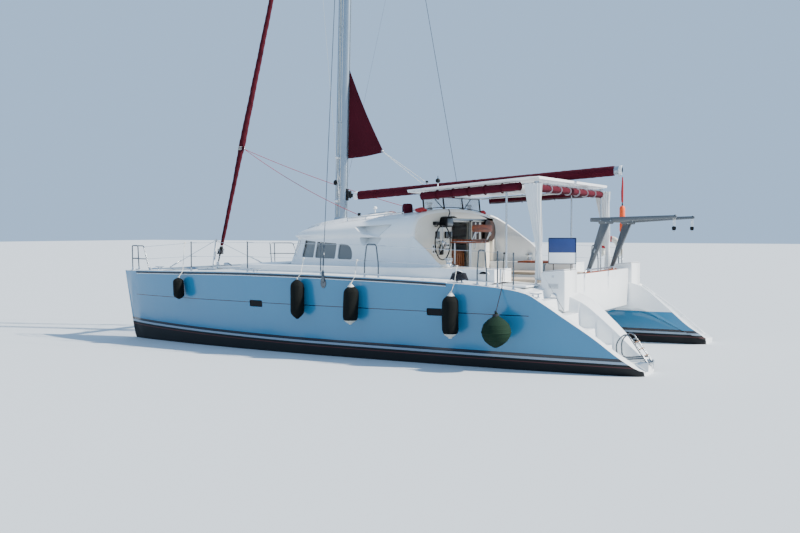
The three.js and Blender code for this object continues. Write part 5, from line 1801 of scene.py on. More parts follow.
def torus(centre, radius, thick, axis="x", around=64, sides=10, ripple=0.0):
    """A ring of round section, its section a little fuller at each stitch of its leather."""
    a = angles(around)[:, None]
    b = angles(sides)[None]
    r = thick * (1 + ripple * np.cos(around / 2 * a))
    flat = np.stack(
        [(radius + r * np.cos(b)) * np.cos(a), (radius + r * np.cos(b)) * np.sin(a), r * np.sin(b)], -1
    )
    order = {"z": [0, 1, 2], "x": [2, 0, 1], "y": [1, 2, 0]}[axis]
    flat = np.concatenate([flat, flat[:1]])[..., order]
    return grid(flat + np.array(centre), ring=True)


rim = torus(wheel_at, WHEEL["radius"], 0.0118, around=80, ripple=0.03)
spokes = NOTHING
for k in range(5):
    turn = math.pi / 2 + 2 * math.pi * k / 5
    out = np.array([0, math.cos(turn), math.sin(turn)])
    line = [
        wheel_at + out * r + [dx, 0, 0]
        for r, dx in ((0.03, 0.0), (0.16, 0.006), (0.27, 0.004), (0.333, 0.0))
    ]
    spokes += carried(line, circle(1.0, 10) * [0.005, 0.007], sizes=[1.25, 1.0, 0.85, 0.8], up=(1, 0, 0))
hub = lathe(
    [
        (0, -0.035), (0.030, -0.034), (0.040, -0.024), (0.046, -0.008), (0.046, 0.012), (0.034, 0.030),
        (0.030, 0.14), (0.058, 0.150), (0.058, 0.222), (0, 0.222)
    ],
    wheel_at, "x", 32
)
piece("helm_wheel_rim", [(steel, spokes + hub), (black_plastic, rim)], body="helm", replaces="helm_wheel")

# %% [markdown]
# A slat is a bent board, so one function carries a board's section along a bowed line, and it makes the
# seat and its back. The table is planked in teak on a turned alloy leg.

# %% Helm seat and table
def slat(y0, y1, x, z, deep, high, bow=0.0, lean=0.0, ends=0.0):
    """A board across the boat with rounded edges, bowed downwards in its middle, its ends drawn in."""
    profile = rectangle(-deep / 2, deep / 2, -high / 2, high / 2, 0.007, 3)
    s = np.sin(np.linspace(-np.pi / 2, np.pi / 2, 33))
    line = np.stack([x + lean * (1 - s**2), y0 + (y1 - y0) * (s + 1) / 2, z - bow * (1 - s**2)], 1)
    return carried(line, profile, sizes=1 - ends * abs(s) ** 16, up=(1, 0, 0))


SEAT = {"x": (-2.11, -1.70), "y": (0.70, 1.46), "z": 2.16}
seat_slats = sum(
    slat(SEAT["y"][0], SEAT["y"][1], -2.085 + 0.0715 * k, SEAT["z"] + 0.004, 0.062, 0.034, bow=0.012)
    for k in range(6)
)
skirt_line = rectangle(
    SEAT["x"][0] + 0.004, SEAT["x"][1] - 0.004, SEAT["y"][0] - 0.010, SEAT["y"][1] + 0.010, 0.06, 6
)
skirt = carried(
    [(px, py, 2.122) for px, py in [*skirt_line, skirt_line[0]]],
    rectangle(-0.011, 0.011, -0.048, 0.048, 0.006, 3), up=(0, 0, 1), ends=False
)
bearers = sum(
    tube([(-2.10, y, SEAT["z"] - 0.020), (-1.71, y, SEAT["z"] - 0.020)], 0.013, 8) for y in (0.78, 1.38)
)
back_slats = slat(0.66, 1.60, -2.190, 2.392, 0.026, 0.140, lean=-0.030, ends=0.45)
arms = NOTHING
for y in (0.73, 1.42):
    arms += tube(
        [(-2.06, y, 2.14), (-2.115, y, 2.18), (-2.19, y, 2.34), (-2.185, y, 2.455)], 0.012, 10, 0.03
    )
legs = NOTHING
for x, y, foot in ((-1.74, 1.42, 1.40), (-2.08, 1.42, 1.40), (-1.74, 0.74, 1.00), (-2.08, 0.74, 1.00)):
    legs += tube([(x, y, foot + 0.001), (x, y, 2.145)], 0.0135, 12)
    legs += lathe(
        [(0, 0.001), (0.034, 0.001), (0.034, 0.006), (0.018, 0.014), (0, 0.016)], (x, y, foot), sides=20
    )
legs += tube([(-1.74, 0.74, 1.55), (-2.08, 0.74, 1.55)], 0.010, 10)
side_bars = tube(
    [
        (-2.11, 0.72, 2.17), (-2.20, 0.70, 2.31), (-1.98, 0.70, 2.35), (-1.86, 0.70, 2.30),
        (-1.84, 0.72, 2.17)
    ],
    0.010, 8, 0.05
)
piece(
    "helm_seat_frame",
    [(teak, seat_slats + back_slats + skirt), (steel, bearers + arms + legs + side_bars)],
    replaces="helm_seat"
)

TABLE = {"x": (-3.25, -2.35), "y": (-0.90, -0.25), "z": (1.69, 1.725)}
plank = (TABLE["y"][1] - TABLE["y"][0]) / 6
planks = sum(
    box(
        (-3.19, -2.41), (-0.885 + plank * k + 0.002, -0.885 + plank * (k + 1) - 0.007), (1.700, 1.7265),
        0.004, 0.003
    )
    for k in range(6)
)
edging = slab(rectangle(*TABLE["x"], *TABLE["y"], 0.06), TABLE["z"][0], TABLE["z"][1] - 0.0015, 0.008)
stem = lathe(
    [
        (0, 0.002), (0.165, 0.002), (0.165, 0.010), (0.060, 0.026), (0.045, 0.045), (0.042, 0.62),
        (0.060, 0.655), (0.13, 0.688), (0, 0.689)
    ],
    (-2.80, -0.575, 1.0), sides=32
)
piece("cockpit_table_top", [(teak, edging + planks), (spar, stem)], replaces="cockpit_table")

# %% [markdown]
# The cockpit's mouldings get what shows of them: locker lids with flush latches in the bench fronts,
# non-skid on the sole, a teak cap and a rail on the aft beam, and two winches with their rope tails.

# %% Cockpit details
lids = NOTHING
latches = NOTHING
for x0, x1 in ((-3.60, -2.95), (-2.85, -2.20)):
    for side in (1, -1):
        front = side * 1.15
        lids += slab(
            rectangle(x0, x1, 1.06, 1.34, 0.03), *sorted((front - side * 0.008, front + side * 0.004)),
            0.004, "y"
        )
        latches += lathe(
            [(0, 0.012), (0.016, 0.012), (0.020, 0.006), (0.020, -0.002), (0, -0.002)],
            ((x0 + x1) / 2, front - side * 0.006, 1.30), "y", 20
        )
sole_pad = slab(rectangle(-3.62, -1.30, -1.06, 1.06, 0.05), 0.999, 1.006, 0.003)
piece("cockpit_details", [(cream, lids), (steel, latches), (nonskid, sole_pad)])
beam_rail = tube(
    [(-4.20, -0.98, 1.556), (-4.20, -0.94, 1.62), (-4.20, 0.94, 1.62), (-4.20, 0.98, 1.556)], 0.0125,
    10, 0.04
)
beam_cap = slab(rectangle(-4.245, -4.160, -1.02, 1.02, 0.02), 1.556, 1.578, 0.008)
piece("aft_beam_rail", [(teak, beam_cap), (steel, beam_rail)])
winch_sites = [(-1.93, 2.06), (-1.93, -2.06)]
piece("cockpit_winches", sum(winch(x, y, 1.658, 1.15) for x, y in winch_sites), finish=steel)
tails = np.linspace(0, 1, 40)
hank = np.stack(
    [
        -1.93 + 0.10 * np.cos(9 * np.pi * tails) * (1 - 0.3 * tails),
        2.22 + 0.05 * np.sin(9 * np.pi * tails), 1.672 + 0.05 * tails
    ],
    1
)
piece(
    "winch_tails",
    [
        (white_rope, carried(hank, circle(0.006, 8))),
        (black_rope, carried(hank + [0.02, -0.30, 0.004], circle(0.006, 8)))
    ]
)
# %% [markdown]
# The mast is an alloy extrusion: a rounded oval with a slot along its aft face, where the sail is rolled
# away. Its section is a superellipse whose aft point is pushed in to make the slot, and rings of it rise
# with the rake.

# %% Mast
MAST = {"foot": 2.63, "x": 1.76, "rake": 0.0249, "long": 0.150, "wide": 0.100}
SLOT_HALF, SLOT_DEEP = 0.011, 0.030


def mast_x(z):
    return MAST["x"] - MAST["rake"] * (z - MAST["foot"])


def mast_rings(z, share):
    """Rings of the mast's section at heights z: cosine and sine to the power 0.85, then the slot."""
    a = np.linspace(0, 2 * np.pi, 49)[:-1]
    long = MAST["long"] * np.sign(np.cos(a)) * abs(np.cos(a)) ** 0.85
    wide = MAST["wide"] * np.sign(np.sin(a)) * abs(np.sin(a)) ** 0.85
    slot = np.array(
        [
            (-MAST["long"] + 0.002, 0.014), (-MAST["long"] + 0.004, SLOT_HALF),
            (-MAST["long"] + SLOT_DEEP, SLOT_HALF - 0.002),
            (-MAST["long"] + SLOT_DEEP, -SLOT_HALF + 0.002), (-MAST["long"] + 0.004, -SLOT_HALF),
            (-MAST["long"] + 0.002, -0.014)
        ]
    )
    away = abs(wide) > 0.016
    front, back = a < np.pi, a > np.pi
    flat = np.vstack(
        [
            np.stack([long, wide], 1)[front & (away | (long > 0))], slot,
            np.stack([long, wide], 1)[back & (away | (long > 0))]
        ]
    )
    rings = flat[None] * np.asarray(share)[:, None, None]
    x = rings[..., 0] + mast_x(np.asarray(z))[:, None]
    return np.stack([x, rings[..., 1], np.broadcast_to(np.asarray(z)[:, None], x.shape)], -1)


levels = np.array([2.50, 2.70, 3.2, 5.0, 8.0, 12.0, 13.5, 15.5, 16.6, 17.17, 17.2])
tube_skin = grid(mast_rings(levels, [1, 1, 1, 1, 1, 1, 0.97, 0.92, 0.82, 0.75, 0.74]), ring=True, ends=True)
SPREADER = {"z": 8.2, "tip": 1.5, "sweep": 0.28, "lift": 0.06}
AEROFOIL = circle(1.0, 16) * [0.045, 0.018]


def spreader(side):
    """A swept strut of oval section with a socket at its root, and the cap at its tip."""
    root = np.array([mast_x(SPREADER["z"]), side * 0.06, SPREADER["z"]])
    tip = np.array([root[0] - SPREADER["sweep"], side * SPREADER["tip"], SPREADER["z"] + SPREADER["lift"]])
    s = np.linspace(0, 1, 9)[:, None]
    arm = carried(root * (1 - s) + tip * s, AEROFOIL, sizes=np.linspace(1.0, 0.72, 9), up=(1, 0, 0))
    socket = carried([root, root + (tip - root) * 0.09], AEROFOIL * 1.25, up=(1, 0, 0))
    end = lathe([(0, -0.05), (0.026, -0.045), (0.030, 0), (0.026, 0.045), (0, 0.05)], tip, sides=16)
    return arm + socket, end


def wire(a, b, radius):
    return carried([a, b], circle(radius, 8))


def bottle_screw(low, high, at=0.0, long=0.34):
    """A rigging screw near the lower end of a wire, turned from its radii: fork, thread, barrel and swage."""
    low, high = np.array(low, float), np.array(high, float)
    along = (high - low) / np.linalg.norm(high - low)
    stops = [
        (0.0, 0.013), (0.03, 0.013), (0.035, 0.007), (0.10, 0.007), (0.11, 0.013), (0.13, 0.0145),
        (0.31, 0.0145), (0.33, 0.013), (0.34, 0.007), (0.42, 0.007), (0.43, 0.011), (0.56, 0.009),
        (0.58, 0.005)
    ]
    line = [low + along * (at + d * long / 0.34 * 0.8) for d, _ in stops]
    return carried(line, circle(1.0, 12), sizes=[r for _, r in stops])


DIAMOND_FOOT, DIAMOND_HEAD = 3.05, 14.5
arms = tips = diamonds = NOTHING
for side in (1, -1):
    arm, end = spreader(side)
    arms, tips = arms + arm, tips + end
    tip = (
        mast_x(SPREADER["z"]) - SPREADER["sweep"], side * SPREADER["tip"],
        SPREADER["z"] + SPREADER["lift"]
    )
    foot = (mast_x(DIAMOND_FOOT), side * 0.088, DIAMOND_FOOT)
    diamonds += wire(foot, tip, 0.0048) + bottle_screw(foot, tip, 0.03)
    diamonds += wire(tip, (mast_x(DIAMOND_HEAD), side * 0.075, DIAMOND_HEAD), 0.0048)
    diamonds += lathe([(0, -0.03), (0.020, -0.03), (0.024, 0), (0.020, 0.03), (0, 0.03)], foot, sides=12)

masthead = box((1.16, 1.56), (-0.055, 0.055), (17.165, 17.198), 0.03, 0.008)
head_at = mast_x(17.0)
light = lathe(
    [
        (0, 0), (0.035, 0), (0.035, 0.02), (0.03, 0.022), (0.03, 0.07), (0.036, 0.072), (0.036, 0.085),
        (0, 0.088)
    ],
    (head_at, 0, 9.30), sides=20
)
steaming = light.moved(mast_x(9.3) - head_at + 0.175, 0, 0)
bracket = slab(rectangle(mast_x(9.3) + 0.10, mast_x(9.3) + 0.20, -0.03, 0.03, 0.02), 9.285, 9.30, 0.004)
tang = sum(
    slab(
        rectangle(mast_x(16.0) - 0.10, mast_x(16.0) - 0.02, 15.93, 16.07, 0.03),
        *sorted((s * 0.070, s * 0.096)), 0.004, "y"
    )
    for s in (1, -1)
)
tang += slab(
    rectangle(mast_x(15.4) + 0.09, mast_x(15.4) + 0.19, 15.32, 15.48, 0.03), -0.018, 0.018, 0.004, "y"
)
steps = NOTHING
for k in range(12):
    z, s = 3.7 + 1.05 * k, 1 if k % 2 else -1
    x = mast_x(z) + 0.02
    steps += tube(
        [
            (x - 0.05, s * 0.092, z), (x - 0.05, s * 0.17, z), (x + 0.05, s * 0.17, z),
            (x + 0.05, s * 0.092, z)
        ],
        0.006, 8, 0.02, steps=4
    )
side_gear = NOTHING
for z, s, long in ((3.62, 1, 0.16), (3.30, 1, 0.10), (3.46, -1, 0.16)):
    side_gear += tube(
        [
            (mast_x(z), s * 0.095, z - long / 2 - 0.05), (mast_x(z), s * 0.125, z - long / 2),
            (mast_x(z), s * 0.125, z + long / 2), (mast_x(z), s * 0.095, z + long / 2 + 0.05)
        ],
        0.010, 8, 0.02
    )
for z in (3.98, 3.02):
    side_gear += lathe(
        [
            (0, 0.0), (0.045, 0.0), (0.045, 0.018), (0.035, 0.022), (0.028, 0.05), (0.034, 0.058),
            (0.045, 0.085), (0.030, 0.095), (0, 0.098)
        ],
        (mast_x(z) + 0.03, 0.088, z), "y", 24
    )
cheek = lathe(
    [(0, 0), (0.055, 0), (0.060, 0.012), (0.060, 0.030), (0.050, 0.042), (0, 0.046)],
    (mast_x(3.42) + 0.10, 0.070, 3.42), "y", 24
)
halyards = NOTHING
for y, z0, dx in ((0.104, 12.5, 0.03), (0.104, 9.0, 0.06), (0.102, 12.0, -0.02)):
    halyards += wire((mast_x(z0) + dx, y * 0.98, z0), (mast_x(2.7) + dx, y, 2.66), 0.0052)
mast_steel = diamonds + tips + side_gear + tang + bracket
mast_parts = [
    (spar, tube_skin + arms + masthead + steps), (steel, mast_steel), (black_plastic, cheek + steaming)
]
piece("mast_tube", mast_parts, replaces="mast")
piece("mast_halyards", [(white_rope, halyards)])

# %% [markdown]
# Standing rigging is taut wire: one shroud a side from the hounds to an oval plate on the topsides, and
# the forestay, which carries the furling drum and the rolled genoa. The roll shows the edges of its turns,
# so its radius falls a little once round and jumps back along a line that climbs as a screw.

# %% Shrouds, forestay and genoa
HOUNDS = 16.0
plate_outline = np.stack(
    [
        0.08 + 0.062 * np.cos(np.linspace(0, 2 * np.pi, 29)[:-1]),
        1.380 + 0.100 * np.sin(np.linspace(0, 2 * np.pi, 29)[:-1])
    ],
    1
)
plate_y = float(side_y(np.array(0.08), 1.385))
chainplate = slab(plate_outline, plate_y - 0.006, plate_y + 0.010, 0.004, "y")
bolts = sum(
    lathe([(0, 0.006), (0.009, 0.005), (0.011, 0)], (0.08, plate_y + 0.010, z), "y", 12)
    for z in (1.31, 1.385, 1.46)
)
lug = slab(
    rounded([(0.045, 1.40), (0.115, 1.40), (0.105, 1.60), (0.055, 1.60)], 0.02), 3.262, 3.280, 0.004,
    "y"
)
foot, head = (0.08, 3.271, 1.57), (mast_x(HOUNDS) - 0.06, 0.112, HOUNDS)
shroud = wire(foot, head, 0.0066) + bottle_screw(foot, head, 0.02, 0.42)
both_sides("shroud_wire", [(steel_painted_shade, shroud + chainplate + bolts + lug)], replaces="SIDE_shroud")

STAY_LOW, STAY_HIGH = np.array([5.30, 0, 1.53]), np.array([1.60, 0, 15.4])


def on_stay(z):
    t = (np.asarray(z, float)[..., None] - STAY_LOW[2]) / (STAY_HIGH[2] - STAY_LOW[2])
    return STAY_LOW + (STAY_HIGH - STAY_LOW) * t


def stay_lathe(rows, sides=32):
    """(height, radius) rows turned about the leaning stay, each ring level."""
    z, r = np.array(rows).T
    a = angles(sides)
    centre = on_stay(z)
    return grid(centre[:, None] + r[:, None, None] * np.stack([np.cos(a), np.sin(a), 0 * a], 1), ring=True)


drum = stay_lathe(
    [
        (1.612, 0), (1.612, 0.016), (1.70, 0.016), (1.78, 0.022), (1.785, 0.078), (1.795, 0.086),
        (1.803, 0.078), (1.805, 0.052)
    ]
)
cage = stay_lathe(
    [
        (1.888, 0.052), (1.890, 0.078), (1.898, 0.085), (1.906, 0.076), (1.915, 0.046), (1.96, 0.040),
        (1.972, 0.038), (1.974, 0)
    ]
)
line_store = stay_lathe(
    [(1.803, 0.0)] + [(1.805 + 0.0069 * k, 0.062 + 0.005 * (k % 2)) for k in range(12)] + [(1.890, 0.0)]
)
toggle = tube([STAY_LOW, on_stay(1.64)], 0.014, 12)
guard = sum(
    tube(
        [
            on_stay(1.79) + [0.080 * math.cos(t), 0.080 * math.sin(t), 0],
            on_stay(1.90) + [0.080 * math.cos(t), 0.080 * math.sin(t), 0]
        ],
        0.0045, 8
    )
    for t in (0.4, 2.0, 3.6, 5.2)
)
piece(
    "furling_drum_unit",
    [(black_plastic, drum + cage), (steel, guard + toggle), (black_rope, line_store)],
    replaces="furling_drum"
)

ROLLED = np.array(
    [
        (1.985, 0.028), (2.02, 0.038), (2.15, 0.044), (3.6, 0.052), (4.15, 0.064), (4.37, 0.079),
        (4.75, 0.072), (5.5, 0.066), (7.6, 0.054), (12.0, 0.045), (14.2, 0.032), (14.4, 0.024),
        (14.45, 0.008)
    ]
)
z = np.linspace(1.985, 14.45, 420)
radius = np.interp(z, *ROLLED.T)
a = angles(30)
turnaround = (a[None] / (2 * np.pi) + 1.05 * z[:, None]) % 1.0
edge = radius[:, None] * (1.035 - 0.085 * turnaround) + 0.0025 * np.sin(31 * z[:, None] + 2 * a[None])
sail = on_stay(z)[:, None] + edge[..., None] * np.stack([np.cos(a), np.sin(a), 0 * a], 1)[None]
genoa = piece(
    "furled_genoa_roll",
    [
        (burgundy_sail, grid(sail, ring=True, ends=True)),
        (
            steel,
            wire(on_stay(14.4), on_stay(15.4), 0.005)
            + stay_lathe([(14.44, 0), (14.46, 0.026), (14.58, 0.026), (14.60, 0)])
        )
    ],
    replaces="furled_genoa", crease=50
)

CLEW = np.array([4.425, 0.0, 4.29])
clew_patch = [(4.500, 4.46), (4.590, 4.18), (4.44, 4.255), (4.425, 4.30)]
patch = slab(rounded(clew_patch, 0.02), -0.006, 0.006, 0.003, "y").moved(0, 0.05, 0)
ring = torus(CLEW + [0.015, 0.05, -0.01], 0.022, 0.006, "y", 24, 8)
band = NOTHING
for dz in (-0.03, 0.0, 0.03):
    centre = on_stay(np.array(4.30 + dz))
    band += torus(centre, 0.080, 0.006, "z", 32, 8)
sheets = NOTHING
for end in ((0.84, 0.76, roof_z(0.84, 0.76) + 0.04), (-0.06, -0.98, roof_z(-0.06, -0.98) + 0.04)):
    s = np.linspace(0, 1, 24)[:, None]
    path = (
        (CLEW + [0, 0.05, -0.02]) * (1 - s) + np.array(end) * s
        - np.array([0, 0, 0.10]) * 4 * s * (1 - s)
    )
    sheets += carried(path, circle(0.0062, 8))
piece("genoa_clew", [(burgundy_sail, patch), (steel, ring), (white_rope, band), (red_rope, sheets)])


def block(x, y, z, size=1.0, turn=0.0):
    """A pulley block: two rounded cheeks with the sheave between them and a shackle below."""
    cheek_shape = rounded([(-0.026, -0.03), (0.026, -0.03), (0.030, 0.03), (-0.030, 0.03)], 0.022)
    body = slab(cheek_shape, -0.013, -0.009, 0.002, "y") + slab(cheek_shape, 0.009, 0.013, 0.002, "y")
    wheel = lathe(
        [(0, -0.007), (0.022, -0.007), (0.017, 0), (0.022, 0.007), (0, 0.007)], (0, 0, 0.004), "y", 20
    )
    shackle = tube(
        [(0.012, 0, -0.028), (0.012, 0, -0.050), (-0.012, 0, -0.050), (-0.012, 0, -0.028)], 0.004, 8,
        0.012
    )
    place = lambda s: Skin(s.points * size, s.faces, s.cloth).turned((0, 0, 1), turn).moved(x, y, z)
    return [(black_plastic, place(body)), (steel, place(wheel + shackle))]


sheet_blocks = (
    block(0.82, 0.76, roof_z(0.84, 0.76) + 0.045, 1.2)
    + block(-0.08, -0.98, roof_z(-0.06, -0.98) + 0.045, 1.2)
)
piece("sheet_blocks", sheet_blocks)

# %% [markdown]
# The boom is an oval extrusion inside a tied canvas cover. The cover is cloth over a tube, so it is drawn
# in at its ends and at its ties, and it has a seam below and fine creases between the ties.

# %% Boom, cover and the sail's clew
BOOM = {"front": 1.41, "z": 3.124, "rise": 0.064, "high": 0.082, "wide": 0.062}
GOOSENECK = {"x": 1.52, "z": 3.15}


def boom_z(x):
    return BOOM["z"] + BOOM["rise"] * (BOOM["front"] - np.asarray(x, float))


def boom_rings(x, share):
    """Oval rings square to x, each as large as its share of the boom's section."""
    a = angles(36)
    share = np.broadcast_to(share, np.shape(x))[:, None]
    y = BOOM["wide"] * share * np.cos(a)
    z = boom_z(x)[:, None] + BOOM["high"] * share * np.sin(a)
    return np.stack([np.broadcast_to(np.asarray(x)[:, None], y.shape), y, z], -1)


extrusion = grid(
    boom_rings(
        np.array([1.41, 1.405, 1.395, 0.0, -2.0, -4.58, -4.595, -4.60]),
        [0.90, 0.97, 1, 1, 1, 1, 0.97, 0.92]
    ),
    ring=True, ends=True
)
front_cap = grid(
    boom_rings(np.array([1.412, 1.408, 1.39, 1.315, 1.305]), [0.6, 0.98, 1.06, 1.06, 1.02]), ring=True,
    ends=True
)
aft_cap = grid(
    boom_rings(np.array([-4.54, -4.545, -4.59, -4.598, -4.60]), [1.02, 1.06, 1.06, 0.98, 0.6]),
    ring=True, ends=True
)
neck = tube([(1.405, 0, boom_z(1.405)), (1.46, 0, 3.135), (GOOSENECK["x"], 0, GOOSENECK["z"])], 0.026, 14)
yoke = lathe(
    [(0, -0.055), (0.030, -0.055), (0.034, -0.045), (0.034, 0.045), (0.030, 0.055), (0, 0.055)],
    (GOOSENECK["x"], 0, GOOSENECK["z"]), sides=24
)
yoke = yoke + slab(rectangle(1.40, 1.50, -0.045, 0.045, 0.02), 3.09, 3.17, 0.012)
end_fitting = tube(
    [
        (-4.56, 0, boom_z(-4.56) - 0.075), (-4.57, 0, boom_z(-4.57) - 0.115),
        (-4.53, 0, boom_z(-4.53) - 0.115), (-4.52, 0, boom_z(-4.52) - 0.075)
    ],
    0.005, 8, 0.01
)
piece(
    "boom_spar",
    [
        (spar, extrusion), (white, front_cap + aft_cap), (black_plastic, neck + yoke),
        (steel, end_fitting)
    ],
    body="boom_swinging", replaces="boom"
)
mast_yoke = sum(slab(rectangle(1.50, 1.61, -0.05, 0.05, 0.03), z, z + 0.018, 0.004) for z in (3.075, 3.208))
pin = lathe(disc(0.014, 3.06, 3.24), (GOOSENECK["x"], 0, 0), sides=16)
spine = slab(rectangle(mast_x(3.15) - 0.165, mast_x(3.15) - 0.135, -0.045, 0.045, 0.01), 3.02, 3.28, 0.004)
piece("gooseneck_fitting", mast_yoke + pin + spine, finish=black_plastic)

x = np.linspace(1.30, -4.45, 330)
TIE_SPACING = 0.46
beat = np.abs(((x - 1.30) / TIE_SPACING) % 1.0 - 0.5) * 2
slack = 1.105 + 0.030 * (1 - beat**6) - 0.012 * (beat > 0.94)
ends = rise(x, -4.45, -4.40) * rise(-x, -1.30, -1.26)
share = slack * ends + 1.075 * (1 - ends)
skin = boom_rings(x, share)
a = angles(36)[None]
low = np.exp(-((np.sin(a) + 1) / 0.12) ** 2)
skin[..., 2] -= 0.008 * low + 0.0022 * np.sin(37 * x)[:, None] * np.cos(3 * a + 5 * x[:, None])
skin[..., 1] += 0.0030 * np.cos(23 * x)[:, None] * np.cos(a) * np.sin(2 * a + 4 * x[:, None])
inner = boom_rings(x[::-1], 1.02)
cover_skin = grid(np.concatenate([skin, inner, skin[:1]]), ring=True)
piece(
    "boom_cover_cloth", cover_skin, body="boom_swinging", replaces="boom_cover", finish=burgundy,
    crease=60
)
lacing = sum(
    torus(
        (px, 0, float(boom_z(px))), 0.0865, 0.0035, "x", 32, 6
    ).reshaped(lambda p: p * [1, 0.80, 1]).reshaped(
        lambda p, c=float(boom_z(px)): np.stack([p[:, 0], p[:, 1], c + (p[:, 2] - c) * 1.07], 1)
    )
    for px in 1.30 - TIE_SPACING * np.arange(1, 12)
)
piece("boom_cover_ties", lacing, body="boom_swinging", finish=burgundy)

LUFF_LOW, LUFF_HIGH = 3.95, 5.90
u, v = np.meshgrid(np.linspace(0, 1, 26), np.linspace(0, 1, 34), indexing="ij")
luff = lambda z: mast_x(z) - MAST["long"] - 0.004
leech_low, leech_high = np.array([0.655, 4.055]), np.array([luff(LUFF_HIGH), LUFF_HIGH])
edge_x = leech_low[0] + (leech_high[0] - leech_low[0]) * v + 0.035 * np.sin(np.pi * v)
edge_z = leech_low[1] + (leech_high[1] - leech_low[1]) * v
root_z = LUFF_LOW + (LUFF_HIGH - LUFF_LOW) * v
px = luff(root_z) + (edge_x - luff(root_z)) * u
pz = root_z + (edge_z - root_z) * u - 0.02 * np.sin(np.pi * u) * (1 - v)
py = 0.006 * np.sin(3 * np.pi * u + 2 * v) * np.sin(np.pi * u) * (1 - 0.5 * v)
clew_sail = piece(
    "mainsail_corner", grid(np.stack([px, py, pz], -1)), body="boom_swinging", replaces="mainsail_clew",
    finish=burgundy_sail, modifiers=[("SOLIDIFY", {"thickness": 0.002, "offset": 0.0})], crease=60
)
reinforcing = slab(
    rounded([(0.665, 4.065), (0.86, 4.02), (0.93, 4.22), (0.80, 4.32)], 0.03), -0.0045, 0.0045, 0.002,
    "y"
)
eye = torus((0.70, 0, 4.085), 0.020, 0.006, "y", 24, 8)
outhaul = (
    wire((0.69, 0.006, 4.08), (-0.44, 0.012, float(boom_z(-0.44)) + 0.10), 0.0048)
    + wire((0.69, -0.006, 4.07), (-0.30, -0.012, float(boom_z(-0.30)) + 0.10), 0.0048)
)
piece("mainsail_corner_fittings", [(burgundy_sail, reinforcing), (steel, eye), (white_rope, outhaul)]
      + block(-0.40, 0, float(boom_z(-0.40)) + 0.14, 1.0), body="boom_swinging")
# %% [markdown]
# Stainless tubes carry the hard top: two posts stand on each side, two rails and three bars lie under it,
# and dark struts rise from the coachroof with clear windscreen panels between them. Feet have flanges.

# %% Hard top frame and windscreen
COAMING_AFT, COAMING_TOP = -3.05, 1.66
FRAME = {"front": -1.0, "aft": -3.6, "rail": 0.016, "post": 0.019}


def under(x):
    """Height of the tubes under the hard top."""
    return 3.040 + (-0.79 - x) * 0.168 / 2.91


def rail_y(x):
    return 1.49 + (-1.0 - x) * 0.44 / 2.6


def corner(x, side):
    return np.array([x, side * rail_y(x), under(x)])


tubes = flanges = NOTHING
for side in (1, -1):
    tubes += tube([corner(FRAME["front"], side), corner(FRAME["aft"], side)], FRAME["rail"], 14)
    for x in (-2.98, FRAME["aft"]):
        foot = COAMING_TOP if x > COAMING_AFT else float(deck_z(np.array(x), rail_y(x)))
        top = corner(x, side)
        tubes += tube([(x, top[1], foot - 0.02), top], FRAME["post"], 16)
        flanges += lathe(
            [(0, -0.004), (0.042, -0.004), (0.042, 0.004), (0.024, 0.010), (0.023, 0.045), (0, 0.045)],
            (x, top[1], foot), sides=24
        )
        flanges += lathe(
            [(0, -0.03), (0.023, -0.03), (0.023, 0.008), (0.045, 0.014), (0.045, 0.036), (0, 0.036)],
            top, sides=24
        )
for x in (FRAME["front"], FRAME["aft"], -2.3):
    tubes += tube([corner(x, -1), corner(x, 1)], FRAME["rail"] if x != -2.3 else 0.012, 14)
dark_tubes = NOTHING
STRUTS = (-1.35, -0.45, 0.45, 1.35)
roof_edge = np.vectorize(lambda y: roof_z(-1.035, y))
for y in STRUTS:
    dark_tubes += tube([(-1.035, y, roof_edge(y) + 0.002), (-1.0, y, under(-1.0))], 0.017, 14)
    dark_tubes += lathe(
        [(0, -0.002), (0.036, -0.002), (0.036, 0.006), (0.020, 0.014), (0, 0.014)],
        (-1.035, y, roof_edge(y)), sides=20
    )
braces = [
    ((-1.035, s * 0.50, roof_edge(0.5) + 0.01), (-1.0, s * 0.93, under(-1.0) - 0.01)) for s in (1, -1)
]
dark_tubes += sum(tube(ends, 0.010, 10) for ends in braces)
piece("hard_top_tubes", [(steel, tubes + flanges), (black_plastic, dark_tubes)], replaces="hard_top_frame")

panes = frames = NOTHING
for y0, y1 in ((-1.33, -0.47), (-0.43, 0.43), (0.47, 1.33)):
    across = np.linspace(y0, y1, 9)
    foot = np.stack([np.full(9, -1.033), across, roof_edge(across) + 0.030], 1)
    head = np.stack([np.full(9, -1.003), across, np.full(9, under(-1.0) - 0.022)], 1)
    outline = np.vstack([foot, head[::-1]])
    mid = (foot + head) / 2 + [0.006, 0, 0]
    front = np.stack([foot, mid, head])
    panes += grid(
        np.stack([front + [0.003, 0, 0], front - [0.003, 0, 0]]).reshape(6, 9, 3)[[0, 1, 2, 5, 4, 3, 0]]
    )
    frames += tube([foot[0], *foot[1:], head[-1], head[0], foot[0]], 0.009, 8)
piece("windscreen_panels", [(clear, panes), (black_plastic, frames)])

antenna_at = (-0.95, 0.575, 3.158)
mushroom = lathe(
    [(0, 0), (0.030, 0), (0.030, 0.006), (0.011, 0.012), (0.011, 0.17), (0, 0.17)], antenna_at, sides=20
)
cap = lathe(
    [
        (0, 0.165), (0.020, 0.165), (0.044, 0.185), (0.050, 0.215), (0.040, 0.245), (0.018, 0.258),
        (0.008, 0.262), (0.008, 0.31), (0, 0.31)
    ],
    antenna_at, sides=28
)
piece("hard_top_antenna", [(white, mushroom), (black_plastic, cap)])

# %% [markdown]
# Side and aft awnings are rolled up under the hard top's edge and strapped. A rolled cloth is a tube with
# a step where its last turn ends, tight at each strap and slack between, so the roll's radius says all that.

# %% Rolled awnings
ROLL = {"front": -1.15, "aft": -3.30, "out": 0.115, "down": 0.045, "radius": 0.078}
# A darker copy of the grey lining: its colour paints the shade on the lower side of the rolls
lining_painted_shade = woven("lining in painted shade", "canvas", tone(64, 34, 48), tone(34, 14, 26))


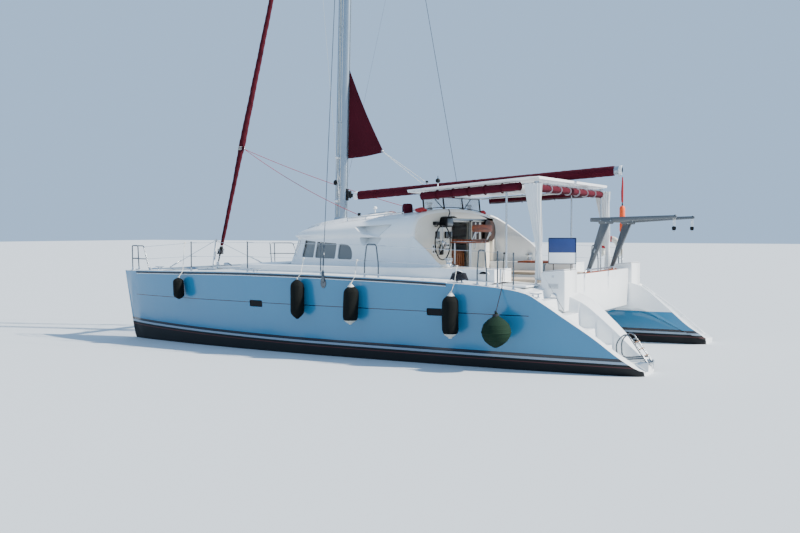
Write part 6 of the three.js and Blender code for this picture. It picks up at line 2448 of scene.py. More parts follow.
def rolled(start, end, radius, straps, phase=0.0, lap=-0.6):
    """A roll's surface: r = radius (1 + slack between straps - lap step + fine creases + sag)."""
    start, end = np.array(start), np.array(end)
    length = np.linalg.norm(end - start)
    s = np.linspace(0, 1, 190)
    a = np.linspace(0, 2 * np.pi, 41)[:-1]
    slack = 0.085 * np.abs(np.sin(np.pi * straps * s)) ** 0.6 - 0.05
    turn = ((a[None] - lap) / (2 * np.pi)) % 1.0
    crease = 0.022 * np.sin(11 * a[None] + 40 * s[:, None] + phase) * np.sin(60 * s[:, None] + 2 * a[None])
    sag = 0.06 * np.clip(-np.sin(a), 0, 1)[None] * np.abs(np.sin(np.pi * straps * s))[:, None]
    r = radius * (1 + slack[:, None] - 0.10 * turn + crease + sag)
    r *= np.clip(np.minimum(s, 1 - s) * length / 0.02, 0.90, 1)[:, None]
    along = (end - start) / length
    side = np.cross(along, (0, 0, 1))
    side /= np.linalg.norm(side)
    up = np.cross(side, along)
    ring = np.cos(a)[None, :, None] * side + np.sin(a)[None, :, None] * up
    points = start + s[:, None, None] * (end - start) + r[..., None] * ring
    return points, along


def awning(name, start, end, radius, straps, replaces, outer, inner, side):
    """The roll, with its lining showing between two columns of its skin on its lower side in a dark tone that
    paints the shade under the roll, its end whorls and its straps.
    """
    points, along = rolled(start, end, radius, straps)
    skin = grid(points, ring=True)
    columns = points.shape[1]
    column = np.arange(len(skin.faces)) % columns
    shown = (column > inner[0]) & (column < inner[1])
    whorls = NOTHING
    for place, out in ((np.array(start), -along), (np.array(end), along)):
        a = np.linspace(0, 7 * 2 * np.pi, 260)
        r = radius * (0.97 - 0.90 * a / a[-1])
        across = np.cross(along, (0, 0, 1))
        spiral = (
            place + out * 0.006
            + r[:, None] * (np.cos(a)[:, None] * across + np.sin(a)[:, None] * np.array([0, 0, 1.0]))
        )
        whorls += carried(spiral, circle(1.0, 6) * [0.0048, 0.010], up=tuple(along))
        whorls += carried([place - out * 0.02, place], circle(radius * 0.93, 32))
    bands = NOTHING
    for k in range(1, straps):
        place = np.array(start) + (np.array(end) - np.array(start)) * k / straps
        a = np.linspace(0, 2 * np.pi, 41)
        across = np.cross(along, (0, 0, 1))
        loop = (
            place
            + radius * 0.985
            * (
                np.cos(a)[:, None] * across
                + np.sin(a)[:, None] * np.array([0, 0, 1.0]) * (1 + 0.05 * (np.sin(a)[:, None] < 0))
            )
        )
        bands += carried(
            loop, rectangle(-0.0015, 0.0015, -0.016, 0.016, 0.001, 2), up=tuple(along), ends=False
        )
        bands += tube([loop[10], loop[10] + [0, 0, 0.05]], 0.006, 8)
    made = piece(
        name,
        [
            (outer, part_of(skin, ~shown)), (lining_painted_shade, part_of(skin, shown)), (outer, whorls),
            (side, bands)
        ],
        replaces=replaces, crease=60
    )
    return made


roll_end = lambda x, s: (x, s * (rail_y(x) + ROLL["out"]), under(x) - ROLL["down"])
awning(
    "port_awning_roll", roll_end(ROLL["front"], 1), roll_end(ROLL["aft"], 1), ROLL["radius"], 6,
    "port_canvas_roll", burgundy, (24, 33), burgundy
)
awning(
    "starboard_awning_roll", roll_end(ROLL["front"], -1), roll_end(ROLL["aft"], -1), ROLL["radius"], 6,
    "starboard_canvas_roll", burgundy, (28, 37), burgundy
)
aft_z = under(FRAME["aft"]) - 0.016 - 0.070 - 0.004
awning(
    "aft_awning_roll", (-3.6, 1.85, aft_z), (-3.6, -1.85, aft_z), 0.070, 7, "aft_canvas_roll", burgundy,
    (20, 28), lining
)

# %% [markdown]
# Curtains hang at the two aft corners, gathered round the posts and tied. A gathered cloth keeps its width
# in folds, so the outline is a wave round an oval: pressed flat where it is tied, deeper above and below.

# %% Corner curtains
TIE_Z, CURTAIN_Y = 1.96, 2.075
CURTAIN_ROWS = [
    (1.480, -3.700, 0.078, 0.056), (1.800, -3.712, 0.066, 0.052), (1.960, -3.705, 0.050, 0.045),
    (2.200, -3.690, 0.080, 0.058), (2.550, -3.650, 0.112, 0.060), (2.900, -3.610, 0.150, 0.062),
    (3.190, -3.590, 0.190, 0.062)
]
z = np.linspace(1.485, 3.185, 120)
cx, half_x, half_y = (np.interp(z, *np.array(CURTAIN_ROWS)[:, [0, k]].T) for k in (1, 2, 3))
a = np.linspace(math.radians(-178), math.radians(178), 240)
FOLDS = 13
depth = np.interp(z, [1.48, 1.96, 2.3, 3.19], [0.26, 0.10, 0.24, 0.20])[:, None]
wander = 0.35 * np.sin(2.1 * z)[:, None] + 0.25 * np.sin(3 * a)[None]
share = (
    0.92 - depth * (0.5 + 0.5 * np.cos(FOLDS * a[None] + wander * 4))
    + 0.03 * np.sin(5 * a[None] + 7 * z[:, None])
)
tied = np.exp(-((z - TIE_Z) / 0.035) ** 2)[:, None]
share = share * (1 - 0.14 * tied)
for side, s in (("port", 1), ("starboard", -1)):
    px = cx[:, None] + half_x[:, None] * share * np.cos(a)[None]
    py = CURTAIN_Y + half_y[:, None] * share * np.sin(a)[None]
    pz = np.broadcast_to(z[:, None], px.shape) + 0.012 * np.sin(2 * a)[None] * (z[:, None] < 1.6)
    cloth = grid(np.stack([px, s * py, pz], -1))
    step = np.linalg.norm(np.diff(np.stack([px, py], -1), axis=1), axis=2).sum(1)
    made = piece(
        f"{side}_corner_curtain", cloth, replaces=f"{side}_curtain", finish=curtain_cloth, crease=70,
        modifiers=[("SOLIDIFY", {"thickness": 0.0022, "offset": 0.0})]
    )
    loop = np.stack(
        [-3.705 + 0.050 * np.cos(a), s * (CURTAIN_Y + 0.046 * np.sin(a)), np.full(len(a), TIE_Z)], 1
    )
    piece(
        f"{side}_curtain_tie",
        carried(loop, rectangle(-0.002, 0.002, -0.014, 0.014, 0.001, 2), up=(0, 0, 1)),
        finish=curtain_cloth
    )
# %% [markdown]
# Between the bows there is no deck but netting: cords crossing every 45 mm, bound by a thicker rope and
# laced to the hulls, the walkway, the beam and the deck's edge. Real cords let the floor show through.

# %% Trampoline nets
NET_EDGE = np.array([(2.94, 0.205), (5.14, 0.205), (5.14, 2.20), (4.60, 2.09), (3.80, 1.95), (2.98, 1.85)])
NET_Z, MESH, CORD = 1.407, 0.045, 0.0023


def inset(outline, by):
    """An outline drawn in by a distance along each corner's two edge normals."""
    before, after = outline - np.roll(outline, 1, 0), np.roll(outline, -1, 0) - outline
    normal = lambda e: np.stack([-e[:, 1], e[:, 0]], 1) / np.linalg.norm(e, axis=1)[:, None]
    n0, n1 = normal(before), normal(after)
    middle = (n0 + n1) / (1 + (n0 * n1).sum(1))[:, None]
    return outline + middle * by


def crossings(outline, axis, level):
    """Where the line of one coordinate at that level enters and leaves an outline."""
    a, b = outline[:, axis], np.roll(outline, -1, 0)[:, axis]
    p, q = outline[:, 1 - axis], np.roll(outline, -1, 0)[:, 1 - axis]
    hit = (a - level) * (b - level) < 0
    return np.sort(p[hit] + (q[hit] - p[hit]) * (level - a[hit]) / (b[hit] - a[hit]))


def hang(x, y):
    """The net sags 25 mm in its middle under its own weight."""
    return (
        NET_Z
        - 0.025 * np.clip(np.sin(np.pi * (x - 2.94) / 2.2), 0, 1)
        * np.clip(np.sin(np.pi * (y - 0.2) / 2.0), 0, 1)
    )


border = inset(NET_EDGE, 0.035)
cords = NOTHING
square = circle(1.0, 4)
for axis in (0, 1):
    low, high = border[:, axis].min(), border[:, axis].max()
    for level in np.arange(low + MESH / 2, high, MESH):
        ends = crossings(border, axis, level)
        if len(ends) == 2 and ends[1] - ends[0] > MESH:
            run = np.linspace(*ends, 11)
            x, y = (np.full(11, level), run) if axis == 0 else (run, np.full(11, level))
            lift = CORD * (0.8 if axis else -0.8)
            cords += carried(np.stack([x, y, hang(x, y) + lift], 1), square * CORD, up=(0, 0, 1))


def around(outline, step):
    """Points spaced evenly along a closed outline."""
    closed = np.vstack([outline, outline[:1]])
    far = np.concatenate([[0], np.cumsum(np.linalg.norm(np.diff(closed, axis=0), axis=1))])
    at = np.arange(0, far[-1], step)
    return np.stack([np.interp(at, far, closed[:, k]) for k in (0, 1)], 1)


rope_line = around(rounded(border.tolist(), 0.05), 0.05)
bolt_rope = carried(
    np.column_stack([rope_line, hang(*rope_line.T) + 0.001]).tolist() + [[*rope_line[0], NET_Z]],
    circle(0.0075, 8), up=(0, 0, 1)
)
inner, outer = around(border, 0.09), around(inset(NET_EDGE, -0.006), 0.09)
nearest = outer[np.linalg.norm(inner[:, None] - outer[None], axis=2).argmin(1)]
zigzag = np.empty((2 * len(inner), 3))
zigzag[0::2] = np.column_stack([inner, np.full(len(inner), NET_Z + 0.004)])
zigzag[1::2] = np.column_stack([nearest, np.full(len(inner), NET_Z + 0.010)])
lacing_cord = carried(zigzag, circle(0.0034, 5), up=(0, 0, 1))
both_sides("net", [(net_cord, cords), (white_rope, bolt_rope + lacing_cord)], replaces="SIDE_trampoline")

# %% [markdown]
# The forward crossbeam is a round alloy spar between the bows, held up against the forestay's pull by a
# striker: a short white strut with two stays spread from its head like the legs of a compass.

# %% Crossbeam, striker, windlass and rollers
BEAM_X, BEAM_Z, BEAM_R = 5.25, 1.42, 0.089
beam = lathe([(0, -2.30), (BEAM_R, -2.295), (BEAM_R, 2.295), (0, 2.30)], (BEAM_X, 0, BEAM_Z), "y", 40)
track = slab(
    rectangle(BEAM_X - 0.020, BEAM_X + 0.020, -2.20, 2.20, 0.006), BEAM_Z + BEAM_R - 0.004,
    BEAM_Z + BEAM_R + 0.006, 0.002
)
collars = saddles = NOTHING
for s in (1, -1):
    collars += lathe(
        [
            (0, -0.05), (BEAM_R + 0.020, -0.05), (BEAM_R + 0.022, -0.03), (BEAM_R + 0.010, 0.05),
            (BEAM_R + 0.001, 0.055), (0, 0.055)
        ],
        (BEAM_X, s * 2.235, BEAM_Z), "y", 36
    )
    saddles += lathe(disc(BEAM_R + 0.008, -0.022, 0.022), (BEAM_X, s * 1.70, BEAM_Z), "y", 36)
    saddles += tube([(5.27, s * 1.70, 1.49), (5.275, s * 1.68, 1.525)], 0.012, 10)
for y in (-0.95, 0.95, -0.35, 0.35):
    saddles += lathe(disc(BEAM_R + 0.006, -0.012, 0.012), (BEAM_X, y, BEAM_Z), "y", 36)
head, strut_foot = np.array([5.35, 0, 2.12]), np.array([5.44, 0, 1.46])
foot_plate = slab(rectangle(5.17, 5.36, -0.07, 0.07, 0.02), 1.502, 1.520, 0.005)
tack_plate = slab(
    rounded([(5.255, 1.515), (5.345, 1.515), (5.335, 1.585), (5.285, 1.60)], 0.02), -0.012, 0.012,
    0.003, "y"
)
strut = carried([strut_foot, head + [0, 0, -0.01]], circle(1.0, 20), sizes=[0.029, 0.026])
outrigger = slab(
    rounded([(5.31, 1.395), (5.47, 1.425), (5.475, 1.485), (5.31, 1.475)], 0.02), -0.034, 0.034, 0.010,
    "y"
)
strut_head = lathe(
    [(0, -0.045), (0.028, -0.04), (0.034, -0.015), (0.034, 0.012), (0.020, 0.028), (0, 0.032)], head,
    sides=24
)
stays = sum(
    wire(head, (5.27, s * 1.70, 1.515), 0.0062)
    + bottle_screw((5.27, s * 1.70, 1.525), head, 0.01, 0.30)
    for s in (1, -1)
)
piece(
    "forward_beam",
    [
        (spar, beam + track), (white, strut),
        (steel, collars + saddles + strut_head + foot_plate + tack_plate + stays + outrigger)
    ],
    replaces="forward_crossbeam"
)

windlass_body = slab(
    rounded([(2.98, -0.11), (3.26, -0.11), (3.30, 0.0), (3.26, 0.11), (2.98, 0.11)], 0.04), 1.499, 1.60,
    0.02, crown=0.012
)
gypsy = lathe(
    [
        (0, 0.10), (0.060, 0.10), (0.066, 0.108), (0.046, 0.122), (0.046, 0.130), (0.066, 0.144),
        (0.060, 0.152), (0.030, 0.156), (0, 0.158)
    ],
    (3.13, 0, 1.572), "y", 28
)
drum_head = lathe(
    [
        (0, -0.185), (0.044, -0.185), (0.048, -0.178), (0.034, -0.150), (0.034, -0.135),
        (0.050, -0.108), (0, -0.108)
    ],
    (3.13, 0, 1.572), "y", 28
)
roller_cheeks = sum(
    slab(
        rounded([(4.95, 1.498), (5.16, 1.498), (5.155, 1.565), (5.08, 1.585), (4.95, 1.52)], 0.02), y,
        y + 0.006, 0.002, "y"
    )
    for y in (-0.110, -0.046)
)
roller = lathe(
    [(0, -0.026), (0.034, -0.026), (0.020, 0), (0.034, 0.026), (0, 0.026)], (5.10, -0.075, 1.535), "y",
    24
)
roller_bed = slab(rectangle(4.80, 5.155, -0.11, -0.04, 0.01), 1.499, 1.505, 0.002)
walk_pad = slab(rectangle(3.38, 4.78, -0.165, 0.165, 0.03), 1.4995, 1.504, 0.002)
piece(
    "windlass",
    [
        (grey_plastic, windlass_body), (steel, gypsy + drum_head + roller_cheeks + roller_bed),
        (black_plastic, roller), (nonskid, walk_pad)
    ]
)
# %% [markdown]
# Guard rails run down each side: a pulpit at the bow, stanchions on the deck's edge, hoops at the boarding
# gates and two wires through them all. The tubes are bent, never mitred, so every corner is a small arc.

# %% Pulpits, stanchions and lifelines
STANCHIONS = [
    (3.53, 2.96, 1.509), (1.96, 3.11, 1.527), (0.19, 3.18, 1.513), (-0.77, 3.185, 1.494),
    (-1.06, 3.185, 1.489), (-3.00, 3.16, 1.410), (-3.17, 3.155, 1.402), (-3.37, 3.15, 1.392),
    (-3.65, 3.13, 1.370)
]
RAIL_HIGH, RAIL_LOW, POST = 0.60, 0.31, 0.0125
TOP_WIRE = RAIL_HIGH - 0.012
GATES = ((3, 4), (5, 6))


def foot_of(x, y):
    """A welded base: flange, two bolts and the socket. The deck's height there comes with it."""
    z = float(deck_z(np.array(x), min(y, float(lines_at(np.array(x))[5]) - 0.03)))
    base = slab(rectangle(x - 0.045, x + 0.045, y - 0.032, y + 0.032, 0.02), z - 0.004, z + 0.006, 0.002)
    socket = lathe(
        [(0, 0.004), (0.023, 0.004), (0.021, 0.020), (0.0165, 0.045), (0.0165, 0.075), (0, 0.078)],
        (x, y, z), sides=18
    )
    screws = sum(
        lathe([(0, 0.005), (0.007, 0.005), (0.005, 0.009), (0, 0.010)], (x + dx, y, z), sides=10)
        for dx in (-0.034, 0.034)
    )
    return base + socket + screws, z


posts = bases = wires = NOTHING
gate_posts = {k for pair in GATES for k in pair}
for k, (x, y, z) in enumerate(STANCHIONS):
    base, foot = foot_of(x, y)
    bases += base
    if k not in gate_posts:
        posts += tube([(x, y, foot), (x, y, z + RAIL_HIGH + 0.004)], POST, 14)
        posts += lathe(
            [(0, -0.012), (0.015, -0.012), (0.016, 0), (0.011, 0.010), (0, 0.013)],
            (x, y, z + RAIL_HIGH + 0.006), sides=16
        )
    for high in (RAIL_LOW, TOP_WIRE):
        posts += torus((x, y - 0.001, z + high), POST + 0.002, 0.003, "z", 16, 6)
for first, second in GATES:
    (xa, ya, za), (xb, yb, zb) = STANCHIONS[first], STANCHIONS[second]
    lean = 0.16 * abs(xa - xb)
    hoop = [
        (xa, ya, za), (xa, ya, za + 0.25), (xa - lean, ya, za + RAIL_HIGH + 0.01),
        (xb + lean, yb, zb + RAIL_HIGH + 0.01), (xb, yb, zb + 0.25), (xb, yb, zb)
    ]
    posts += tube(hoop, POST, 14, 0.045, steps=8)
legs = [(4.84, 2.79), (5.52, 2.60)]
for x, y in legs:
    base, foot = foot_of(x, y)
    bases += base
pulpit_top = [
    (4.84, 2.79, 1.48), (5.04, 2.76, 2.02), (5.54, 2.592, 2.02), (5.60, 2.47, 2.02), (5.54, 2.42, 2.02),
    (5.50, 2.43, 1.46)
]
posts += tube(pulpit_top, POST, 14, 0.055, steps=8)
posts += tube([(5.52, 2.60, 1.46), (5.53, 2.598, 2.015)], POST, 14)
posts += tube(
    [(4.940, 2.776, 1.74), (5.54, 2.592, 1.74), (5.60, 2.47, 1.74), (5.525, 2.425, 1.74)], POST * 0.9,
    14, 0.05, steps=8
)
inner_foot, _ = foot_of(5.50, 2.43)
bases += inner_foot
for high, front_z in ((TOP_WIRE, 2.00), (RAIL_LOW, 1.74)):
    line = (
        [(5.035 - 0.345 * (2.02 - front_z), 2.76, front_z)]
        + [(x, y, z + high) for x, y, z in STANCHIONS]
    )
    wires += sum(wire(a, b, 0.0036) for a, b in zip(line, line[1:]))
    wires += lathe(disc(0.010, -0.010, 0.010), line[0], sides=12)
    for (ax, ay, az), (bx, by, bz) in zip(line[1:], line[2:]):
        if abs(ax - bx) > 1.0:
            a = np.array([ax, ay, az])
            along = (np.array([bx, by, bz]) - a) / np.linalg.norm(np.array([bx, by, bz]) - a)
            wires += carried(
                [a + along * t for t in (0.03, 0.05, 0.13, 0.16)], circle(1.0, 10),
                sizes=[0.004, 0.0075, 0.0075, 0.004]
            )
both_sides("guard_rails", [(steel_painted_shade, posts), (steel, bases + wires)], replaces="SIDE_rails")
# %% [markdown]
# Each quarter has a raised locker beside the aft beam, between the cockpit and the scoop. Two alloy davits
# of tapering box section stand on the beam, with their blocks. What they would carry is left out.

# %% Quarter lockers and davits
QUARTER = [(-3.88, 1.15), (-4.32, 0.95), (-4.32, 1.67), (-3.88, 1.625)]
locker = slab(rounded(QUARTER, 0.035), 1.79, 2.45, 0.025, "y", steps=4)
locker_lid = slab(
    rounded([(-4.29, 1.672), (-3.91, 1.632), (-3.91, 1.645), (-4.29, 1.686)], 0.006), 1.83, 2.41, 0.006,
    "y"
)
lid_seam = slab(
    rounded([(-4.305, 1.664), (-3.895, 1.622), (-3.895, 1.632), (-4.305, 1.674)], 0.003), 1.815, 2.425,
    0.003, "y"
)
latch = lathe(
    [(0, 0.010), (0.018, 0.010), (0.022, 0.004), (0.022, -0.004), (0, -0.004)], (-4.10, 2.452, 1.56),
    "y", 20
)
vent = sum(
    slab(rectangle(-4.20, -4.02, 1.36 + 0.022 * k, 1.368 + 0.022 * k, 0.003), 2.448, 2.456, 0.002, "y")
    for k in range(4)
)
both_sides(
    "quarter_locker", [(white, locker + locker_lid), (grey_plastic, lid_seam + vent), (steel, latch)]
)

DAVIT = {"y": 0.75, "half": 0.029}
arm_outline = [(-4.22, 2.512), (-4.22, 2.588), (-5.80, 2.628), (-5.80, 2.577), (-4.62, 2.502)]
leg_outline = [(-4.135, 1.555), (-4.205, 1.555), (-4.605, 2.53), (-4.425, 2.53)]
arm = slab(rounded(arm_outline, 0.012), DAVIT["y"] - DAVIT["half"], DAVIT["y"] + DAVIT["half"], 0.008, "y")
leg = slab(
    rounded(leg_outline, 0.010), DAVIT["y"] - DAVIT["half"] + 0.002, DAVIT["y"] + DAVIT["half"] - 0.002,
    0.008, "y"
)
cheeks = sum(
    slab(
        rectangle(-4.38, -4.65, 2.47, 2.56, 0.03),
        *sorted((DAVIT["y"] + s * 0.026, DAVIT["y"] + s * 0.032)), 0.002, "y"
    )
    for s in (1, -1)
)
davit_bolts = sum(lathe(disc(0.009, -0.036, 0.036), (x, DAVIT["y"], z), "y", 12)
                  for x, z in ((-4.42, 2.535), (-4.61, 2.535), (-4.52, 2.495)))
davit_foot = slab(
    rectangle(-4.245, -4.10, DAVIT["y"] - 0.065, DAVIT["y"] + 0.065, 0.015), 1.557, 1.567, 0.003
)
davit_foot += slab(
    rounded([(-4.115, 1.562), (-4.235, 1.562), (-4.245, 1.64), (-4.155, 1.64)], 0.01),
    DAVIT["y"] - 0.036, DAVIT["y"] + 0.036, 0.004, "y"
)
sheave_end = lathe(
    [(0, -0.016), (0.030, -0.016), (0.020, 0), (0.030, 0.016), (0, 0.016)], (-5.77, DAVIT["y"], 2.605),
    "y", 20
)
horn = tube(
    [(-4.33, 0.776, 2.00), (-4.33, 0.81, 2.00), (-4.31, 0.81, 1.94), (-4.31, 0.776, 1.94)], 0.008, 8,
    0.01
)
lifting = (
    wire((-5.77, DAVIT["y"], 2.58), (-5.77, DAVIT["y"], 2.42), 0.005)
    + wire((-5.74, DAVIT["y"], 2.58), (-5.74, DAVIT["y"], 2.42), 0.005)
)
davit_block = block(-5.755, DAVIT["y"], 2.39, 1.25)
both_sides(
    "davit_arm",
    [
        (alloy, arm + leg + cheeks), (steel, davit_bolts + davit_foot + horn),
        (black_plastic, sheave_end), (white_rope, lifting), *davit_block
    ],
    replaces="SIDE_davit"
)
cross = tube([(-4.50, -0.722, 2.545), (-4.50, 0.722, 2.545)], 0.017, 14)
piece("davit_crossbar", cross, finish=alloy)

# %% [markdown]
# A board on two thin legs stands on the port quarter. It is blank here: its upper part is blue, its lower
# part white, in a thin black frame, and it faces the quay.

# %% Board on the quarter
BOARD = {"at": (-4.18, 2.20), "half": 0.234, "z": (1.775, 2.22), "turn": 22.0}
frame_line = rectangle(-BOARD["half"], BOARD["half"], *BOARD["z"], 0.012)
middle_z = BOARD["z"][0] + 0.43 * (BOARD["z"][1] - BOARD["z"][0])
half = BOARD["half"] - 0.004
upper = slab(rectangle(-half, half, middle_z, BOARD["z"][1] - 0.004, 0.008), -0.004, 0.004, 0.001, "y")
lower = slab(
    rectangle(-half, half, BOARD["z"][0] + 0.004, middle_z - 0.0005, 0.008), -0.004, 0.004, 0.001, "y"
)
rim = carried(
    [(px, 0, pz) for px, pz in [*frame_line, frame_line[0]]], circle(0.007, 8), up=(0, 1, 0), ends=False
)
board_legs = sum(tube([(px, 0, 1.655), (px, 0, BOARD["z"][1] - 0.02)], 0.007, 10) for px in (-0.15, 0.15))
place = lambda skin: skin.turned((0, 0, 1), BOARD["turn"]).moved(*BOARD["at"], 0)
navy_board = plain("navy board", "hull", tone(34, 58, 116), tone(26, 46, 98), 0.4, grain=6)
piece(
    "quarter_board",
    [
        (navy_board, place(upper)), (white, place(lower)),
        (black_plastic, place(rim + board_legs.moved(0, -0.012, 0)))
    ]
)

# %% [markdown]
# On the starboard quarter stand a marker buoy with two orange floats on its pole and a horseshoe buoy.
# The floats are turned from one profile, and the horseshoe is a section carried round an open oval.

# %% Marker buoy and horseshoe
POLE = (-3.79, -2.90)
pole = lathe(
    [
        (0, 1.50), (0.011, 1.50), (0.011, 2.66), (0.014, 2.68), (0.016, 2.94), (0.010, 2.96),
        (0.008, 3.54), (0, 3.545)
    ],
    (*POLE, 0), sides=16
)
float_shape = lambda low, high, r: lathe(
    [
        (0.012, low), (r * 0.7, low + 0.01), (r, low + 0.05), (r * 0.98, (low + high) / 2),
        (r, high - 0.05), (r * 0.7, high - 0.01), (0.012, high)
    ],
    (*POLE, 0), sides=28
)
flag = lathe(
    [(0.011, 2.97), (0.024, 2.99), (0.027, 3.20), (0.020, 3.40), (0.012, 3.53), (0, 3.54)], (*POLE, 0),
    sides=20
).reshaped(
    lambda p: p + np.stack([0.004 * np.sin(40 * p[:, 2]), 0.004 * np.cos(33 * p[:, 2]), 0 * p[:, 2]], 1)
)
clips = (
    sum(torus((*POLE, z), 0.016, 0.005, "z", 20, 8) for z in (1.72, 1.95))
    + tube([(-3.79, -2.91, 1.72), (-3.68, -3.10, 1.72)], 0.006, 8)
)
clips += tube([(-3.79, -2.91, 1.95), (-3.68, -3.10, 1.95)], 0.006, 8)
piece(
    "marker_buoy",
    [
        (black_plastic, pole),
        (orange, float_shape(2.30, 2.54, 0.058) + float_shape(2.60, 2.90, 0.062)), (red_rope, flag),
        (steel, clips)
    ]
)

t = np.linspace(math.radians(-38), math.radians(218), 60)
shoe_line = np.stack(
    [
        -3.50 + 0.19 * np.cos(t) * (1 + 0.12 * (np.sin(t) < 0)), np.full(60, -3.04),
        1.93 + 0.23 * np.sin(t)
    ],
    1
)
size = 0.058 * np.minimum(1, np.minimum(np.arange(60), np.arange(60)[::-1]) / 3.0 * 0.25 + 0.75)
shoe = carried(shoe_line, circle(1.0, 20) * [0.85, 1.1], sizes=size, up=(0, 1, 0))
straps = NOTHING
for k in (12, 30, 47):
    along = shoe_line[k + 1] - shoe_line[k - 1]
    straps += carried(
        [shoe_line[k] - along * 0.8, shoe_line[k] + along * 0.8], circle(1.0, 20) * [0.85, 1.1],
        sizes=0.0595, up=(0, 1, 0), ends=False
    )
holder = tube(
    [(-3.36, -3.12, 1.99), (-3.42, -3.08, 1.74), (-3.58, -3.08, 1.74), (-3.64, -3.12, 1.95)], 0.006, 8,
    0.03
)
piece("horseshoe_buoy", [(fender_white, shoe), (red_rope, straps), (steel, holder)])

# %% [markdown]
# The swim ladder folds on a pin at the port scoop's end. Each side tube is bent back on itself into a tall
# loop that serves as a handrail, a narrower hoop lies between them, and its rungs are flat wooden treads.

# %% Swim ladder
LADDER = {"x": -5.80, "z": 0.205, "y": (2.40, 2.70), "lean": 0.6}


def ladder_at(along, y, out=0.0):
    c, s = math.cos(LADDER["lean"]), math.sin(LADDER["lean"])
    return np.array([LADDER["x"] + along * s - out * c, y, LADDER["z"] + along * c + out * s])


y0, y1 = LADDER["y"]
# x and z of a handrail loop, from its top back to its own leg
LOOP = [(-5.455, 0.690), (-5.285, 0.530), (-5.300, 0.235), (-5.744, 0.287)]
hoop = sum(
    tube([ladder_at(0, y), *((x, y, z) for x, z in LOOP)], 0.0125, 14, 0.10, steps=10) for y in (y0, y1)
)
second = tube(
    [
        ladder_at(0.03, y0 + 0.035, 0.001), ladder_at(0.455, y0 + 0.035, 0.001),
        ladder_at(0.455, y1 - 0.035, 0.001), ladder_at(0.03, y1 - 0.035, 0.001)
    ],
    0.0105, 14, 0.07, steps=8
)
hinge = tube([(LADDER["x"], y0 - 0.015, LADDER["z"]), (LADDER["x"], y1 + 0.015, LADDER["z"])], 0.0138, 16)
knuckles = sum(lathe(disc(0.0175, -0.018, 0.018), (LADDER["x"], y, LADDER["z"]), "y", 18) for y in (y0, y1))
treads = NOTHING
for k in (1, 2, 3):
    a, b = ladder_at(0.13 * k, y0 + 0.012), ladder_at(0.13 * k, y1 - 0.012)
    across = np.array([math.cos(LADDER["lean"]), 0, -math.sin(LADDER["lean"])])
    treads += carried([a, b], rectangle(-0.022, 0.022, -0.0075, 0.0075, 0.005, 3), up=tuple(across))
piece(
    "ladder_hoops", [(steel_painted_shade, hoop + second + hinge + knuckles), (sole_boards, treads)],
    body="folding_ladder", replaces="swim_ladder"
)
brackets = sum(
    slab(
        rounded(
            [(-5.825, 0.075), (-5.60, 0.10), (-5.60, 0.20), (-5.70, 0.232), (-5.825, 0.232)], 0.015
        ),
        y - 0.020, y + 0.020, 0.005, "y"
    )
    for y in (y0 - 0.040, y1 + 0.040)
)
piece("ladder_brackets", brackets, finish=steel)
# %% [markdown]
# Five fenders hang along the port side in knitted socks: four cylinders and one ball. A sock is a stretched
# cloth, so it follows the fender's turned shape, puckers where it is tied and wrinkles a little at its ends.

# %% Fenders
FENDERS = [
    (3.700, 3.155, 1.383, 0.945, 0.110), (0.585, 3.390, 1.437, 0.698, 0.130),
    (-0.610, 3.405, 1.354, 0.652, 0.140), (-2.620, 3.407, 1.259, 0.509, 0.143)
]
SHAPE = np.array(
    [
        (0.0, 0.16), (0.012, 0.24), (0.04, 0.50), (0.09, 0.80), (0.15, 0.955), (0.25, 1.0), (0.55, 1.0),
        (0.80, 0.995), (0.87, 0.90), (0.93, 0.62), (0.97, 0.34), (0.99, 0.22), (1.0, 0.16)
    ]
)


def turned_sock(
    x, y, top, bottom, radius, shape, start=0.0, end=1.0, count=90, sides=48, wrinkle=0.010, seed=0.0,
    bands=()
):
    """r = radius (shape(t) (1 + creases that fade away from the ends + knit) + raised bands), and t runs
    from the top down."""
    t = np.linspace(start, end, count)
    a = angles(sides)
    r = np.interp(t, *shape.T)
    near_end = np.exp(-t / 0.10) + np.exp(-(1 - t) / 0.10)
    crease = wrinkle * (0.35 + near_end[:, None]) * (
        np.sin(9 * a[None] + seed + 6 * t[:, None])
        + 0.6 * np.sin(14 * a[None] - 9 * t[:, None] + 2 * seed)
    )
    knit = 0.004 * np.sin(110 * t[:, None] + a[None])
    raised = sum(height * np.exp(-((t - at) / wide) ** 2) for at, wide, height in bands) if bands else 0 * t
    full = radius * r[:, None] * (1 + crease + knit) + radius * np.asarray(raised)[:, None]
    lean = 0.012 * np.sin(2.3 * t + seed)[:, None]
    pts = np.stack(
        [
            x + full * np.cos(a)[None] + lean, y + full * np.sin(a)[None],
            np.broadcast_to((top + (bottom - top) * t)[:, None], full.shape)
        ],
        -1
    )
    return grid(pts, ring=True, ends=True)


def fender_rope(x, y, top, z_rail, y_rail, radius=0.0062):
    """From the fender's eye over the deck's edge and up to a lifeline, with a hitch of three turns."""
    edge_z = float(lines_at(np.array(x))[7]) + 0.012
    edge_y = float(lines_at(np.array(x))[5]) + 0.006
    run = carried(
        [
            (x, y, top - 0.01), (x, y - 0.02, top + 0.03), (x, edge_y, edge_z),
            (x, y_rail + 0.008, z_rail)
        ],
        circle(radius, 8)
    )
    turns = sum(
        torus((x + 0.012 * (k - 1), y_rail, z_rail), 0.010, radius * 0.9, "x", 18, 8) for k in range(3)
    )
    eye = torus((x, y, top + 0.010), 0.017, radius, "y", 20, 8)
    return run + turns + eye


def rail_at(x, high):
    """y and z of a lifeline beside a fender."""
    rows = np.array(STANCHIONS)[::-1]
    return float(np.interp(x, rows[:, 0], rows[:, 1])), float(np.interp(x, rows[:, 0], rows[:, 2])) + high


